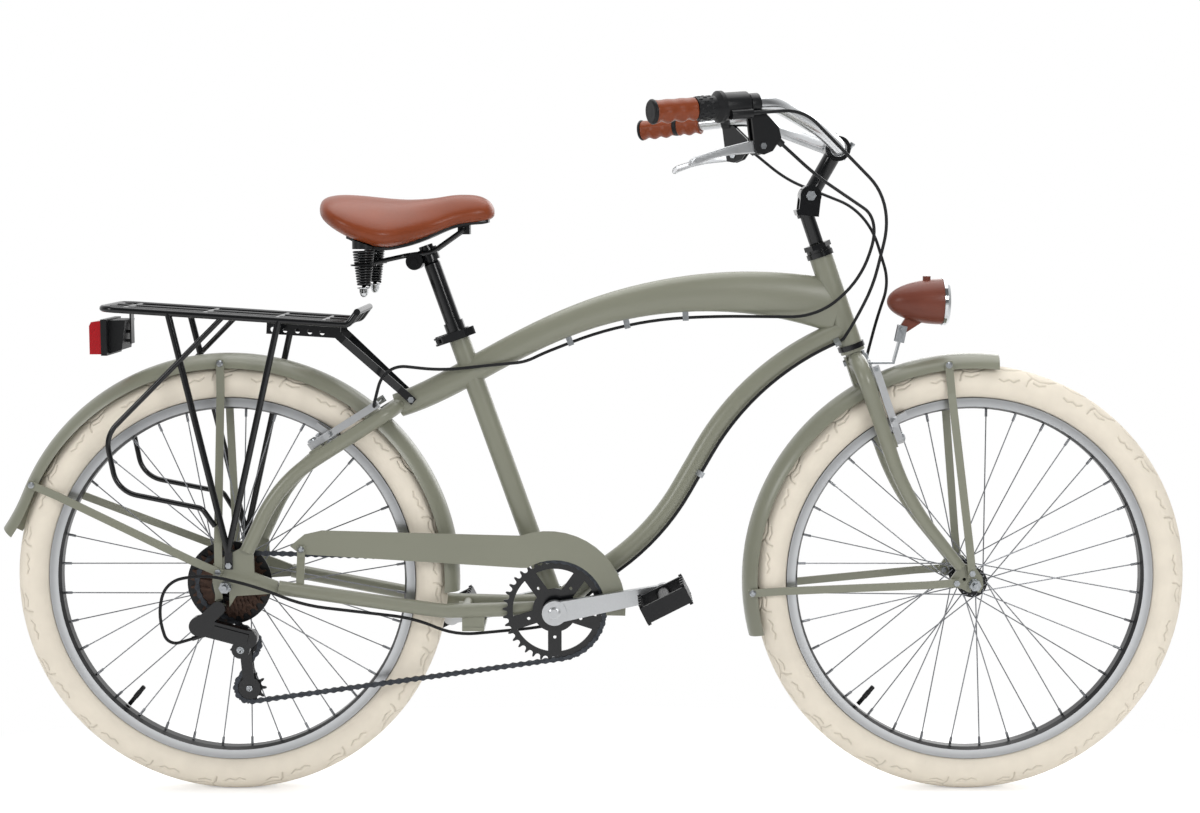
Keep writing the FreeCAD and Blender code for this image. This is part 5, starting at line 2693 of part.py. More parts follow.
def saddle_section(x, half, low, wide, shoulder, crown):
    """Closed outline across the saddle: flat below, bulged sides drawn in, arched crown."""
    foot = half * DRAWN_IN
    edge = half * SHOULDER
    left = [at(x, foot, low), at(x, half, wide), at(x, edge, shoulder)]
    right = [at(x, -edge, shoulder), at(x, -half, wide), at(x, -foot, low)]
    return Part.Wire([Part.LineSegment(right[2], left[0]).toShape(), Part.Arc(*left).toShape(),
                      Part.Arc(left[2], at(x, 0, crown), right[0]).toShape(), Part.Arc(*right).toShape()])


def saddle_cover():
    """Leather-covered cushion."""
    return node("saddle_cover", shaped("saddle_cover", Part.makeLoft(
        [saddle_section(*row) for row in SADDLE_SECTIONS], True)))


def saddle_base(cover):
    """Pan under the cushion with a seat for each spring and a lug that turns on the rails' bar."""
    thick = size.saddle_base_thick.value
    sections = []
    for x, half, low, *rest in [PAN_TAIL] + SADDLE_SECTIONS[3:-1]:
        across = half * DRAWN_IN * PAN_SHARE
        corners = [at(x, -across, low - thick), at(x, across, low - thick), at(x, across, low + thick),
                   at(x, -across, low + thick)]
        sections.append(Part.makePolygon(corners + corners[:1]))
    pieces = [shaped("SaddlePan", Part.makeLoft(sections, True))]
    for name, side in SIDES.items():
        pieces.append(drum(name + "SpringSeat", size.spring_top_radius + size.spring_wire,
                           size.saddle_base_thick * 4,
                           stand(at(size.spring_x, size.spring_y * side, size.spring_high))))
    lug_height = size.nose_bar_z - size.nose_lug
    pieces.append(block("NoseLug", size.nose_lug * 2.6, size.nose_lug_wide, size.nose_lug * 2.4,
                        stand(at(size.nose_bar_x, 0, lug_height))))
    bore = drum("NoseBore", size.rail_radius + size.running_gap, size.nose_lug_wide * 2,
                wheel_frame(at(size.nose_bar_x, -size.nose_lug_wide, size.nose_bar_z)))
    return node("saddle_base", cut("saddle_base", fuse("SaddlePanWhole", *pieces), bore, cover))


seat_post()
seat_clamp()
seat_clamp_lever()
saddle_rails()
saddle_springs()
saddle_base(saddle_cover())


# Control cables

def easy_bends(points, fixed):
    """Bend at each corner: a given one, or the largest that its two runs leave room for."""
    turns = [(corner - before).getAngle(after - corner)
             for before, corner, after in zip(points, points[1:], points[2:])]
    taken = {corner: bend * math.tan(turns[corner - 1] / 2) for corner, bend in fixed.items()}
    bends = []
    for corner in range(1, len(points) - 1):
        rooms = []
        for other in (corner - 1, corner + 1):
            length = (points[other] - points[corner]).Length
            rooms.append(length * BEND_SHARE if other not in taken else (length - taken[other]) * ROOM_LEFT)
        widest = min(size.cable_bend.value, min(rooms) / math.tan(turns[corner - 1] / 2))
        bends.append(fixed.get(corner, widest))
    return bends


BEND_SHARE = 0.48
ROOM_LEFT = 0.6


def cable(name, points, fixed=()):
    """Housing along straight runs joined by the widest arcs that fit or that follow a tube's bends."""
    return rod(name, points, easy_bends(points, dict(fixed)), size.cable_radius)


def wire_spot(brake, across=0.0):
    """Point on the straight wire between the tops of a brake's arms."""
    pivot, up, away = brake
    return pivot + up * size.brake_wire_rise.value + LEFT * num(across)


arm_face = size.brake_pivot_y + size.brake_arm_bow + size.brake_arm_half + size.running_gap


def brake_wire(name, brake, side):
    """Bare wire from the housing's end, through both arms, to its anchor outside the far one."""
    start = wire_spot(brake, arm_face * side)
    reach = arm_face * 2 + size.anchor_length
    wire = drum(name + "Wire", size.brake_wire, reach, stand(start, LEFT * -side))
    anchor = drum(name + "Anchor", size.anchor_radius, size.anchor_length,
                  stand(start - LEFT * (side * (arm_face * 2).value), LEFT * -side))
    return fuse(name + "WireWhole", wire, anchor)


def below_top_tube(station):
    """Point under the top tube at one of its stations."""
    spot, heading, half_high, half_wide = TOP_STATIONS[station]
    down = Vector(heading.z, 0, -heading.x)
    return spot + down * (num(half_high) + size.top_cable_gap.value)


DOWN_RUNS = [(second - first).normalize() for first, second in zip(DOWN_POINTS, DOWN_POINTS[1:])]
DOWN_NORMALS = [Vector(-run.z, 0, run.x) for run in DOWN_RUNS]


def beside_down_tube():
    """Corners of a line that runs below and to the right of the down tube at a steady distance."""
    gap = size.down_cable_drop.value
    across = LEFT * -size.down_cable_side.value
    corners = [DOWN_POINTS[0] + DOWN_RUNS[0] * DOWN_CABLE_START + DOWN_NORMALS[0] * gap + across]
    for index in range(1, len(DOWN_RUNS)):
        share = gap / (1 + DOWN_NORMALS[index - 1].dot(DOWN_NORMALS[index]))
        corners.append(DOWN_POINTS[index] + (DOWN_NORMALS[index - 1] + DOWN_NORMALS[index]) * share + across)
    corners.append(CRANK_AXLE - DOWN_RUNS[-1] * DOWN_CABLE_END + DOWN_NORMALS[-1] * gap + across)
    return corners


DOWN_CABLE_START = 12
DOWN_CABLE_END = 66
LEVER_LEAD = 70
TOP_CABLE = [below_top_tube(station) for station in (4, 3, 2, 1)]
DOWN_CABLE = beside_down_tube()
DOWN_CABLE_BENDS = [DOWN_BENDS[0] - size.down_cable_drop.value, DOWN_BENDS[1] + size.down_cable_drop.value]
DOWN_CABLE_REACHES = [bend * math.tan(before.getAngle(after) / 2)
                      for bend, before, after in zip(DOWN_CABLE_BENDS, DOWN_RUNS, DOWN_RUNS[1:])]
DERAILLEUR_LOOP = [(512, -13, 266), (470, -11, 257), (346, -34, 250), (285, -49, 280), (118, -77, 306),
                   (52, -94, 338), (-28, -94, 357), (-86, -94, 346), (-99, -94, 296), (-86, -90, 246)]


def rear_brake_cable():
    """From the right lever, past the head tube, under the top tube and out to the rear brake."""
    mouth, run = barrel_mouth(-1)
    side_y = arm_face + size.noodle_reach
    elbow = wire_spot(REAR_BRAKE, -side_y)
    points = [mouth, mouth + run * LEVER_LEAD, at(985, -95, 890), at(962, -58, 800), at(900, -33, 742)]
    points += TOP_CABLE
    points += [at(455, -14, 672), at(400, -25, 668), at(329, -27, 660), at(262, -56, 670),
               Vector(elbow.x + 12, elbow.y, elbow.z + 46), elbow, wire_spot(REAR_BRAKE, -arm_face)]
    return node("rear_brake_cable", group("rear_brake_cable", cable("RearBrakeHousing", points),
                                          brake_wire("RearBrake", REAR_BRAKE, -1)))


def front_brake_cable():
    """From the left lever, beside the headlight, to the front brake."""
    mouth, run = barrel_mouth(1)
    side_y = arm_face + size.noodle_reach
    elbow = wire_spot(FRONT_BRAKE, side_y)
    points = [mouth, mouth + run * LEVER_LEAD, at(995, 118, 900), at(1026, 86, 790),
              Vector(elbow.x + 18, elbow.y, elbow.z + 72), elbow, wire_spot(FRONT_BRAKE, arm_face)]
    return node("front_brake_cable", group("front_brake_cable", cable("FrontBrakeHousing", points),
                                           brake_wire("FrontBrake", FRONT_BRAKE, 1)))


def shift_cable():
    """From the shifter, past the head tube, under the down tube and along the stay to the derailleur."""
    mouth = port_mouth()
    points = [mouth, mouth + grip_axis(-1) * LEVER_LEAD, at(1000, -125, 915), at(978, -74, 790),
              at(954, -48, 735)]
    first = len(points) + 1
    points += DOWN_CABLE
    points += [at(*corner) for corner in DERAILLEUR_LOOP] + [SHIFT_STOP]
    fixed = {first: DOWN_CABLE_BENDS[0], first + 1: DOWN_CABLE_BENDS[1]}
    return node("shift_cable", group("shift_cable", cable("ShiftHousing", points, fixed)))


rear_brake_cable()
front_brake_cable()
shift_cable()


# Bolts and small fittings

def bolt_through(name, middle, axis, radius, reach, head, head_height):
    """Bolt centred on a point, with a hexagon head on one end and a nut on the other."""
    place = stand(middle - axis * num(reach), axis)
    shank = drum(name, radius, reach * 2, place)
    far_head = hexagon(name + "Head", head, head_height, shifted(place, reach * 2))
    nut = hexagon(name + "Nut", head, head_height, shifted(place, -head_height))
    return fuse(name + "Whole", shank, far_head, nut)


def side_bolt(name, spot, side, outer, inner, nutted=True):
    """Bolt across the bicycle: its head outside at one distance, its end or nut inside at another."""
    start = spot + LEFT * (side * num(inner))
    place = stand(start, LEFT * side, X_AXIS)
    pieces = [drum(name, size.bolt_radius, outer - inner, place),
              hexagon(name + "Head", size.bolt_head, size.bolt_head_height, shifted(place, outer - inner))]
    if nutted:
        pieces.append(hexagon(name + "Nut", size.bolt_head, size.bolt_head_height,
                              shifted(place, -size.bolt_head_height)))
    return fuse(name + "Whole", *pieces)


def stay_screws(name, axle, angles):
    """Round-headed screws that hold the stays to a fender's flanks."""
    outer = (size.fender_section + size.stay_thick / 2).value
    screws = []
    for side_name, side in SIDES.items():
        for index, angle in enumerate(angles):
            spot = round_axle(axle, size.stay_screw_circle, angle, outer * side)
            screws.append(screw(f"{name}{side_name}Screw{index}", spot, LEFT * side, size.bolt_head,
                                size.bolt_head_height, size.fender_screw, size.stay_wide))
    return screws


def steering_bolts():
    """Pins and bolts of the levers, stem, lamp, fork crown and front fender, with the quill's wedge."""
    pieces = []
    for name, side in SIDES.items():
        place = lever_place(side)
        reach = size.lever_thick / 2 + size.running_gap + size.bracket_cheek
        pieces.append(bolt_through(name + "LeverPin", place.Base, place.Rotation.multVec(UP),
                                   size.lever_pin, reach, size.bolt_head, size.bolt_head_height * 0.6))
        for foot_name, (foot, angle) in FRONT_FEET.items():
            spot = FRONT_AXLE + Vector(num(foot[0]), 0, num(foot[1]))
            pieces.append(side_bolt(f"{name}{foot_name}StayBolt", spot, side,
                                    front_stay_y + size.stay_thick / 2, size.front_locknut_reach))
    cheek_reach = size.stem_knuckle_half + size.running_gap + size.stem_cheek_thick
    pieces.append(bolt_through("StemPivot", STEM_PIVOT, LEFT, size.stem_bolt, cheek_reach,
                               size.bolt_head * 1.6, size.bolt_head_height))
    for index, spot in enumerate(face_bolt_spots()):
        length = as_size(FACE_BOLT_LENGTH)
        pieces.append(fuse(f"FaceBolt{index}", drum(f"FaceShank{index}", size.bolt_radius, length, spot),
                           drum(f"FaceHead{index}", size.bolt_head * 0.8, size.bolt_head_height,
                                shifted(spot, length))))
    wedge_start = size.quill_depth + size.fit_gap
    top = -size.quill_top
    bolt = drum("QuillBolt", size.quill_bolt, wedge_start + size.wedge_length - top,
                stand(on_steer(top), STEER_DOWN))
    wedge = drum("QuillWedge", size.quill_radius, size.wedge_length,
                 stand(on_steer(wedge_start), STEER_DOWN))
    pieces.append(fuse("QuillBoltWhole", bolt, wedge))
    ear_reach = size.lamp_lug_half + size.running_gap + size.lamp_ear_thick
    pieces.append(bolt_through("LampPin", LAMP_PIVOT, LEFT, size.lamp_pin, ear_reach, size.bolt_head,
                               size.bolt_head_height))
    crown_reach = size.blade_radius + size.lamp_bracket_thick + size.fit_gap
    pieces.append(bolt_through("CrownBolt", on_steer(crown_drop), STEER_FORWARD, size.crown_bolt,
                               crown_reach, size.bolt_head, size.bolt_head_height))
    pieces += stay_screws("Front", FRONT_AXLE, (size.front_stay_angle, size.front_tail_angle))
    pieces += brake_caps("Front", FRONT_BRAKE)
    return node("steering_bolts", group("steering_bolts", *pieces))


def cable_guide(name, start, end, away, tube):
    """Bored lug between a tube and the cable under it, half way along one run of the cable."""
    middle = (start + end) / 2
    run = (end - start).normalize()
    root = middle - away * (size.guide_reach.value * 3)
    lug = block(name, size.guide_length, size.guide_width, size.guide_reach * 3 + size.guide_width * 0.55,
                stand(root, away, run))
    hole = drum(name + "Hole", size.cable_radius + size.fit_gap * 2, size.guide_length * 2,
                stand(middle - run * size.guide_length.value, run))
    return cut(name + "Fitted", lug, hole, tube)


def frame_fittings():
    """Cable guides, strut bosses, and the bolts of the rack, rear fender, guard and rear brake."""
    pieces = []
    down_core = doc.getObject("Down")
    for index, (start, end) in enumerate(zip(TOP_CABLE, TOP_CABLE[1:])):
        run = (end - start).normalize()
        pieces.append(cable_guide(f"TopGuide{index}", start, end, Vector(-run.z, 0, run.x), top_core))
    lengths = [(end - start).Length for start, end in zip(DOWN_CABLE, DOWN_CABLE[1:])]
    first_reach = (lengths[0] - DOWN_CABLE_REACHES[0]) * ROOM_LEFT
    last_reach = (lengths[-1] - DOWN_CABLE_REACHES[-1]) * ROOM_LEFT
    reaches = [first_reach, *DOWN_CABLE_REACHES, last_reach]
    for index, (start, end) in enumerate(zip(DOWN_CABLE, DOWN_CABLE[1:])):
        away = DOWN_NORMALS[index] * size.down_cable_drop.value - LEFT * size.down_cable_side.value
        straight = [start + DOWN_RUNS[index] * reaches[index], end - DOWN_RUNS[index] * reaches[index + 1]]
        pieces.append(cable_guide(f"DownGuide{index}", *straight, away.normalize(), down_core))
    strut_spot = at(size.strut_x, 0, STRUT_Z)
    rack_spot = REAR_AXLE + Vector(size.rack_bolt_x.value, 0, size.rack_bolt_rise.value)
    stay_spot_low = REAR_AXLE + Vector(size.stay_bolt_x.value, 0, size.stay_bolt_rise.value)
    for name, side in SIDES.items():
        boss = drum(name + "StrutBoss", size.strut_boss, size.strut_y, stand(strut_spot, LEFT * side),
                    size.bolt_radius + size.fit_gap)
        pieces.append(cut(name + "StrutBossFitted", boss, top_core))
        pieces.append(side_bolt(name + "StrutBolt", strut_spot, side, size.strut_y + size.stay_thick,
                                size.top_tail_side + size.running_gap, False))
        pieces.append(side_bolt(name + "RackBolt", rack_spot, side,
                                rear_face + size.fit_gap + size.rack_foot_thick, size.rear_locknut_reach))
        pieces.append(side_bolt(name + "StayBolt", stay_spot_low, side, rear_face + size.stay_thick * 2,
                                size.rear_locknut_reach))
    guard_face = size.guard_y + size.guard_thick + size.stay_thick
    pieces.append(screw("GuardScrew", at(size.guard_post_x, -guard_face, size.guard_post_z), -LEFT,
                        size.bolt_head, size.bolt_head_height, size.fender_screw, size.stay_thick * 2))
    pieces += stay_screws("Rear", REAR_AXLE, (size.rear_stay_angle, size.rear_tail_angle))
    pieces += brake_caps("Rear", REAR_BRAKE)
    return node("frame_fittings", group("frame_fittings", *pieces))


steering_bolts()
frame_fittings()


doc.recompute()
for thing in doc.Objects:
    if "Invalid" in thing.State or "Error" in thing.State:
        raise RuntimeError(f"{thing.Name} did not build: {thing.State}")
os.makedirs("parts", exist_ok=True)
for thing in NODES:
    if thing.Shape.isNull() or not thing.Shape.isValid():
        raise RuntimeError(f"{thing.Label} has no sound shape")
    thing.Shape.exportStep(f"parts/{thing.Label}.step")
print(len(NODES), "sub-parts written")
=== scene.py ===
import json
import math

import bpy
import numpy as np
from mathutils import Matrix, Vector


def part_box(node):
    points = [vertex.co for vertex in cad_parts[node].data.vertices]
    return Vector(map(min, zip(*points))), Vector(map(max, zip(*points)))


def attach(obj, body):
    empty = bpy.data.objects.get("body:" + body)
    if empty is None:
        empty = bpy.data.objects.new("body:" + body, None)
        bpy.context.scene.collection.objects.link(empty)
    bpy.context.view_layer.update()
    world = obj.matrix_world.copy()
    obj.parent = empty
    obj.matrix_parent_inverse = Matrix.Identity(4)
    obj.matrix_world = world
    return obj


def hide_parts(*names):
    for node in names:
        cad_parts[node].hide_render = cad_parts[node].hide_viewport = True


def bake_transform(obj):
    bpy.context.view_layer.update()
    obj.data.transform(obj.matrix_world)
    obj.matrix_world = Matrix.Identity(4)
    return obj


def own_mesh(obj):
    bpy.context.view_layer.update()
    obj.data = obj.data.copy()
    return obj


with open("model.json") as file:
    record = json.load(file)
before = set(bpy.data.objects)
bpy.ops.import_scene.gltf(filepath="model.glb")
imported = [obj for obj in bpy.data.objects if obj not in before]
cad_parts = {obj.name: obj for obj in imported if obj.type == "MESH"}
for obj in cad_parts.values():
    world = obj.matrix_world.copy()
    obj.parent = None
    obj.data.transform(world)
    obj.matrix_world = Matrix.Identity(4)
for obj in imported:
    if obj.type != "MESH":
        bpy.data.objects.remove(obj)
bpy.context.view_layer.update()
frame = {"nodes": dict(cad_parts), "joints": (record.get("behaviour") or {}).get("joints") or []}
NODES = frame["nodes"]
JOINTS = {joint["name"]: joint for joint in frame["joints"]}

bl_info = {
    "name": "Beach cruiser bicycle",
    "version": (1, 0, 0),
    "blender": (4, 5, 0),
    "location": "View3D > Sidebar > Cruiser",
    "description": "Tyres, saddle, grips, cables and finishes of a beach cruiser bicycle",
    "category": "Object",
}

MM = 0.001
WHEELS = {"front": JOINTS["front_wheel_spin"], "rear": JOINTS["rear_wheel_spin"]}
SIDES = {"right": -1, "left": 1}
WHITE = (1, 1, 1, 1)


def linear(code):
    """Linear red, green and blue of an sRGB hex colour."""
    shares = [int(code[start:start + 2], 16) / 255 for start in (0, 2, 4)]
    return tuple(share / 12.92 if share <= 0.04045 else ((share + 0.055) / 1.055) ** 2.4 for share in shares)


def opaque(code):
    """An sRGB hex colour as a linear one with full alpha."""
    return (*linear(code), 1)


def colour(code, name, description):
    """Colour property with an sRGB hex colour as its default."""
    return bpy.props.FloatVectorProperty(name=name, description=description, subtype="COLOR", size=3,
                                         min=0, max=1, default=linear(code))


def length(value, name, description):
    """Length property in metres with a default given in millimetres."""
    return bpy.props.FloatProperty(name=name, description=description, subtype="DISTANCE", unit="LENGTH",
                                   min=0, default=value * MM)


class CruiserColours(bpy.types.PropertyGroup):
    """Colours of the bicycle's finishes."""

    enamel: colour("808171", "Frame enamel", "Sage green of the frame, fork, fenders and chain guard")
    tyre: colour("E8DFCF", "Tyre rubber", "Cream of the tyres")
    leather: colour("7E3B1E", "Leather", "Brown of the saddle and grips")
    shell: colour("6E3B2E", "Headlight shell", "Brown of the headlight's painted shell")
    black: colour("0E0F11", "Black parts", "Black of the rack, stem, seat post and plastic parts")
    silver: colour("CFD1D3", "Silver parts", "Silver of the bar, cranks, brakes and bolts")
    red: colour("B4121C", "Tail light", "Red of the tail light's lens")
    floor: colour("F4F4F4", "Floor", "Pale floor under the bicycle")


class CruiserSizes(bpy.types.PropertyGroup):
    """Sizes of the pieces that are shaped here."""

    groove_depth: length(2.0, "Groove depth", "Depth of the grooves in the tread")
    groove_width: length(3.6, "Groove width", "Width of the grooves in the tread")
    groove_repeat: length(112, "Groove repeat", "Distance along the tyre after which its tread repeats")
    finger_step: length(21, "Finger step", "Distance between two finger rests of a grip")
    finger_depth: length(1.3, "Finger depth", "Depth of a grip's finger rests")
    grip_cap_rim: length(17.2, "Grip cap", "Radius of the rim of a grip's end cap")
    grain: length(1.1, "Leather grain", "Distance between two creases of the leather")
    camera_distance: length(3000, "Camera distance", "Distance from the camera to the middle plane")


def sizes():
    """The sizes in use."""
    return bpy.context.scene.cruiser_sizes


def hue(name):
    """A colour in use, with full alpha."""
    return (*getattr(bpy.context.scene.cruiser_colours, name), 1)


def add(tree, kind, settings=(), links=(), stops=()):
    """Add a node, give it its settings, join its inputs to other nodes' outputs and set a ramp's stops."""
    node = tree.nodes.new(kind)
    for name, value in dict(settings).items():
        if name in node.bl_rna.properties:
            setattr(node, name, value)
        else:
            node.inputs[name].default_value = value
    for name, source in dict(links).items():
        tree.links.new(source, node.inputs[name])
    if stops:
        elements = node.color_ramp.elements
        while len(elements) < len(stops):
            elements.new(0)
        for element, (spot, tone) in zip(elements, stops.items()):
            element.position = spot
            element.color = tone
    return node


def bare_tree(owner):
    """The emptied node tree of a material or a world."""
    owner.use_nodes = True
    owner.node_tree.nodes.clear()
    return owner.node_tree


def material(name, settings, links):
    """Material of one surface shader, whose linked inputs come from links, given a point's place."""
    made = bpy.data.materials.new(name)
    tree = bare_tree(made)
    place = add(tree, "ShaderNodeTexCoord").outputs["Object"]
    shader = add(tree, "ShaderNodeBsdfPrincipled", settings, links(tree, place))
    add(tree, "ShaderNodeOutputMaterial", links={"Surface": shader.outputs["BSDF"]})
    return made


def shade(code, factor):
    """A colour made lighter or darker by a factor."""
    return (*[min(1, part * factor) for part in code[:3]], 1)


def pitch(step):
    """Scale of a pattern that repeats after a distance in metres."""
    return 1 / step


def mottled(name, settings, step, detail, dark, light, gloss=None):
    """Material whose tone, and roughness where it has a span, follow noise of a size in millimetres."""
    def links(tree, place):
        cloud = add(tree, "ShaderNodeTexNoise", {"Scale": pitch(step * MM), "Detail": detail},
                    {"Vector": place})
        tint = add(tree, "ShaderNodeValToRGB", links={"Fac": cloud.outputs["Fac"]},
                   stops={0: dark, 1: light})
        found = {"Base Color": tint.outputs["Color"]}
        if gloss:
            rough = add(tree, "ShaderNodeMapRange", {"To Min": gloss[0], "To Max": gloss[1]},
                        {"Value": cloud.outputs["Fac"]})
            found["Roughness"] = rough.outputs["Result"]
        return found
    return material(name, settings, links)


# Powder coat: baked polyester with a faint orange peel, satin, that softens every highlight
def enamel():
    def links(tree, place):
        cloud = add(tree, "ShaderNodeTexNoise", {"Scale": pitch(180 * MM), "Detail": 3}, {"Vector": place})
        peel = add(tree, "ShaderNodeTexNoise", {"Scale": pitch(2.2 * MM), "Detail": 1}, {"Vector": place})
        bump = add(tree, "ShaderNodeBump", {"Strength": 0.06, "Distance": 0.2 * MM},
                   {"Height": peel.outputs["Fac"]})
        tint = add(tree, "ShaderNodeValToRGB", links={"Fac": cloud.outputs["Fac"]},
                   stops={0: shade(hue("enamel"), 0.93), 1: shade(hue("enamel"), 1.06)})
        return {"Base Color": tint.outputs["Color"], "Normal": bump.outputs["Normal"]}
    coat = {"Roughness": 0.36, "Coat Weight": 0.35, "Coat Roughness": 0.22}
    return material("powder_coat_sage", coat, links)


GROOVE = "groove"
# Ramp stop where the tyre's dust tones begin; below it the ramp runs down to the painted shade of the
# grooves
DUST_FLOOR = 0.3
# Rings of a wave texture over one unit of its scale
WAVE_RATE = 10 / math.pi


# Tyre rubber: moulded and vulcanised, matt, with faint broad rings left by the mould, a dusty uneven tone,
# and painted shade darkening the grooves of the tread
def tyre_rubber(centre):
    def links(tree, place):
        about = add(tree, "ShaderNodeMapping", {"Location": tuple(-part for part in centre)},
                    {"Vector": place})
        rings = add(tree, "ShaderNodeTexWave", {"wave_type": "RINGS", "rings_direction": "Y",
                                                "Scale": pitch(31.416 * MM) / WAVE_RATE},
                    {"Vector": about.outputs["Vector"]})
        dust = add(tree, "ShaderNodeTexNoise", {"Scale": pitch(30 * MM), "Detail": 4},
                   {"Vector": about.outputs["Vector"]})
        bump = add(tree, "ShaderNodeBump", {"Strength": 0.12, "Distance": 0.4 * MM},
                   {"Height": rings.outputs["Fac"]})
        groove = add(tree, "ShaderNodeAttribute", {"attribute_name": GROOVE})
        # Deeper in a groove the dust tone gives way to the ramp's darkest stop: painted shade in the hollows
        # of the tread
        depth = add(tree, "ShaderNodeMapRange", {"To Max": 0.0},
                    {"Value": groove.outputs["Fac"], "To Min": dust.outputs["Fac"]})
        tint = add(tree, "ShaderNodeValToRGB", links={"Fac": depth.outputs["Result"]},
                   stops={0: shade(hue("tyre"), 0.76), DUST_FLOOR: shade(hue("tyre"), 0.94),
                          1: shade(hue("tyre"), 1.06)})
        return {"Base Color": tint.outputs["Color"], "Normal": bump.outputs["Normal"]}
    return material("tyre_rubber_cream", {"Roughness": 0.62, "Specular IOR Level": 0.35}, links)


# Anodised aluminium, black: an even dyed film with a soft sheen
def anodised():
    return mottled("anodised_black", {"Specular IOR Level": 0.35, "Roughness": 0.3}, step=12, detail=4,
                   dark=shade(hue("black"), 0.85), light=shade(hue("black"), 1.3))


# Machined aluminium: the brake track, turned on a lathe, so its shine runs round the wheel in rings,
# which are drawn much broader than real ones so that they show
def machined(centre):
    def links(tree, place):
        about = add(tree, "ShaderNodeMapping", {"Location": tuple(-part for part in centre)},
                    {"Vector": place})
        rings = add(tree, "ShaderNodeTexWave", {"wave_type": "RINGS", "rings_direction": "Y",
                                                "Scale": pitch(20.106 * MM) / WAVE_RATE},
                    {"Vector": about.outputs["Vector"]})
        bump = add(tree, "ShaderNodeBump", {"Strength": 0.25, "Distance": 0.3 * MM},
                   {"Height": rings.outputs["Fac"]})
        tint = add(tree, "ShaderNodeValToRGB", links={"Fac": rings.outputs["Fac"]},
                   stops={0: shade(hue("silver"), 0.72), 1: hue("silver")})
        return {"Base Color": tint.outputs["Color"], "Normal": bump.outputs["Normal"]}
    return material("machined_brake_track", {"Metallic": 1.0, "Roughness": 0.33}, links)


# Polished aluminium: buffed on a wheel, so its mirror is clear with a faint uneven haze
def polished():
    return mottled("polished_aluminium", {"Metallic": 1.0}, step=14, detail=2,
                   dark=shade(hue("silver"), 0.96), light=hue("silver"), gloss=(0.2, 0.28))


# Cast and tumbled aluminium: brake and crank parts with a soft sheen, whose grain is drawn coarse to show
def tumbled():
    return mottled("tumbled_aluminium", {"Metallic": 1.0}, step=2.5, detail=3,
                   dark=shade(hue("silver"), 0.88), light=hue("silver"), gloss=(0.26, 0.42))


# Chrome plate: a mirror with a cool tint
def chrome():
    def links(tree, place):
        haze = add(tree, "ShaderNodeTexNoise", {"Scale": pitch(9 * MM), "Detail": 2}, {"Vector": place})
        gloss = add(tree, "ShaderNodeMapRange", {"To Min": 0.06, "To Max": 0.14},
                    {"Value": haze.outputs["Fac"]})
        return {"Roughness": gloss.outputs["Result"]}
    return material("chrome_plate", {"Metallic": 1.0, "Base Color": hue("silver")}, links)


# Gloss enamel, black: sprayed and baked over steel, with sharp highlights
def gloss_black():
    def links(tree, place):
        peel = add(tree, "ShaderNodeTexNoise", {"Scale": pitch(3 * MM), "Detail": 1}, {"Vector": place})
        bump = add(tree, "ShaderNodeBump", {"Strength": 0.04, "Distance": 0.2 * MM},
                   {"Height": peel.outputs["Fac"]})
        return {"Normal": bump.outputs["Normal"]}
    return material("gloss_enamel_black", {"Base Color": hue("black"), "Roughness": 0.16}, links)


# ABS, moulded: spark-eroded grain from the mould, drawn coarse to show, that dulls the black
def moulded():
    def links(tree, place):
        grit = add(tree, "ShaderNodeTexNoise", {"Scale": pitch(1.2 * MM), "Detail": 2}, {"Vector": place})
        bump = add(tree, "ShaderNodeBump", {"Strength": 0.18, "Distance": 0.2 * MM},
                   {"Height": grit.outputs["Fac"]})
        tint = add(tree, "ShaderNodeValToRGB", links={"Fac": grit.outputs["Fac"]},
                   stops={0: shade(hue("black"), 0.9), 1: shade(hue("black"), 1.5)})
        return {"Base Color": tint.outputs["Color"], "Normal": bump.outputs["Normal"]}
    return material("moulded_abs_black", {"Roughness": 0.36, "Specular IOR Level": 0.4}, links)


# Rubber and soft PVC, black: extruded or moulded, matt with a waxy bloom
def soft_black():
    return mottled("soft_pvc_black", {"Roughness": 0.45, "Specular IOR Level": 0.3}, step=15, detail=3,
                   dark=shade(hue("black"), 0.9), light=shade(hue("black"), 1.8))


# Chain steel: blued and oiled, dark, with a shine that comes and goes with the oil
def chain_steel():
    return mottled("blued_chain_steel", {"Metallic": 0.9}, step=5, detail=3,
                   dark=opaque("24262A"), light=opaque("5A5E64"), gloss=(0.25, 0.5))


# Phosphated steel: the sprockets' brown conversion coating, dull and slightly mottled
def phosphated():
    return mottled("phosphated_steel", {"Metallic": 0.6, "Roughness": 0.45}, step=6, detail=4,
                   dark=opaque("2B211D"), light=opaque("5C4336"))


# Stainless spoke wire: drawn through dies, so it is smooth and shines in a thin line along its length
def spoke_wire():
    return mottled("drawn_spoke_wire", {"Metallic": 1.0, "Roughness": 0.32}, step=4, detail=2,
                   dark=opaque("7A7C80"), light=opaque("9C9EA2"))


# Zinc-plated steel: bolts and axles, bluish and bright with a passivated haze
def zinc():
    return mottled("zinc_plated_steel", {"Metallic": 1.0, "Roughness": 0.3}, step=3, detail=3,
                   dark=opaque("8E9296"), light=opaque("C6CACD"))


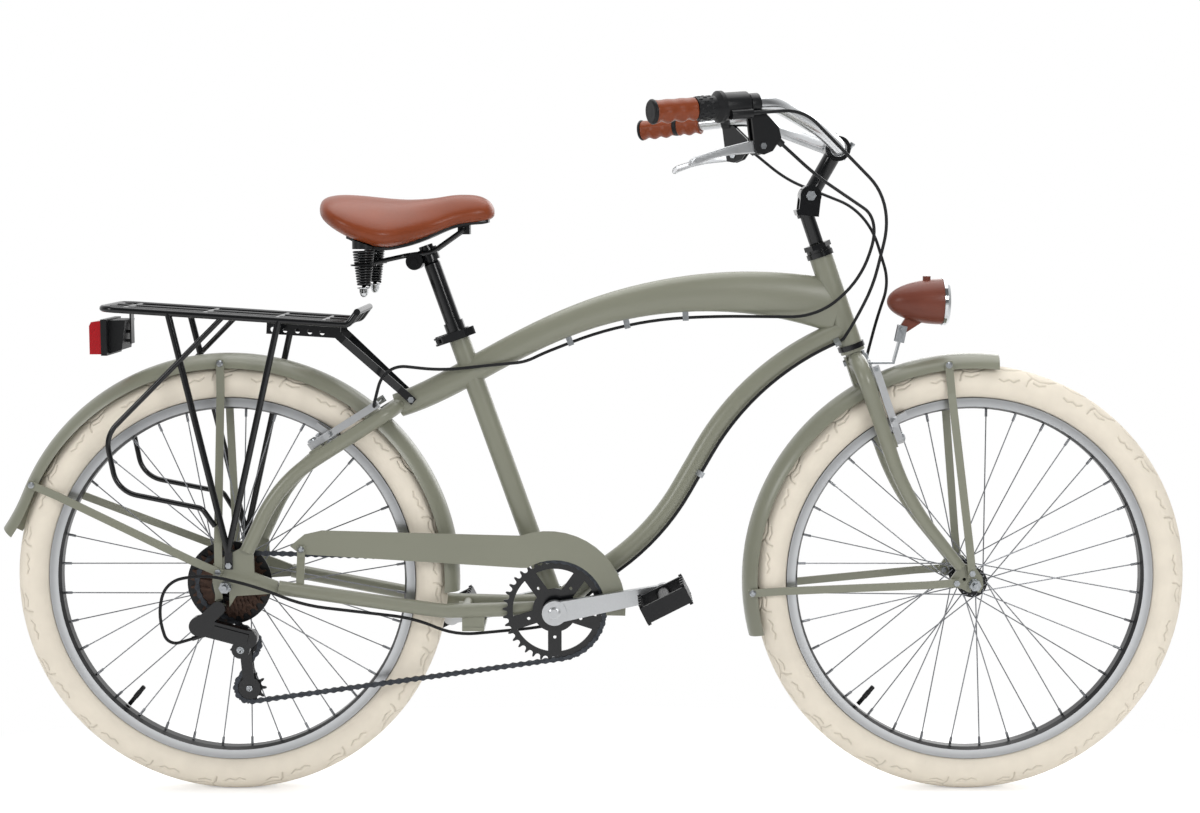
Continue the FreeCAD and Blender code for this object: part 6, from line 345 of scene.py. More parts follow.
# Coated leather: embossed grain of fine creases, waxed, worn lighter where it is rubbed
def leather(name, tone):
    def links(tree, place):
        creases = add(tree, "ShaderNodeTexVoronoi", {"feature": "DISTANCE_TO_EDGE",
                                                     "Scale": pitch(sizes().grain)}, {"Vector": place})
        wear = add(tree, "ShaderNodeTexNoise", {"Scale": pitch(45 * MM), "Detail": 4, "Roughness": 0.6},
                   {"Vector": place})
        bump = add(tree, "ShaderNodeBump", {"Strength": 0.25, "Distance": 0.25 * MM},
                   {"Height": creases.outputs["Distance"]})
        gloss = add(tree, "ShaderNodeMapRange", {"To Min": 0.26, "To Max": 0.38},
                    {"Value": wear.outputs["Fac"]})
        tint = add(tree, "ShaderNodeValToRGB", links={"Fac": wear.outputs["Fac"]},
                   stops={0: shade(tone, 0.82), 1: shade(tone, 1.22)})
        return {"Base Color": tint.outputs["Color"], "Roughness": gloss.outputs["Result"],
                "Normal": bump.outputs["Normal"]}
    return material(name, {"Specular IOR Level": 0.3}, links)


# Acrylic, red and clear: injection moulded with prisms behind, so light breaks up inside it
def acrylic(name, tone, through, rough):
    def links(tree, place):
        prisms = add(tree, "ShaderNodeTexVoronoi", {"feature": "F1", "distance": "CHEBYCHEV",
                                                    "Scale": pitch(3.5 * MM), "Randomness": 0.0},
                     {"Vector": place})
        bump = add(tree, "ShaderNodeBump", {"Strength": 0.35, "Distance": 0.6 * MM},
                   {"Height": prisms.outputs["Distance"]})
        return {"Normal": bump.outputs["Normal"]}
    clear = {"Base Color": tone, "Transmission Weight": through, "Roughness": rough, "IOR": 1.49}
    return material(name, clear, links)


FINISHES = {}


def finish(name):
    """One of the shared finishes, made the first time that it is asked for."""
    makers = {"enamel": enamel, "anodised": anodised, "polished": polished, "tumbled": tumbled,
              "chrome": chrome, "gloss_black": gloss_black, "moulded": moulded, "soft_black": soft_black,
              "zinc": zinc, "chain_steel": chain_steel, "phosphated": phosphated, "spoke_wire": spoke_wire,
              "leather": lambda: leather("coated_leather_brown", hue("leather")),
              "shell": lambda: leather("painted_shell_brown", hue("shell")),
              "red_lens": lambda: acrylic("red_acrylic", hue("red"), 0.25, 0.12),
              "clear_lens": lambda: acrylic("clear_acrylic", WHITE, 1.0, 0.03)}
    if name not in FINISHES:
        FINISHES[name] = makers[name]()
    return FINISHES[name]


def corners_of(mesh):
    """The places of a mesh's corners, one in each row."""
    places = np.empty(len(mesh.vertices) * 3)
    mesh.vertices.foreach_get("co", places)
    return places.reshape(-1, 3)


SAME_DIGITS = 6


def shells(mesh):
    """Polygons of each separate solid of a mesh, with the solid's lowest and highest corner."""
    points = corners_of(mesh)
    single, same = np.unique(np.round(points, SAME_DIGITS), axis=0, return_inverse=True)
    same = same.reshape(-1)
    parent = list(range(len(single)))

    def root(index):
        while parent[index] != index:
            parent[index] = parent[parent[index]]
            index = parent[index]
        return index

    for polygon in mesh.polygons:
        corners = [root(same[index]) for index in polygon.vertices]
        for corner in corners[1:]:
            parent[root(corner)] = root(corners[0])
    groups = {}
    for polygon in mesh.polygons:
        groups.setdefault(root(same[polygon.vertices[0]]), []).append(polygon.index)
    found = []
    for polygons in groups.values():
        spots = points[[index for polygon in polygons for index in mesh.polygons[polygon].vertices]]
        found.append((polygons, Vector(spots.min(0)), Vector(spots.max(0))))
    return found


def paint(names, *finishes, solid=None, face=None):
    """Give nodes their finishes: the first one, or the one that a test picks for each solid or each face."""
    for name in names.split():
        mesh = NODES[name].data
        mesh.materials.clear()
        for made in finishes:
            mesh.materials.append(made)
        chosen = np.zeros(len(mesh.polygons), dtype=np.int32)
        if solid:
            for polygons, low, high in shells(mesh):
                chosen[polygons] = solid(low, high)
        if face:
            chosen[:] = [face(polygon.center, polygon.normal) for polygon in mesh.polygons]
        mesh.polygons.foreach_set("material_index", chosen)


EDGE_TURN = math.radians(40)
EDGE_STEPS = 3
WELD_GAP = 0.01


def soften(names, width):
    """Round the sharp edges of nodes by a width in millimetres."""
    for name in names.split():
        weld = NODES[name].modifiers.new("Weld", "WELD")
        weld.merge_threshold = WELD_GAP * MM
        bevel = NODES[name].modifiers.new("Round", "BEVEL")
        bevel.width = width * MM
        bevel.segments = EDGE_STEPS
        bevel.limit_method = "ANGLE"
        bevel.angle_limit = EDGE_TURN


def piece(name, points, faces, made, smooth=True):
    """New mesh object in the row frame with one material."""
    mesh = bpy.data.meshes.new(name)
    mesh.from_pydata([tuple(point) for point in points], [], [tuple(face) for face in faces])
    mesh.materials.append(made)
    mesh.polygons.foreach_set("use_smooth", [smooth] * len(mesh.polygons))
    mesh.update()
    thing = bpy.data.objects.new(name, mesh)
    bpy.context.scene.collection.objects.link(thing)
    return thing


def grid_faces(rows, columns, wrap_rows=False):
    """Quads of a grid of points, whose rows are rings and whose last row may join the first."""
    faces = []
    for row in range(rows if wrap_rows else rows - 1):
        for column in range(columns):
            after = (row + 1) % rows
            beside = (column + 1) % columns
            faces.append((row * columns + column, after * columns + column, after * columns + beside,
                          row * columns + beside))
    return faces


def shifted(faces, start):
    """Faces whose corners are counted on from a start."""
    return [tuple(index + start for index in face) for face in faces]


def circle(steps):
    """Cosine and sine of each of a number of equal steps round a circle."""
    angles = [2 * math.pi * step / steps for step in range(steps)]
    return [(math.cos(angle), math.sin(angle)) for angle in angles]


def join(*things):
    """Join mesh objects into the first one."""
    with bpy.context.temp_override(active_object=things[0], selected_editable_objects=list(things)):
        bpy.ops.object.join()
    return things[0]


# Tread marks on one shoulder: points along the tyre and out from its middle line, in millimetres
TREAD_MARKS = [[(6, 12), (18, 20), (32, 23), (44, 20), (54, 11)],
               [(44, 20), (50, 27), (52, 36)],
               [(22, 27), (32, 31), (42, 29)],
               [(66, 30), (74, 35), (82, 32), (90, 36), (98, 33)],
               [(62, 6), (74, 12), (88, 15), (104, 11)]]
# Radius and thickness of the casing in millimetres, and counts of its points
TYRE_SECTION = 26.5
TYRE_WALL = 3.5
SECTION_STEPS = 130
INNER_STEPS = 16
ROUND_STEPS = 1800
BEAD_TURN = math.radians(152)


def tyre(end):
    """Balloon tyre: round casing open at the rim, with curved grooves on both shoulders."""
    low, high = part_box(f"{end}_tyre")
    centre = Vector(WHEELS[end]["pos_m"])
    outer = (high.x - low.x) / 2
    section = TYRE_SECTION * MM
    wall = TYRE_WALL * MM
    ring = outer - section
    repeat = outer * 2 * math.pi / round(outer * 2 * math.pi / sizes().groove_repeat)
    turn = np.linspace(0, 2 * math.pi, ROUND_STEPS, endpoint=False)[:, None]
    lean = np.linspace(-BEAD_TURN, BEAD_TURN, SECTION_STEPS)[None, :]
    along = (turn * outer) + 0 * lean
    out = np.abs(lean) * section + 0 * turn
    phase = np.where(lean > 0, along, along + repeat / 2) % repeat
    nearest = np.full(along.shape, repeat)
    for mark in TREAD_MARKS:
        for start, end_point in zip(mark, mark[1:]):
            first = np.array(start) * MM
            run = np.array(end_point) * MM - first
            for wrap in (-repeat, 0, repeat):
                east = phase - first[0] + wrap
                north = out - first[1]
                share = np.clip((east * run[0] + north * run[1]) / (run @ run), 0, 1)
                nearest = np.minimum(nearest, np.hypot(east - share * run[0], north - share * run[1]))
    half = sizes().groove_width / 2
    dip = sizes().groove_depth * np.clip(1 - (nearest / half) ** 2, 0, 1)
    inner = np.zeros((ROUND_STEPS, INNER_STEPS))
    radius = np.hstack([section - dip, inner + section - wall])
    lean = np.hstack([lean, np.linspace(BEAD_TURN, -BEAD_TURN, INNER_STEPS)[None, :]])
    far = ring + radius * np.cos(lean)
    points = np.stack([centre.x + far * np.cos(turn), centre.y + radius * np.sin(lean),
                       centre.z + far * np.sin(turn)], axis=-1)
    columns = SECTION_STEPS + INNER_STEPS
    made = piece(f"{end}_tyre_treaded", points.reshape(-1, 3),
                 grid_faces(ROUND_STEPS, columns, wrap_rows=True), tyre_rubber(centre))
    # Each point's share of the groove depth, which the tyre's material turns into painted shade
    depth = np.hstack([dip / sizes().groove_depth, inner]).ravel()
    made.data.attributes.new(GROOVE, "FLOAT", "POINT").data.foreach_set("value", depth)
    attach(made, f"{end}_wheel")
    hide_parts(f"{end}_tyre")


class CRUISER_OT_tyres(bpy.types.Operator):
    """Make the two treaded tyres and their valves."""

    bl_idname = "cruiser.tyres"
    bl_label = "Tyres"

    def execute(self, context):
        for end in WHEELS:
            tyre(end)
            valve(end)
        return {"FINISHED"}


def lathe(name, outline, origin, axis, made, steps=40):
    """Body of revolution from (height, radius) points in millimetres, about an axis through a point."""
    turn = Vector((0, 0, 1)).rotation_difference(Vector(axis)).to_matrix()
    points = [Vector(origin) + turn @ Vector((radius * east, radius * north, height)) * MM
              for height, radius in outline for east, north in circle(steps)]
    return piece(name, points, grid_faces(len(outline), steps), made)


VALVE_TURN = math.radians(130)
VALVE_FOOT = 262
VALVE_STEPS = 20
VALVE_OUTLINE = [(0, 0), (0, 3.4), (14, 3.4), (15, 4.0), (26, 4.0), (27, 3.6), (36, 3.6), (37, 2.6), (37, 0)]


def valve(end):
    """Rubber valve stem with its cap, which points at the hub."""
    centre = Vector(WHEELS[end]["pos_m"])
    out = Vector((math.cos(VALVE_TURN), 0, -math.sin(VALVE_TURN)))
    foot = centre + out * VALVE_FOOT * MM
    made = lathe(f"{end}_valve", VALVE_OUTLINE, foot, -out, finish("soft_black"), VALVE_STEPS)
    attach(made, f"{end}_wheel")


# Saddle sections from tail to nose, in millimetres from the rear axle:
# x, half width, lower edge, height of the greatest width, shoulder, crown
SADDLE_SECTIONS = [(146, 38, 897, 905, 913, 918), (156, 70, 886, 900, 915, 924),
                   (176, 92, 872, 890, 912, 927), (206, 104, 858, 878, 904, 926),
                   (246, 104, 848, 868, 896, 922), (280, 84, 854, 871, 897, 920),
                   (315, 56, 867, 880, 902, 922), (350, 42, 881, 893, 912, 927),
                   (382, 36, 886, 899, 916, 926), (400, 28, 889, 900, 912, 918),
                   (408, 14, 895, 900, 904, 907)]
SADDLE_ROWS = 64
SADDLE_SIDE = 9
SADDLE_TOP = 17
SADDLE_FOOT = 9
DRAWN_IN = 0.8
SHOULDER = 0.72
EASE_SHARE = 0.5
EASE_ROUNDS = 4


def smooth_row(share):
    """Section at a share of the saddle's length, on a curve through the given sections."""
    spot = share * (len(SADDLE_SECTIONS) - 1)
    index = min(int(spot), len(SADDLE_SECTIONS) - 2)
    part = spot - index
    rows = [np.array(SADDLE_SECTIONS[max(0, min(len(SADDLE_SECTIONS) - 1, index + step))], float)
            for step in (-1, 0, 1, 2)]
    before, first, second, after = rows
    return first + 0.5 * part * (second - before + part * (
        2 * before - 5 * first + 4 * second - after + part * (3 * (first - second) + after - before)))


def arc_through(first, middle, last, count):
    """Points on the parabola-like arc through three points of a section, without the last."""
    first, middle, last = np.array(first), np.array(middle), np.array(last)
    steps = np.linspace(0, 1, count, endpoint=False)[:, None]
    control = 2 * middle - (first + last) / 2
    return (1 - steps) ** 2 * first + 2 * steps * (1 - steps) * control + steps ** 2 * last


class CRUISER_OT_saddle(bpy.types.Operator):
    """Make the padded leather saddle."""

    bl_idname = "cruiser.saddle"
    bl_label = "Saddle"

    def execute(self, context):
        rear = WHEELS["rear"]["pos_m"][0]
        points = []
        for row in range(SADDLE_ROWS):
            x, half, low, wide, shoulder, crown = smooth_row(row / (SADDLE_ROWS - 1))
            foot = half * DRAWN_IN
            edge = half * SHOULDER
            ring = np.vstack([arc_through((-foot, low), (0, low), (foot, low), SADDLE_FOOT),
                              arc_through((foot, low), (half, wide), (edge, shoulder), SADDLE_SIDE),
                              arc_through((edge, shoulder), (0, crown), (-edge, shoulder), SADDLE_TOP),
                              arc_through((-edge, shoulder), (-half, wide), (-foot, low), SADDLE_SIDE)])
            points += [(rear + x * MM, across * MM, rise * MM) for across, rise in ring]
        columns = SADDLE_FOOT + 2 * SADDLE_SIDE + SADDLE_TOP
        faces = [face[::-1] for face in grid_faces(SADDLE_ROWS, columns)]
        for row, turn in ((0, 1), (SADDLE_ROWS - 1, -1)):
            ring = list(range(row * columns, (row + 1) * columns))[::turn]
            middle = len(points)
            points.append(tuple(np.mean([points[index] for index in ring], axis=0)))
            faces += [(ring[index], ring[(index + 1) % columns], middle) for index in range(columns)]
        made = piece("saddle_cushion", points, faces, finish("leather"))
        ease = made.modifiers.new("Ease", "SMOOTH")
        ease.factor = EASE_SHARE
        ease.iterations = EASE_ROUNDS
        divide = made.modifiers.new("Divide", "SUBSURF")
        divide.levels = 1
        divide.render_levels = 1
        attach(made, "saddle")
        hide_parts("saddle_cover")
        return {"FINISHED"}


# Springs in millimetres, from the rear axle, the middle plane and the floor
SPRING_X = 216
SPRING_Y = 72
SPRING_LOW = 789
SPRING_HIGH = 846
SPRING_WAIST = 822
SPRING_WIRE = 1.75
SPRING_PITCH = 4.0
SPRING_RADII = {"top": 15.1, "waist": 12.6, "foot": 8.3}
SPRING_END = 2.3
TURN_STEPS = 28
WIRE_STEPS = 10
SPRING_BOLT = [(-15, 0), (-14.6, 2.2), (-13, 4.4), (-10, 5.8), (-8, 6.2), (-8, 6.6), (-2.2, 6.6), (-2, 9.6),
               (-0.2, 9.9), (0, 9.4), (0, 3.0), (48, 3.0), (48, 0)]


def coil(side):
    """Points and faces of one coil of round wire, narrow at its foot."""
    low = SPRING_LOW + SPRING_END
    high = SPRING_HIGH - SPRING_END
    heights = np.linspace(low, high, int((high - low) / SPRING_PITCH * TURN_STEPS))
    radii = np.interp(heights, [SPRING_LOW, SPRING_WAIST, SPRING_HIGH],
                      [SPRING_RADII["foot"], SPRING_RADII["waist"], SPRING_RADII["top"]])
    angles = (heights - low) / SPRING_PITCH * 2 * math.pi
    ring = np.linspace(0, 2 * math.pi, WIRE_STEPS, endpoint=False)
    rear = WHEELS["rear"]["pos_m"][0] / MM
    far = radii[:, None] + SPRING_WIRE * np.cos(ring)
    east = rear + SPRING_X + far * np.cos(angles[:, None])
    north = SPRING_Y * side + far * np.sin(angles[:, None])
    rise = heights[:, None] + SPRING_WIRE * np.sin(ring)
    points = np.stack([east, north, rise], axis=-1).reshape(-1, 3) * MM
    faces = [face[::-1] for face in grid_faces(len(heights), WIRE_STEPS)]
    faces.append(tuple(range(WIRE_STEPS)))
    faces.append(tuple(range(len(points) - WIRE_STEPS, len(points)))[::-1])
    return points, faces


class CRUISER_OT_springs(bpy.types.Operator):
    """Make the saddle's two coil springs with their bolts and acorn nuts."""

    bl_idname = "cruiser.springs"
    bl_label = "Saddle springs"

    def execute(self, context):
        rear = WHEELS["rear"]["pos_m"][0]
        coils = []
        bolts = []
        for name, side in SIDES.items():
            coils.append(piece(f"{name}_coil", *coil(side), finish("gloss_black")))
            foot = (rear + SPRING_X * MM, SPRING_Y * side * MM, SPRING_LOW * MM)
            bolts.append(lathe(f"{name}_spring_bolt", SPRING_BOLT, foot, (0, 0, 1), finish("chrome")))
        springs = join(*coils)
        springs.name = "saddle_coils"
        nuts = join(*bolts)
        nuts.name = "spring_bolts"
        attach(springs, "seat")
        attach(nuts, "seat")
        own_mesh(springs)
        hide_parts("saddle_springs")
        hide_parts("saddle_springs")
        return {"FINISHED"}


# Grips in millimetres, and the seam's turn and width in radians
GRIP_RADIUS = 15.5
GRIP_BORE = 11.4
GRIP_STEPS = 48
GRIP_ROW = 0.75
GRIP_EDGE = 2.0
GRIP_EDGE_DROP = 0.8
RIPPLE_ABOVE = 0.25
RIPPLE_SPREAD = 0.7
SEAM_TURN = 1.5 * math.pi
SEAM_WIDTH = 0.06
SEAM_DEPTH = 0.5
# Stretches of each grip's leather and rubber, in millimetres from the end of the bar
LEATHER_RUNS = {"right": [(0, 62)], "left": [(0, 58), (66, 105)]}
RUBBER_RUNS = {"left": [(58, 66)]}


def grip_frame(side):
    """Bar end, the way along the grip, and the way down across it, for one side."""
    joint = JOINTS["shifter_twist"]
    start = Vector(joint["pos_m"])
    along = Vector(joint["axis"])
    start.y *= -side
    along.y *= -side
    down = (Vector((0, 0, -1)) - along * -along.z).normalized()
    return start, along, down


def sleeve(name, side, begin, end, made, ripple):
    """Sleeve on the bar from one place to another, rippled for the fingers on its lower side."""
    start, along, down = grip_frame(side)
    across = along.cross(down)
    ways = [down * east + across * north for east, north in circle(GRIP_STEPS)]
    rows = int((end - begin) / GRIP_ROW)
    points = []
    for row in range(rows + 1):
        spot = begin + (end - begin) * row / rows
        edge = min(spot - begin, end - spot, GRIP_EDGE) / GRIP_EDGE
        rim = GRIP_RADIUS - GRIP_EDGE_DROP * (1 - edge ** 0.5)
        wave = math.cos(2 * math.pi * spot * MM / sizes().finger_step)
        for step, way in enumerate(ways):
            angle = 2 * math.pi * step / GRIP_STEPS
            under = max(0.0, math.cos(angle)) ** RIPPLE_SPREAD
            seam = SEAM_DEPTH * math.exp(-((angle - SEAM_TURN) / SEAM_WIDTH) ** 2)
            radius = rim + ripple * (wave * (under + RIPPLE_ABOVE) - seam)
            points.append(start + (along * spot + way * radius) * MM)
    for spot in (end, begin):
        points += [start + (along * spot + way * GRIP_BORE) * MM for way in ways]
    return piece(name, points, grid_faces(rows + 3, GRIP_STEPS, wrap_rows=True), made)


class CRUISER_OT_grips(bpy.types.Operator):
    """Make the leather grips with their rubber bands and end caps."""

    bl_idname = "cruiser.grips"
    bl_label = "Grips"

    def execute(self, context):
        ripple = sizes().finger_depth / MM
        skins = []
        trims = []
        for name, side in SIDES.items():
            for begin, end in LEATHER_RUNS[name]:
                skins.append(sleeve(f"{name}_grip_{begin}", side, begin, end, finish("leather"), ripple))
            for begin, end in RUBBER_RUNS.get(name, []):
                trims.append(sleeve(f"{name}_band", side, begin, end, finish("soft_black"), 0.0))
            start, along = grip_frame(side)[:2]
            rim = sizes().grip_cap_rim / MM
            cap = [(-4.8, 0), (-4.8, 7.0), (-4.6, 11.0), (-5.0, 14.0), (-4.6, 15.4), (-3.4, rim - 0.7),
                   (-2.4, rim), (-0.6, rim), (0.2, rim - 0.4), (0.4, 15.0), (0.4, 0)]
            trims.append(lathe(f"{name}_cap", cap, start, along, finish("soft_black"), GRIP_STEPS))
        grips = join(*skins)
        grips.name = "leather_grips"
        bands = join(*trims)
        bands.name = "grip_rubbers"
        for thing, slot in ((grips, "leather"), (bands, "black_rubber")):
            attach(thing, "steering")
            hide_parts("grips")
        return {"FINISHED"}


# Ribs in millimetres, with their rows counted from the end of the bar
RIB_ROWS = (68, 76, 84)
RIB_COUNT = 13
RIB_LENGTH = 6.6
RIB_WIDTH = 3.6
RIB_HEIGHT = 1.3
RIB_FOOT = 15.9
RIB_RINGS = 5
RIB_STEPS = 14


class CRUISER_OT_shifter_ribs(bpy.types.Operator):
    """Make the raised oval ribs around the shifter's turning sleeve."""

    bl_idname = "cruiser.shifter_ribs"
    bl_label = "Shifter ribs"

    def execute(self, context):
        start, along, down = grip_frame(SIDES["right"])
        across = along.cross(down)
        points = []
        faces = []
        for row, spot in enumerate(RIB_ROWS):
            for count in range(RIB_COUNT):
                angle = 2 * math.pi * (count + row / 2) / RIB_COUNT
                out = down * math.cos(angle) + across * math.sin(angle)
                beside = across * math.cos(angle) - down * math.sin(angle)
                faces += shifted(grid_faces(RIB_RINGS, RIB_STEPS), len(points))
                for ring in range(RIB_RINGS):
                    rise = math.pi / 2 * ring / (RIB_RINGS - 1)
                    middle = along * spot + out * (RIB_FOOT + RIB_HEIGHT * math.sin(rise))
                    for east, north in circle(RIB_STEPS):
                        flat = along * RIB_LENGTH / 2 * east + beside * RIB_WIDTH / 2 * north
                        points.append(start + MM * (middle + flat * math.cos(rise)))
        made = piece("shifter_ribs", points, faces, finish("soft_black"))
        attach(made, "shifter_twist_grip")
        return {"FINISHED"}


# Screw head with a socket: height in millimetres and share of its radius
SCREW_HEAD = [(1.0, 0.0), (1.0, 0.45), (2.3, 0.5), (2.3, 0.85), (1.8, 1.0), (-0.5, 1.0)]
SCREW_STEPS = 24
# Joint at the screw's place, node that carries it, body it rides, and its radius
SCREWS = [("guide_pulley_spin", "derailleur_cage", "derailleur_cage", 4.5),
          ("tension_pulley_spin", "derailleur_cage", "derailleur_cage", 5.0),
          ("derailleur_cage_swing", "derailleur_body", "frame", 6.0)]


class CRUISER_OT_screws(bpy.types.Operator):
    """Make the screw heads on the derailleur's outer side."""

    bl_idname = "cruiser.screws"
    bl_label = "Derailleur screws"

    def execute(self, context):
        context.view_layer.update()
        for joint, node, body, wide in SCREWS:
            spot = Vector(JOINTS[joint]["pos_m"])
            spot.y = -1
            met, place = NODES[node].ray_cast(spot, Vector((0, 1, 0)))[:2]
            if not met:
                raise RuntimeError(f"no face of {node} carries the screw of {joint}")
            outline = [(rise, share * wide) for rise, share in SCREW_HEAD]
            made = lathe(f"{joint}_screw", outline, place, (0, -1, 0), finish("zinc"), SCREW_STEPS)
            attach(made, body)
        return {"FINISHED"}


class CRUISER_OT_cables(bpy.types.Operator):
    """Finish the three cables, and put copies of two of them, baked where they stand, in place of their
    nodes.
    """

    bl_idname = "cruiser.cables"
    bl_label = "Cables"

    def execute(self, context):
        for name in ("rear_brake_cable", "shift_cable", "front_brake_cable"):
            paint(name, finish("soft_black"), finish("zinc"), solid=is_wire)
        for name in ("rear_brake_cable", "shift_cable"):
            made = bpy.data.objects.new(f"bending_{name}", NODES[name].data.copy())
            context.scene.collection.objects.link(made)
            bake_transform(made)
            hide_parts(name)
        return {"FINISHED"}


# Chain in millimetres: its links, and how far around the guide pulley it goes with the cage
CHAIN_PITCH = 12.7
PLATE_THICK = 0.8
PLATE_HALF = 4.1
PLATE_WAIST = 2.5
PLATE_ROWS = 17
RIVET_RADIUS = 1.8
ROLLER_RADIUS = 3.8
PIN_STEPS = 16
PULLEY_REACH = 32


def link_frame(spots):
    """Middle of a link and the way along it, from the points of its solid."""
    flat = spots[:, [0, 2]]
    middle = (flat.min(0) + flat.max(0)) / 2
    away = flat - flat.mean(0)
    values, ways = np.linalg.eigh(away.T @ away)
    return middle, ways[:, np.argmax(values)]


def waisted_plate(middle, way, low, high):
    """Points of a link plate: two round ends joined by a waist, between two depths."""
    reach = (CHAIN_PITCH / 2 + PLATE_HALF) * np.cos(np.linspace(math.pi, 0, PLATE_ROWS))
    past = np.clip(np.abs(reach) - CHAIN_PITCH / 2, 0, PLATE_HALF)
    swell = (1 - np.cos(2 * math.pi * reach / CHAIN_PITCH)) / 2
    half = np.where(past > 0, np.sqrt(PLATE_HALF ** 2 - past ** 2),
                    PLATE_WAIST + (PLATE_HALF - PLATE_WAIST) * swell)
    across = np.array([-way[1], way[0]])
    points = []
    for along, rise in zip(reach * MM, half * MM):
        for side, depth in ((1, low), (1, high), (-1, high), (-1, low)):
            spot = middle + way * along + across * rise * side
            points.append((spot[0], depth, spot[1]))
    return points


class CRUISER_OT_chain(bpy.types.Operator):
    """Make the chain's waisted plates, rollers and rivets on the links of its node."""

    bl_idname = "cruiser.chain"
    bl_label = "Chain"

    def execute(self, context):
        mesh = NODES["chain"].data
        places = corners_of(mesh)
        depth_middle = (places[:, 1].min() + places[:, 1].max()) / 2
        thick = PLATE_THICK * MM
        guide = JOINTS["guide_pulley_spin"]["pos_m"]
        runs = {"sprocket": ([], []), "cage": ([], [])}

        def put(rows, columns, spots):
            points, faces = runs[run]
            faces.extend(shifted(grid_faces(rows, columns), len(points)))
            points.extend(spots)

        def pin(centre, radius, low, high):
            outline = ((low, 0), (low, radius), (high, radius), (high, 0))
            put(len(outline), PIN_STEPS, [(centre[0] + wide * east, depth, centre[1] + wide * north)
                                          for depth, wide in outline for east, north in circle(PIN_STEPS)])

        for polygons, low, high in shells(mesh):
            corners = sorted({index for polygon in polygons for index in mesh.polygons[polygon].vertices})
            middle, way = link_frame(places[corners])
            run = "cage" if middle[1] < guide[2] + PULLEY_REACH * MM else "sprocket"
            ends = [middle + way * CHAIN_PITCH / 2 * MM * side for side in (-1, 1)]
            if high.y - low.y > 3 * thick:
                for start in (low.y, high.y - thick):
                    put(PLATE_ROWS, 4, waisted_plate(middle, way, start, start + thick))
                for end in ends:
                    pin(end, ROLLER_RADIUS * MM, low.y + thick, high.y - thick)
            else:
                start = low.y if low.y > depth_middle else high.y - thick
                put(PLATE_ROWS, 4, waisted_plate(middle, way, start, start + thick))
                for end in ends:
                    pin(end, RIVET_RADIUS * MM, low.y, high.y)
        for name, (points, faces) in runs.items():
            made = piece(f"chain_{name}_links", points, faces, finish("chain_steel"), smooth=False)
            if name == "cage":
                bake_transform(made)
            else:
                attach(made, "frame")
            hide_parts("chain")
        return {"FINISHED"}


WIRE_SPAN = 0.2


def is_wire(low, high):
    """1 for a bare wire, which is short beside its housing."""
    return int((high - low).length < WIRE_SPAN)


class CRUISER_OT_frame_finish(bpy.types.Operator):
    """Finish the frame, fork, fenders, guard and their fittings."""

    bl_idname = "cruiser.frame_finish"
    bl_label = "Frame"

    def execute(self, context):
        paint("main_frame rear_frame fork rear_fender front_fender chain_guard", finish("enamel"))
        paint("front_fender_stays rear_fender_stays", finish("enamel"))
        paint("frame_fittings steering_bolts", finish("zinc"))
        paint("bearing_cups headset_nuts stem rear_rack saddle_rails", finish("gloss_black"))
        paint("seat_post seat_clamp_lever seat_clamp", finish("gloss_black"))
        paint("saddle_base", finish("moulded"))
        return {"FINISHED"}


# A brake track's least distance from the middle plane in metres, and how squarely it faces the side
TRACK_FACE = 0.0155
FLAT = 0.99


def on_track(spot, normal):
    """1 for a face of the flat brake track on a rim's side."""
    return int(abs(normal.y) > FLAT and abs(spot.y) > TRACK_FACE)


class CRUISER_OT_wheel_finish(bpy.types.Operator):
    """Finish the rims, spokes, hubs and axles."""

    bl_idname = "cruiser.wheel_finish"
    bl_label = "Wheels"

    def execute(self, context):
        for end, joint in WHEELS.items():
            paint(f"{end}_rim", finish("anodised"), machined(joint["pos_m"]), face=on_track)
            paint(f"{end}_spokes", finish("spoke_wire"))
            paint(f"{end}_hub", finish("anodised"))
            paint(f"{end}_axle", finish("zinc"))
        return {"FINISHED"}


CARRIER_DEPTH = 0.01


def is_carrier(low, high):
    """1 for the sprockets' carrier with its spoke guard, which is deeper than a sprocket is thick."""
    return int(high.y - low.y > CARRIER_DEPTH)


class CRUISER_OT_drive_finish(bpy.types.Operator):
    """Finish the cranks, pedals, chainring, sprockets and derailleur."""

    bl_idname = "cruiser.drive_finish"
    bl_label = "Drive train"

    def execute(self, context):
        paint("crank_arms", finish("tumbled"))
        paint("chainring", finish("gloss_black"))
        paint("sprockets", finish("phosphated"), finish("moulded"), solid=is_carrier)
        paint("right_pedal left_pedal guide_pulley tension_pulley", finish("moulded"))
        paint("derailleur_body derailleur_cage", finish("gloss_black"))
        soften("derailleur_body", 2.5)
        soften("crank_arms right_pedal left_pedal", 1.5)
        return {"FINISHED"}


PAD_HEIGHT = 0.03


def is_pad(low, high):
    """1 for a brake pad, which is lower than its arm is tall."""
    return int(high.z - low.z < PAD_HEIGHT)


class CRUISER_OT_control_finish(bpy.types.Operator):
    """Finish the bar, levers, shifter and brakes."""

    bl_idname = "cruiser.control_finish"
    bl_label = "Controls"

    def execute(self, context):
        paint("handlebar", finish("polished"))
        paint("right_brake_lever left_brake_lever", finish("tumbled"))
        paint("bar_controls", finish("moulded"))
        paint("shifter_twist_grip", finish("soft_black"))
        paint("rear_right_brake_arm rear_left_brake_arm front_right_brake_arm front_left_brake_arm",
              finish("tumbled"), finish("soft_black"), solid=is_pad)
        soften("right_brake_lever left_brake_lever", 2.0)
        soften("bar_controls stem", 1.6)
        return {"FINISHED"}


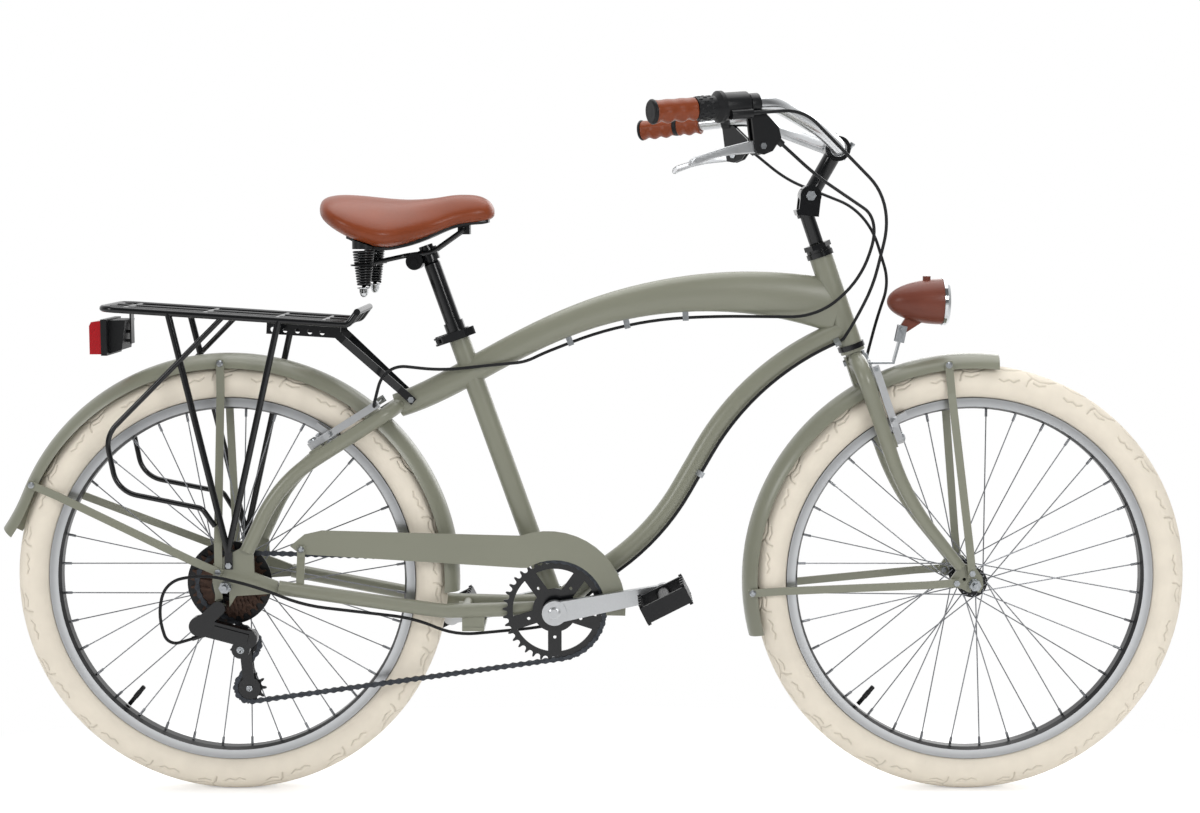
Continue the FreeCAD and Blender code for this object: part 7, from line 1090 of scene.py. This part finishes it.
class CRUISER_OT_lamp_finish(bpy.types.Operator):
    """Finish the headlight and the tail light."""

    bl_idname = "cruiser.lamp_finish"
    bl_label = "Lights"

    def execute(self, context):
        paint("headlight_shell", finish("shell"))
        paint("headlight_bezel", finish("chrome"))
        paint("headlight_lens", finish("clear_lens"))
        paint("headlight_bracket", finish("zinc"))
        paint("tail_light_lens", finish("red_lens"))
        paint("tail_light_housing", finish("moulded"))
        return {"FINISHED"}


CAMERA_X = 0.009
CAMERA_Z = 0.9115
CAMERA_PITCH = math.radians(90 - 5.89)
LENS = 58.6
SENSOR = 36
WORLD_LIGHT = 0.55
ROOM_LIGHT = 0.16
ROOM_EDGES = (-0.3, 0.6)
FLOOR_LIFT = 0.34
FLOOR_REACH = 12
FLOOR_FADE = (1.3, 0.5)
FADE_START = 0.55
# Name, place, aim, width and power of each soft lamp
LAMPS = [("overhead", (0.0, 0.4, 3.2), (0, 0, 0.4), 3.4, 62),
         ("front", (1.6, -3.2, 2.0), (0.2, 0, 0.5), 1.3, 34),
         ("side", (-3.0, -2.4, 1.8), (-0.2, 0, 0.5), 1.2, 24),
         ("back", (1.6, 2.8, 1.9), (0, 0, 0.6), 2.4, 30)]


def seen_ray(tree, path):
    """1 for the rays that see a white surround: the camera's, and those that pass through a lens."""
    either = add(tree, "ShaderNodeMath", {"operation": "MAXIMUM"},
                 {0: path["Is Camera Ray"], 1: path["Is Transmission Ray"]})
    return either.outputs["Value"]


class CRUISER_OT_stage(bpy.types.Operator):
    """Make the pale floor, the white surround, the soft lamps and the camera."""

    bl_idname = "cruiser.stage"
    bl_label = "Stage"

    def execute(self, context):
        scene = context.scene
        scene.view_settings.view_transform = "Standard"
        world = bpy.data.worlds.new("white_surround")
        tree = bare_tree(world)
        place = add(tree, "ShaderNodeTexCoord").outputs["Generated"]
        way = add(tree, "ShaderNodeSeparateXYZ", links={"Vector": place})
        room = {"From Min": ROOM_EDGES[0], "From Max": ROOM_EDGES[1], "To Min": ROOM_LIGHT}
        mirror = add(tree, "ShaderNodeMapRange", room, {"Value": way.outputs["Y"]})
        path = add(tree, "ShaderNodeLightPath").outputs
        glossy = add(tree, "ShaderNodeMapRange", {"To Min": WORLD_LIGHT},
                     {"Value": path["Is Glossy Ray"], "To Max": mirror.outputs["Result"]})
        level = add(tree, "ShaderNodeMapRange", links={"Value": seen_ray(tree, path),
                                                       "To Min": glossy.outputs["Result"]})
        back = add(tree, "ShaderNodeBackground", {"Color": WHITE}, {"Strength": level.outputs["Result"]})
        add(tree, "ShaderNodeOutputWorld", links={"Surface": back.outputs["Background"]})
        scene.world = world
        corners = [(east * FLOOR_REACH, north * FLOOR_REACH, 0)
                   for east, north in ((-1, -1), (1, -1), (1, 1), (-1, 1))]
        floor = piece("floor", corners, [(0, 1, 2, 3)], self.floor_finish(), smooth=False)
        for name, spot, aim, wide, power in LAMPS:
            light = bpy.data.lights.new(name, "AREA")
            light.shape = "DISK"
            light.size = wide
            light.energy = power
            lamp = bpy.data.objects.new(name, light)
            lamp.location = spot
            lamp.rotation_euler = (Vector(aim) - Vector(spot)).to_track_quat("-Z", "Y").to_euler()
            scene.collection.objects.link(lamp)
        view = bpy.data.cameras.new("camera")
        view.lens = LENS
        view.sensor_width = SENSOR
        view.dof.use_dof = False
        camera = bpy.data.objects.new("camera", view)
        camera.location = (CAMERA_X, -sizes().camera_distance, CAMERA_Z)
        camera.rotation_euler = (CAMERA_PITCH, 0, 0)
        scene.collection.objects.link(camera)
        scene.camera = camera
        return {"FINISHED"}

    def floor_finish(self):
        """Matt seamless paper: pale and even, lifted to white for the camera, and shaded by the bicycle."""
        made = bpy.data.materials.new("seamless_paper")
        tree = bare_tree(made)
        seen = seen_ray(tree, add(tree, "ShaderNodeLightPath").outputs)
        spot = add(tree, "ShaderNodeNewGeometry").outputs["Position"]
        oval = add(tree, "ShaderNodeMapping", {"Scale": (1 / FLOOR_FADE[0], 1 / FLOOR_FADE[1], 1)},
                   {"Vector": spot})
        far = add(tree, "ShaderNodeVectorMath", {"operation": "LENGTH"}, {"Vector": oval.outputs["Vector"]})
        fade = add(tree, "ShaderNodeMapRange", {"interpolation_type": "SMOOTHSTEP", "From Min": FADE_START},
                   {"Value": far.outputs["Value"], "To Max": seen})
        lift = add(tree, "ShaderNodeMapRange", {"To Max": FLOOR_LIFT}, {"Value": seen})
        paper = add(tree, "ShaderNodeBsdfDiffuse", {"Color": hue("floor")})
        glow = add(tree, "ShaderNodeEmission", {"Color": WHITE}, {"Strength": lift.outputs["Result"]})
        white = add(tree, "ShaderNodeEmission", {"Color": WHITE, "Strength": 1.0})
        near = add(tree, "ShaderNodeAddShader",
                   links={0: paper.outputs["BSDF"], 1: glow.outputs["Emission"]})
        whole = add(tree, "ShaderNodeMixShader",
                    links={0: fade.outputs["Result"], 1: near.outputs["Shader"],
                           2: white.outputs["Emission"]})
        add(tree, "ShaderNodeOutputMaterial", links={"Surface": whole.outputs["Shader"]})
        return made


PIECES = [CRUISER_OT_stage, CRUISER_OT_tyres, CRUISER_OT_saddle, CRUISER_OT_springs, CRUISER_OT_grips,
          CRUISER_OT_shifter_ribs, CRUISER_OT_screws, CRUISER_OT_cables, CRUISER_OT_chain,
          CRUISER_OT_frame_finish, CRUISER_OT_wheel_finish, CRUISER_OT_drive_finish,
          CRUISER_OT_control_finish, CRUISER_OT_lamp_finish]


class CRUISER_PT_panel(bpy.types.Panel):
    """Sidebar panel that lists the bicycle's pieces, sizes and colours."""

    bl_idname = "CRUISER_PT_panel"
    bl_label = "Beach cruiser"
    bl_space_type = "VIEW_3D"
    bl_region_type = "UI"
    bl_category = "Cruiser"

    def draw(self, context):
        for group in (context.scene.cruiser_sizes, context.scene.cruiser_colours):
            for name in group.bl_rna.properties.keys():
                if name not in ("rna_type", "name"):
                    self.layout.prop(group, name)
        for made in PIECES:
            self.layout.operator(made.bl_idname)


CLASSES = [CruiserColours, CruiserSizes, *PIECES, CRUISER_PT_panel]


def register():
    """Register the classes and hang the settings on the scene."""
    for made in CLASSES:
        bpy.utils.register_class(made)
    bpy.types.Scene.cruiser_colours = bpy.props.PointerProperty(type=CruiserColours)
    bpy.types.Scene.cruiser_sizes = bpy.props.PointerProperty(type=CruiserSizes)


def unregister():
    """Take the settings off the scene and unregister the classes."""
    del bpy.types.Scene.cruiser_sizes
    del bpy.types.Scene.cruiser_colours
    for made in reversed(CLASSES):
        bpy.utils.unregister_class(made)


def main():
    """Build every piece in order."""
    register()
    for made in PIECES:
        group, name = made.bl_idname.split(".")
        getattr(getattr(bpy.ops, group), name)()


if __name__ == "__main__":
    main()
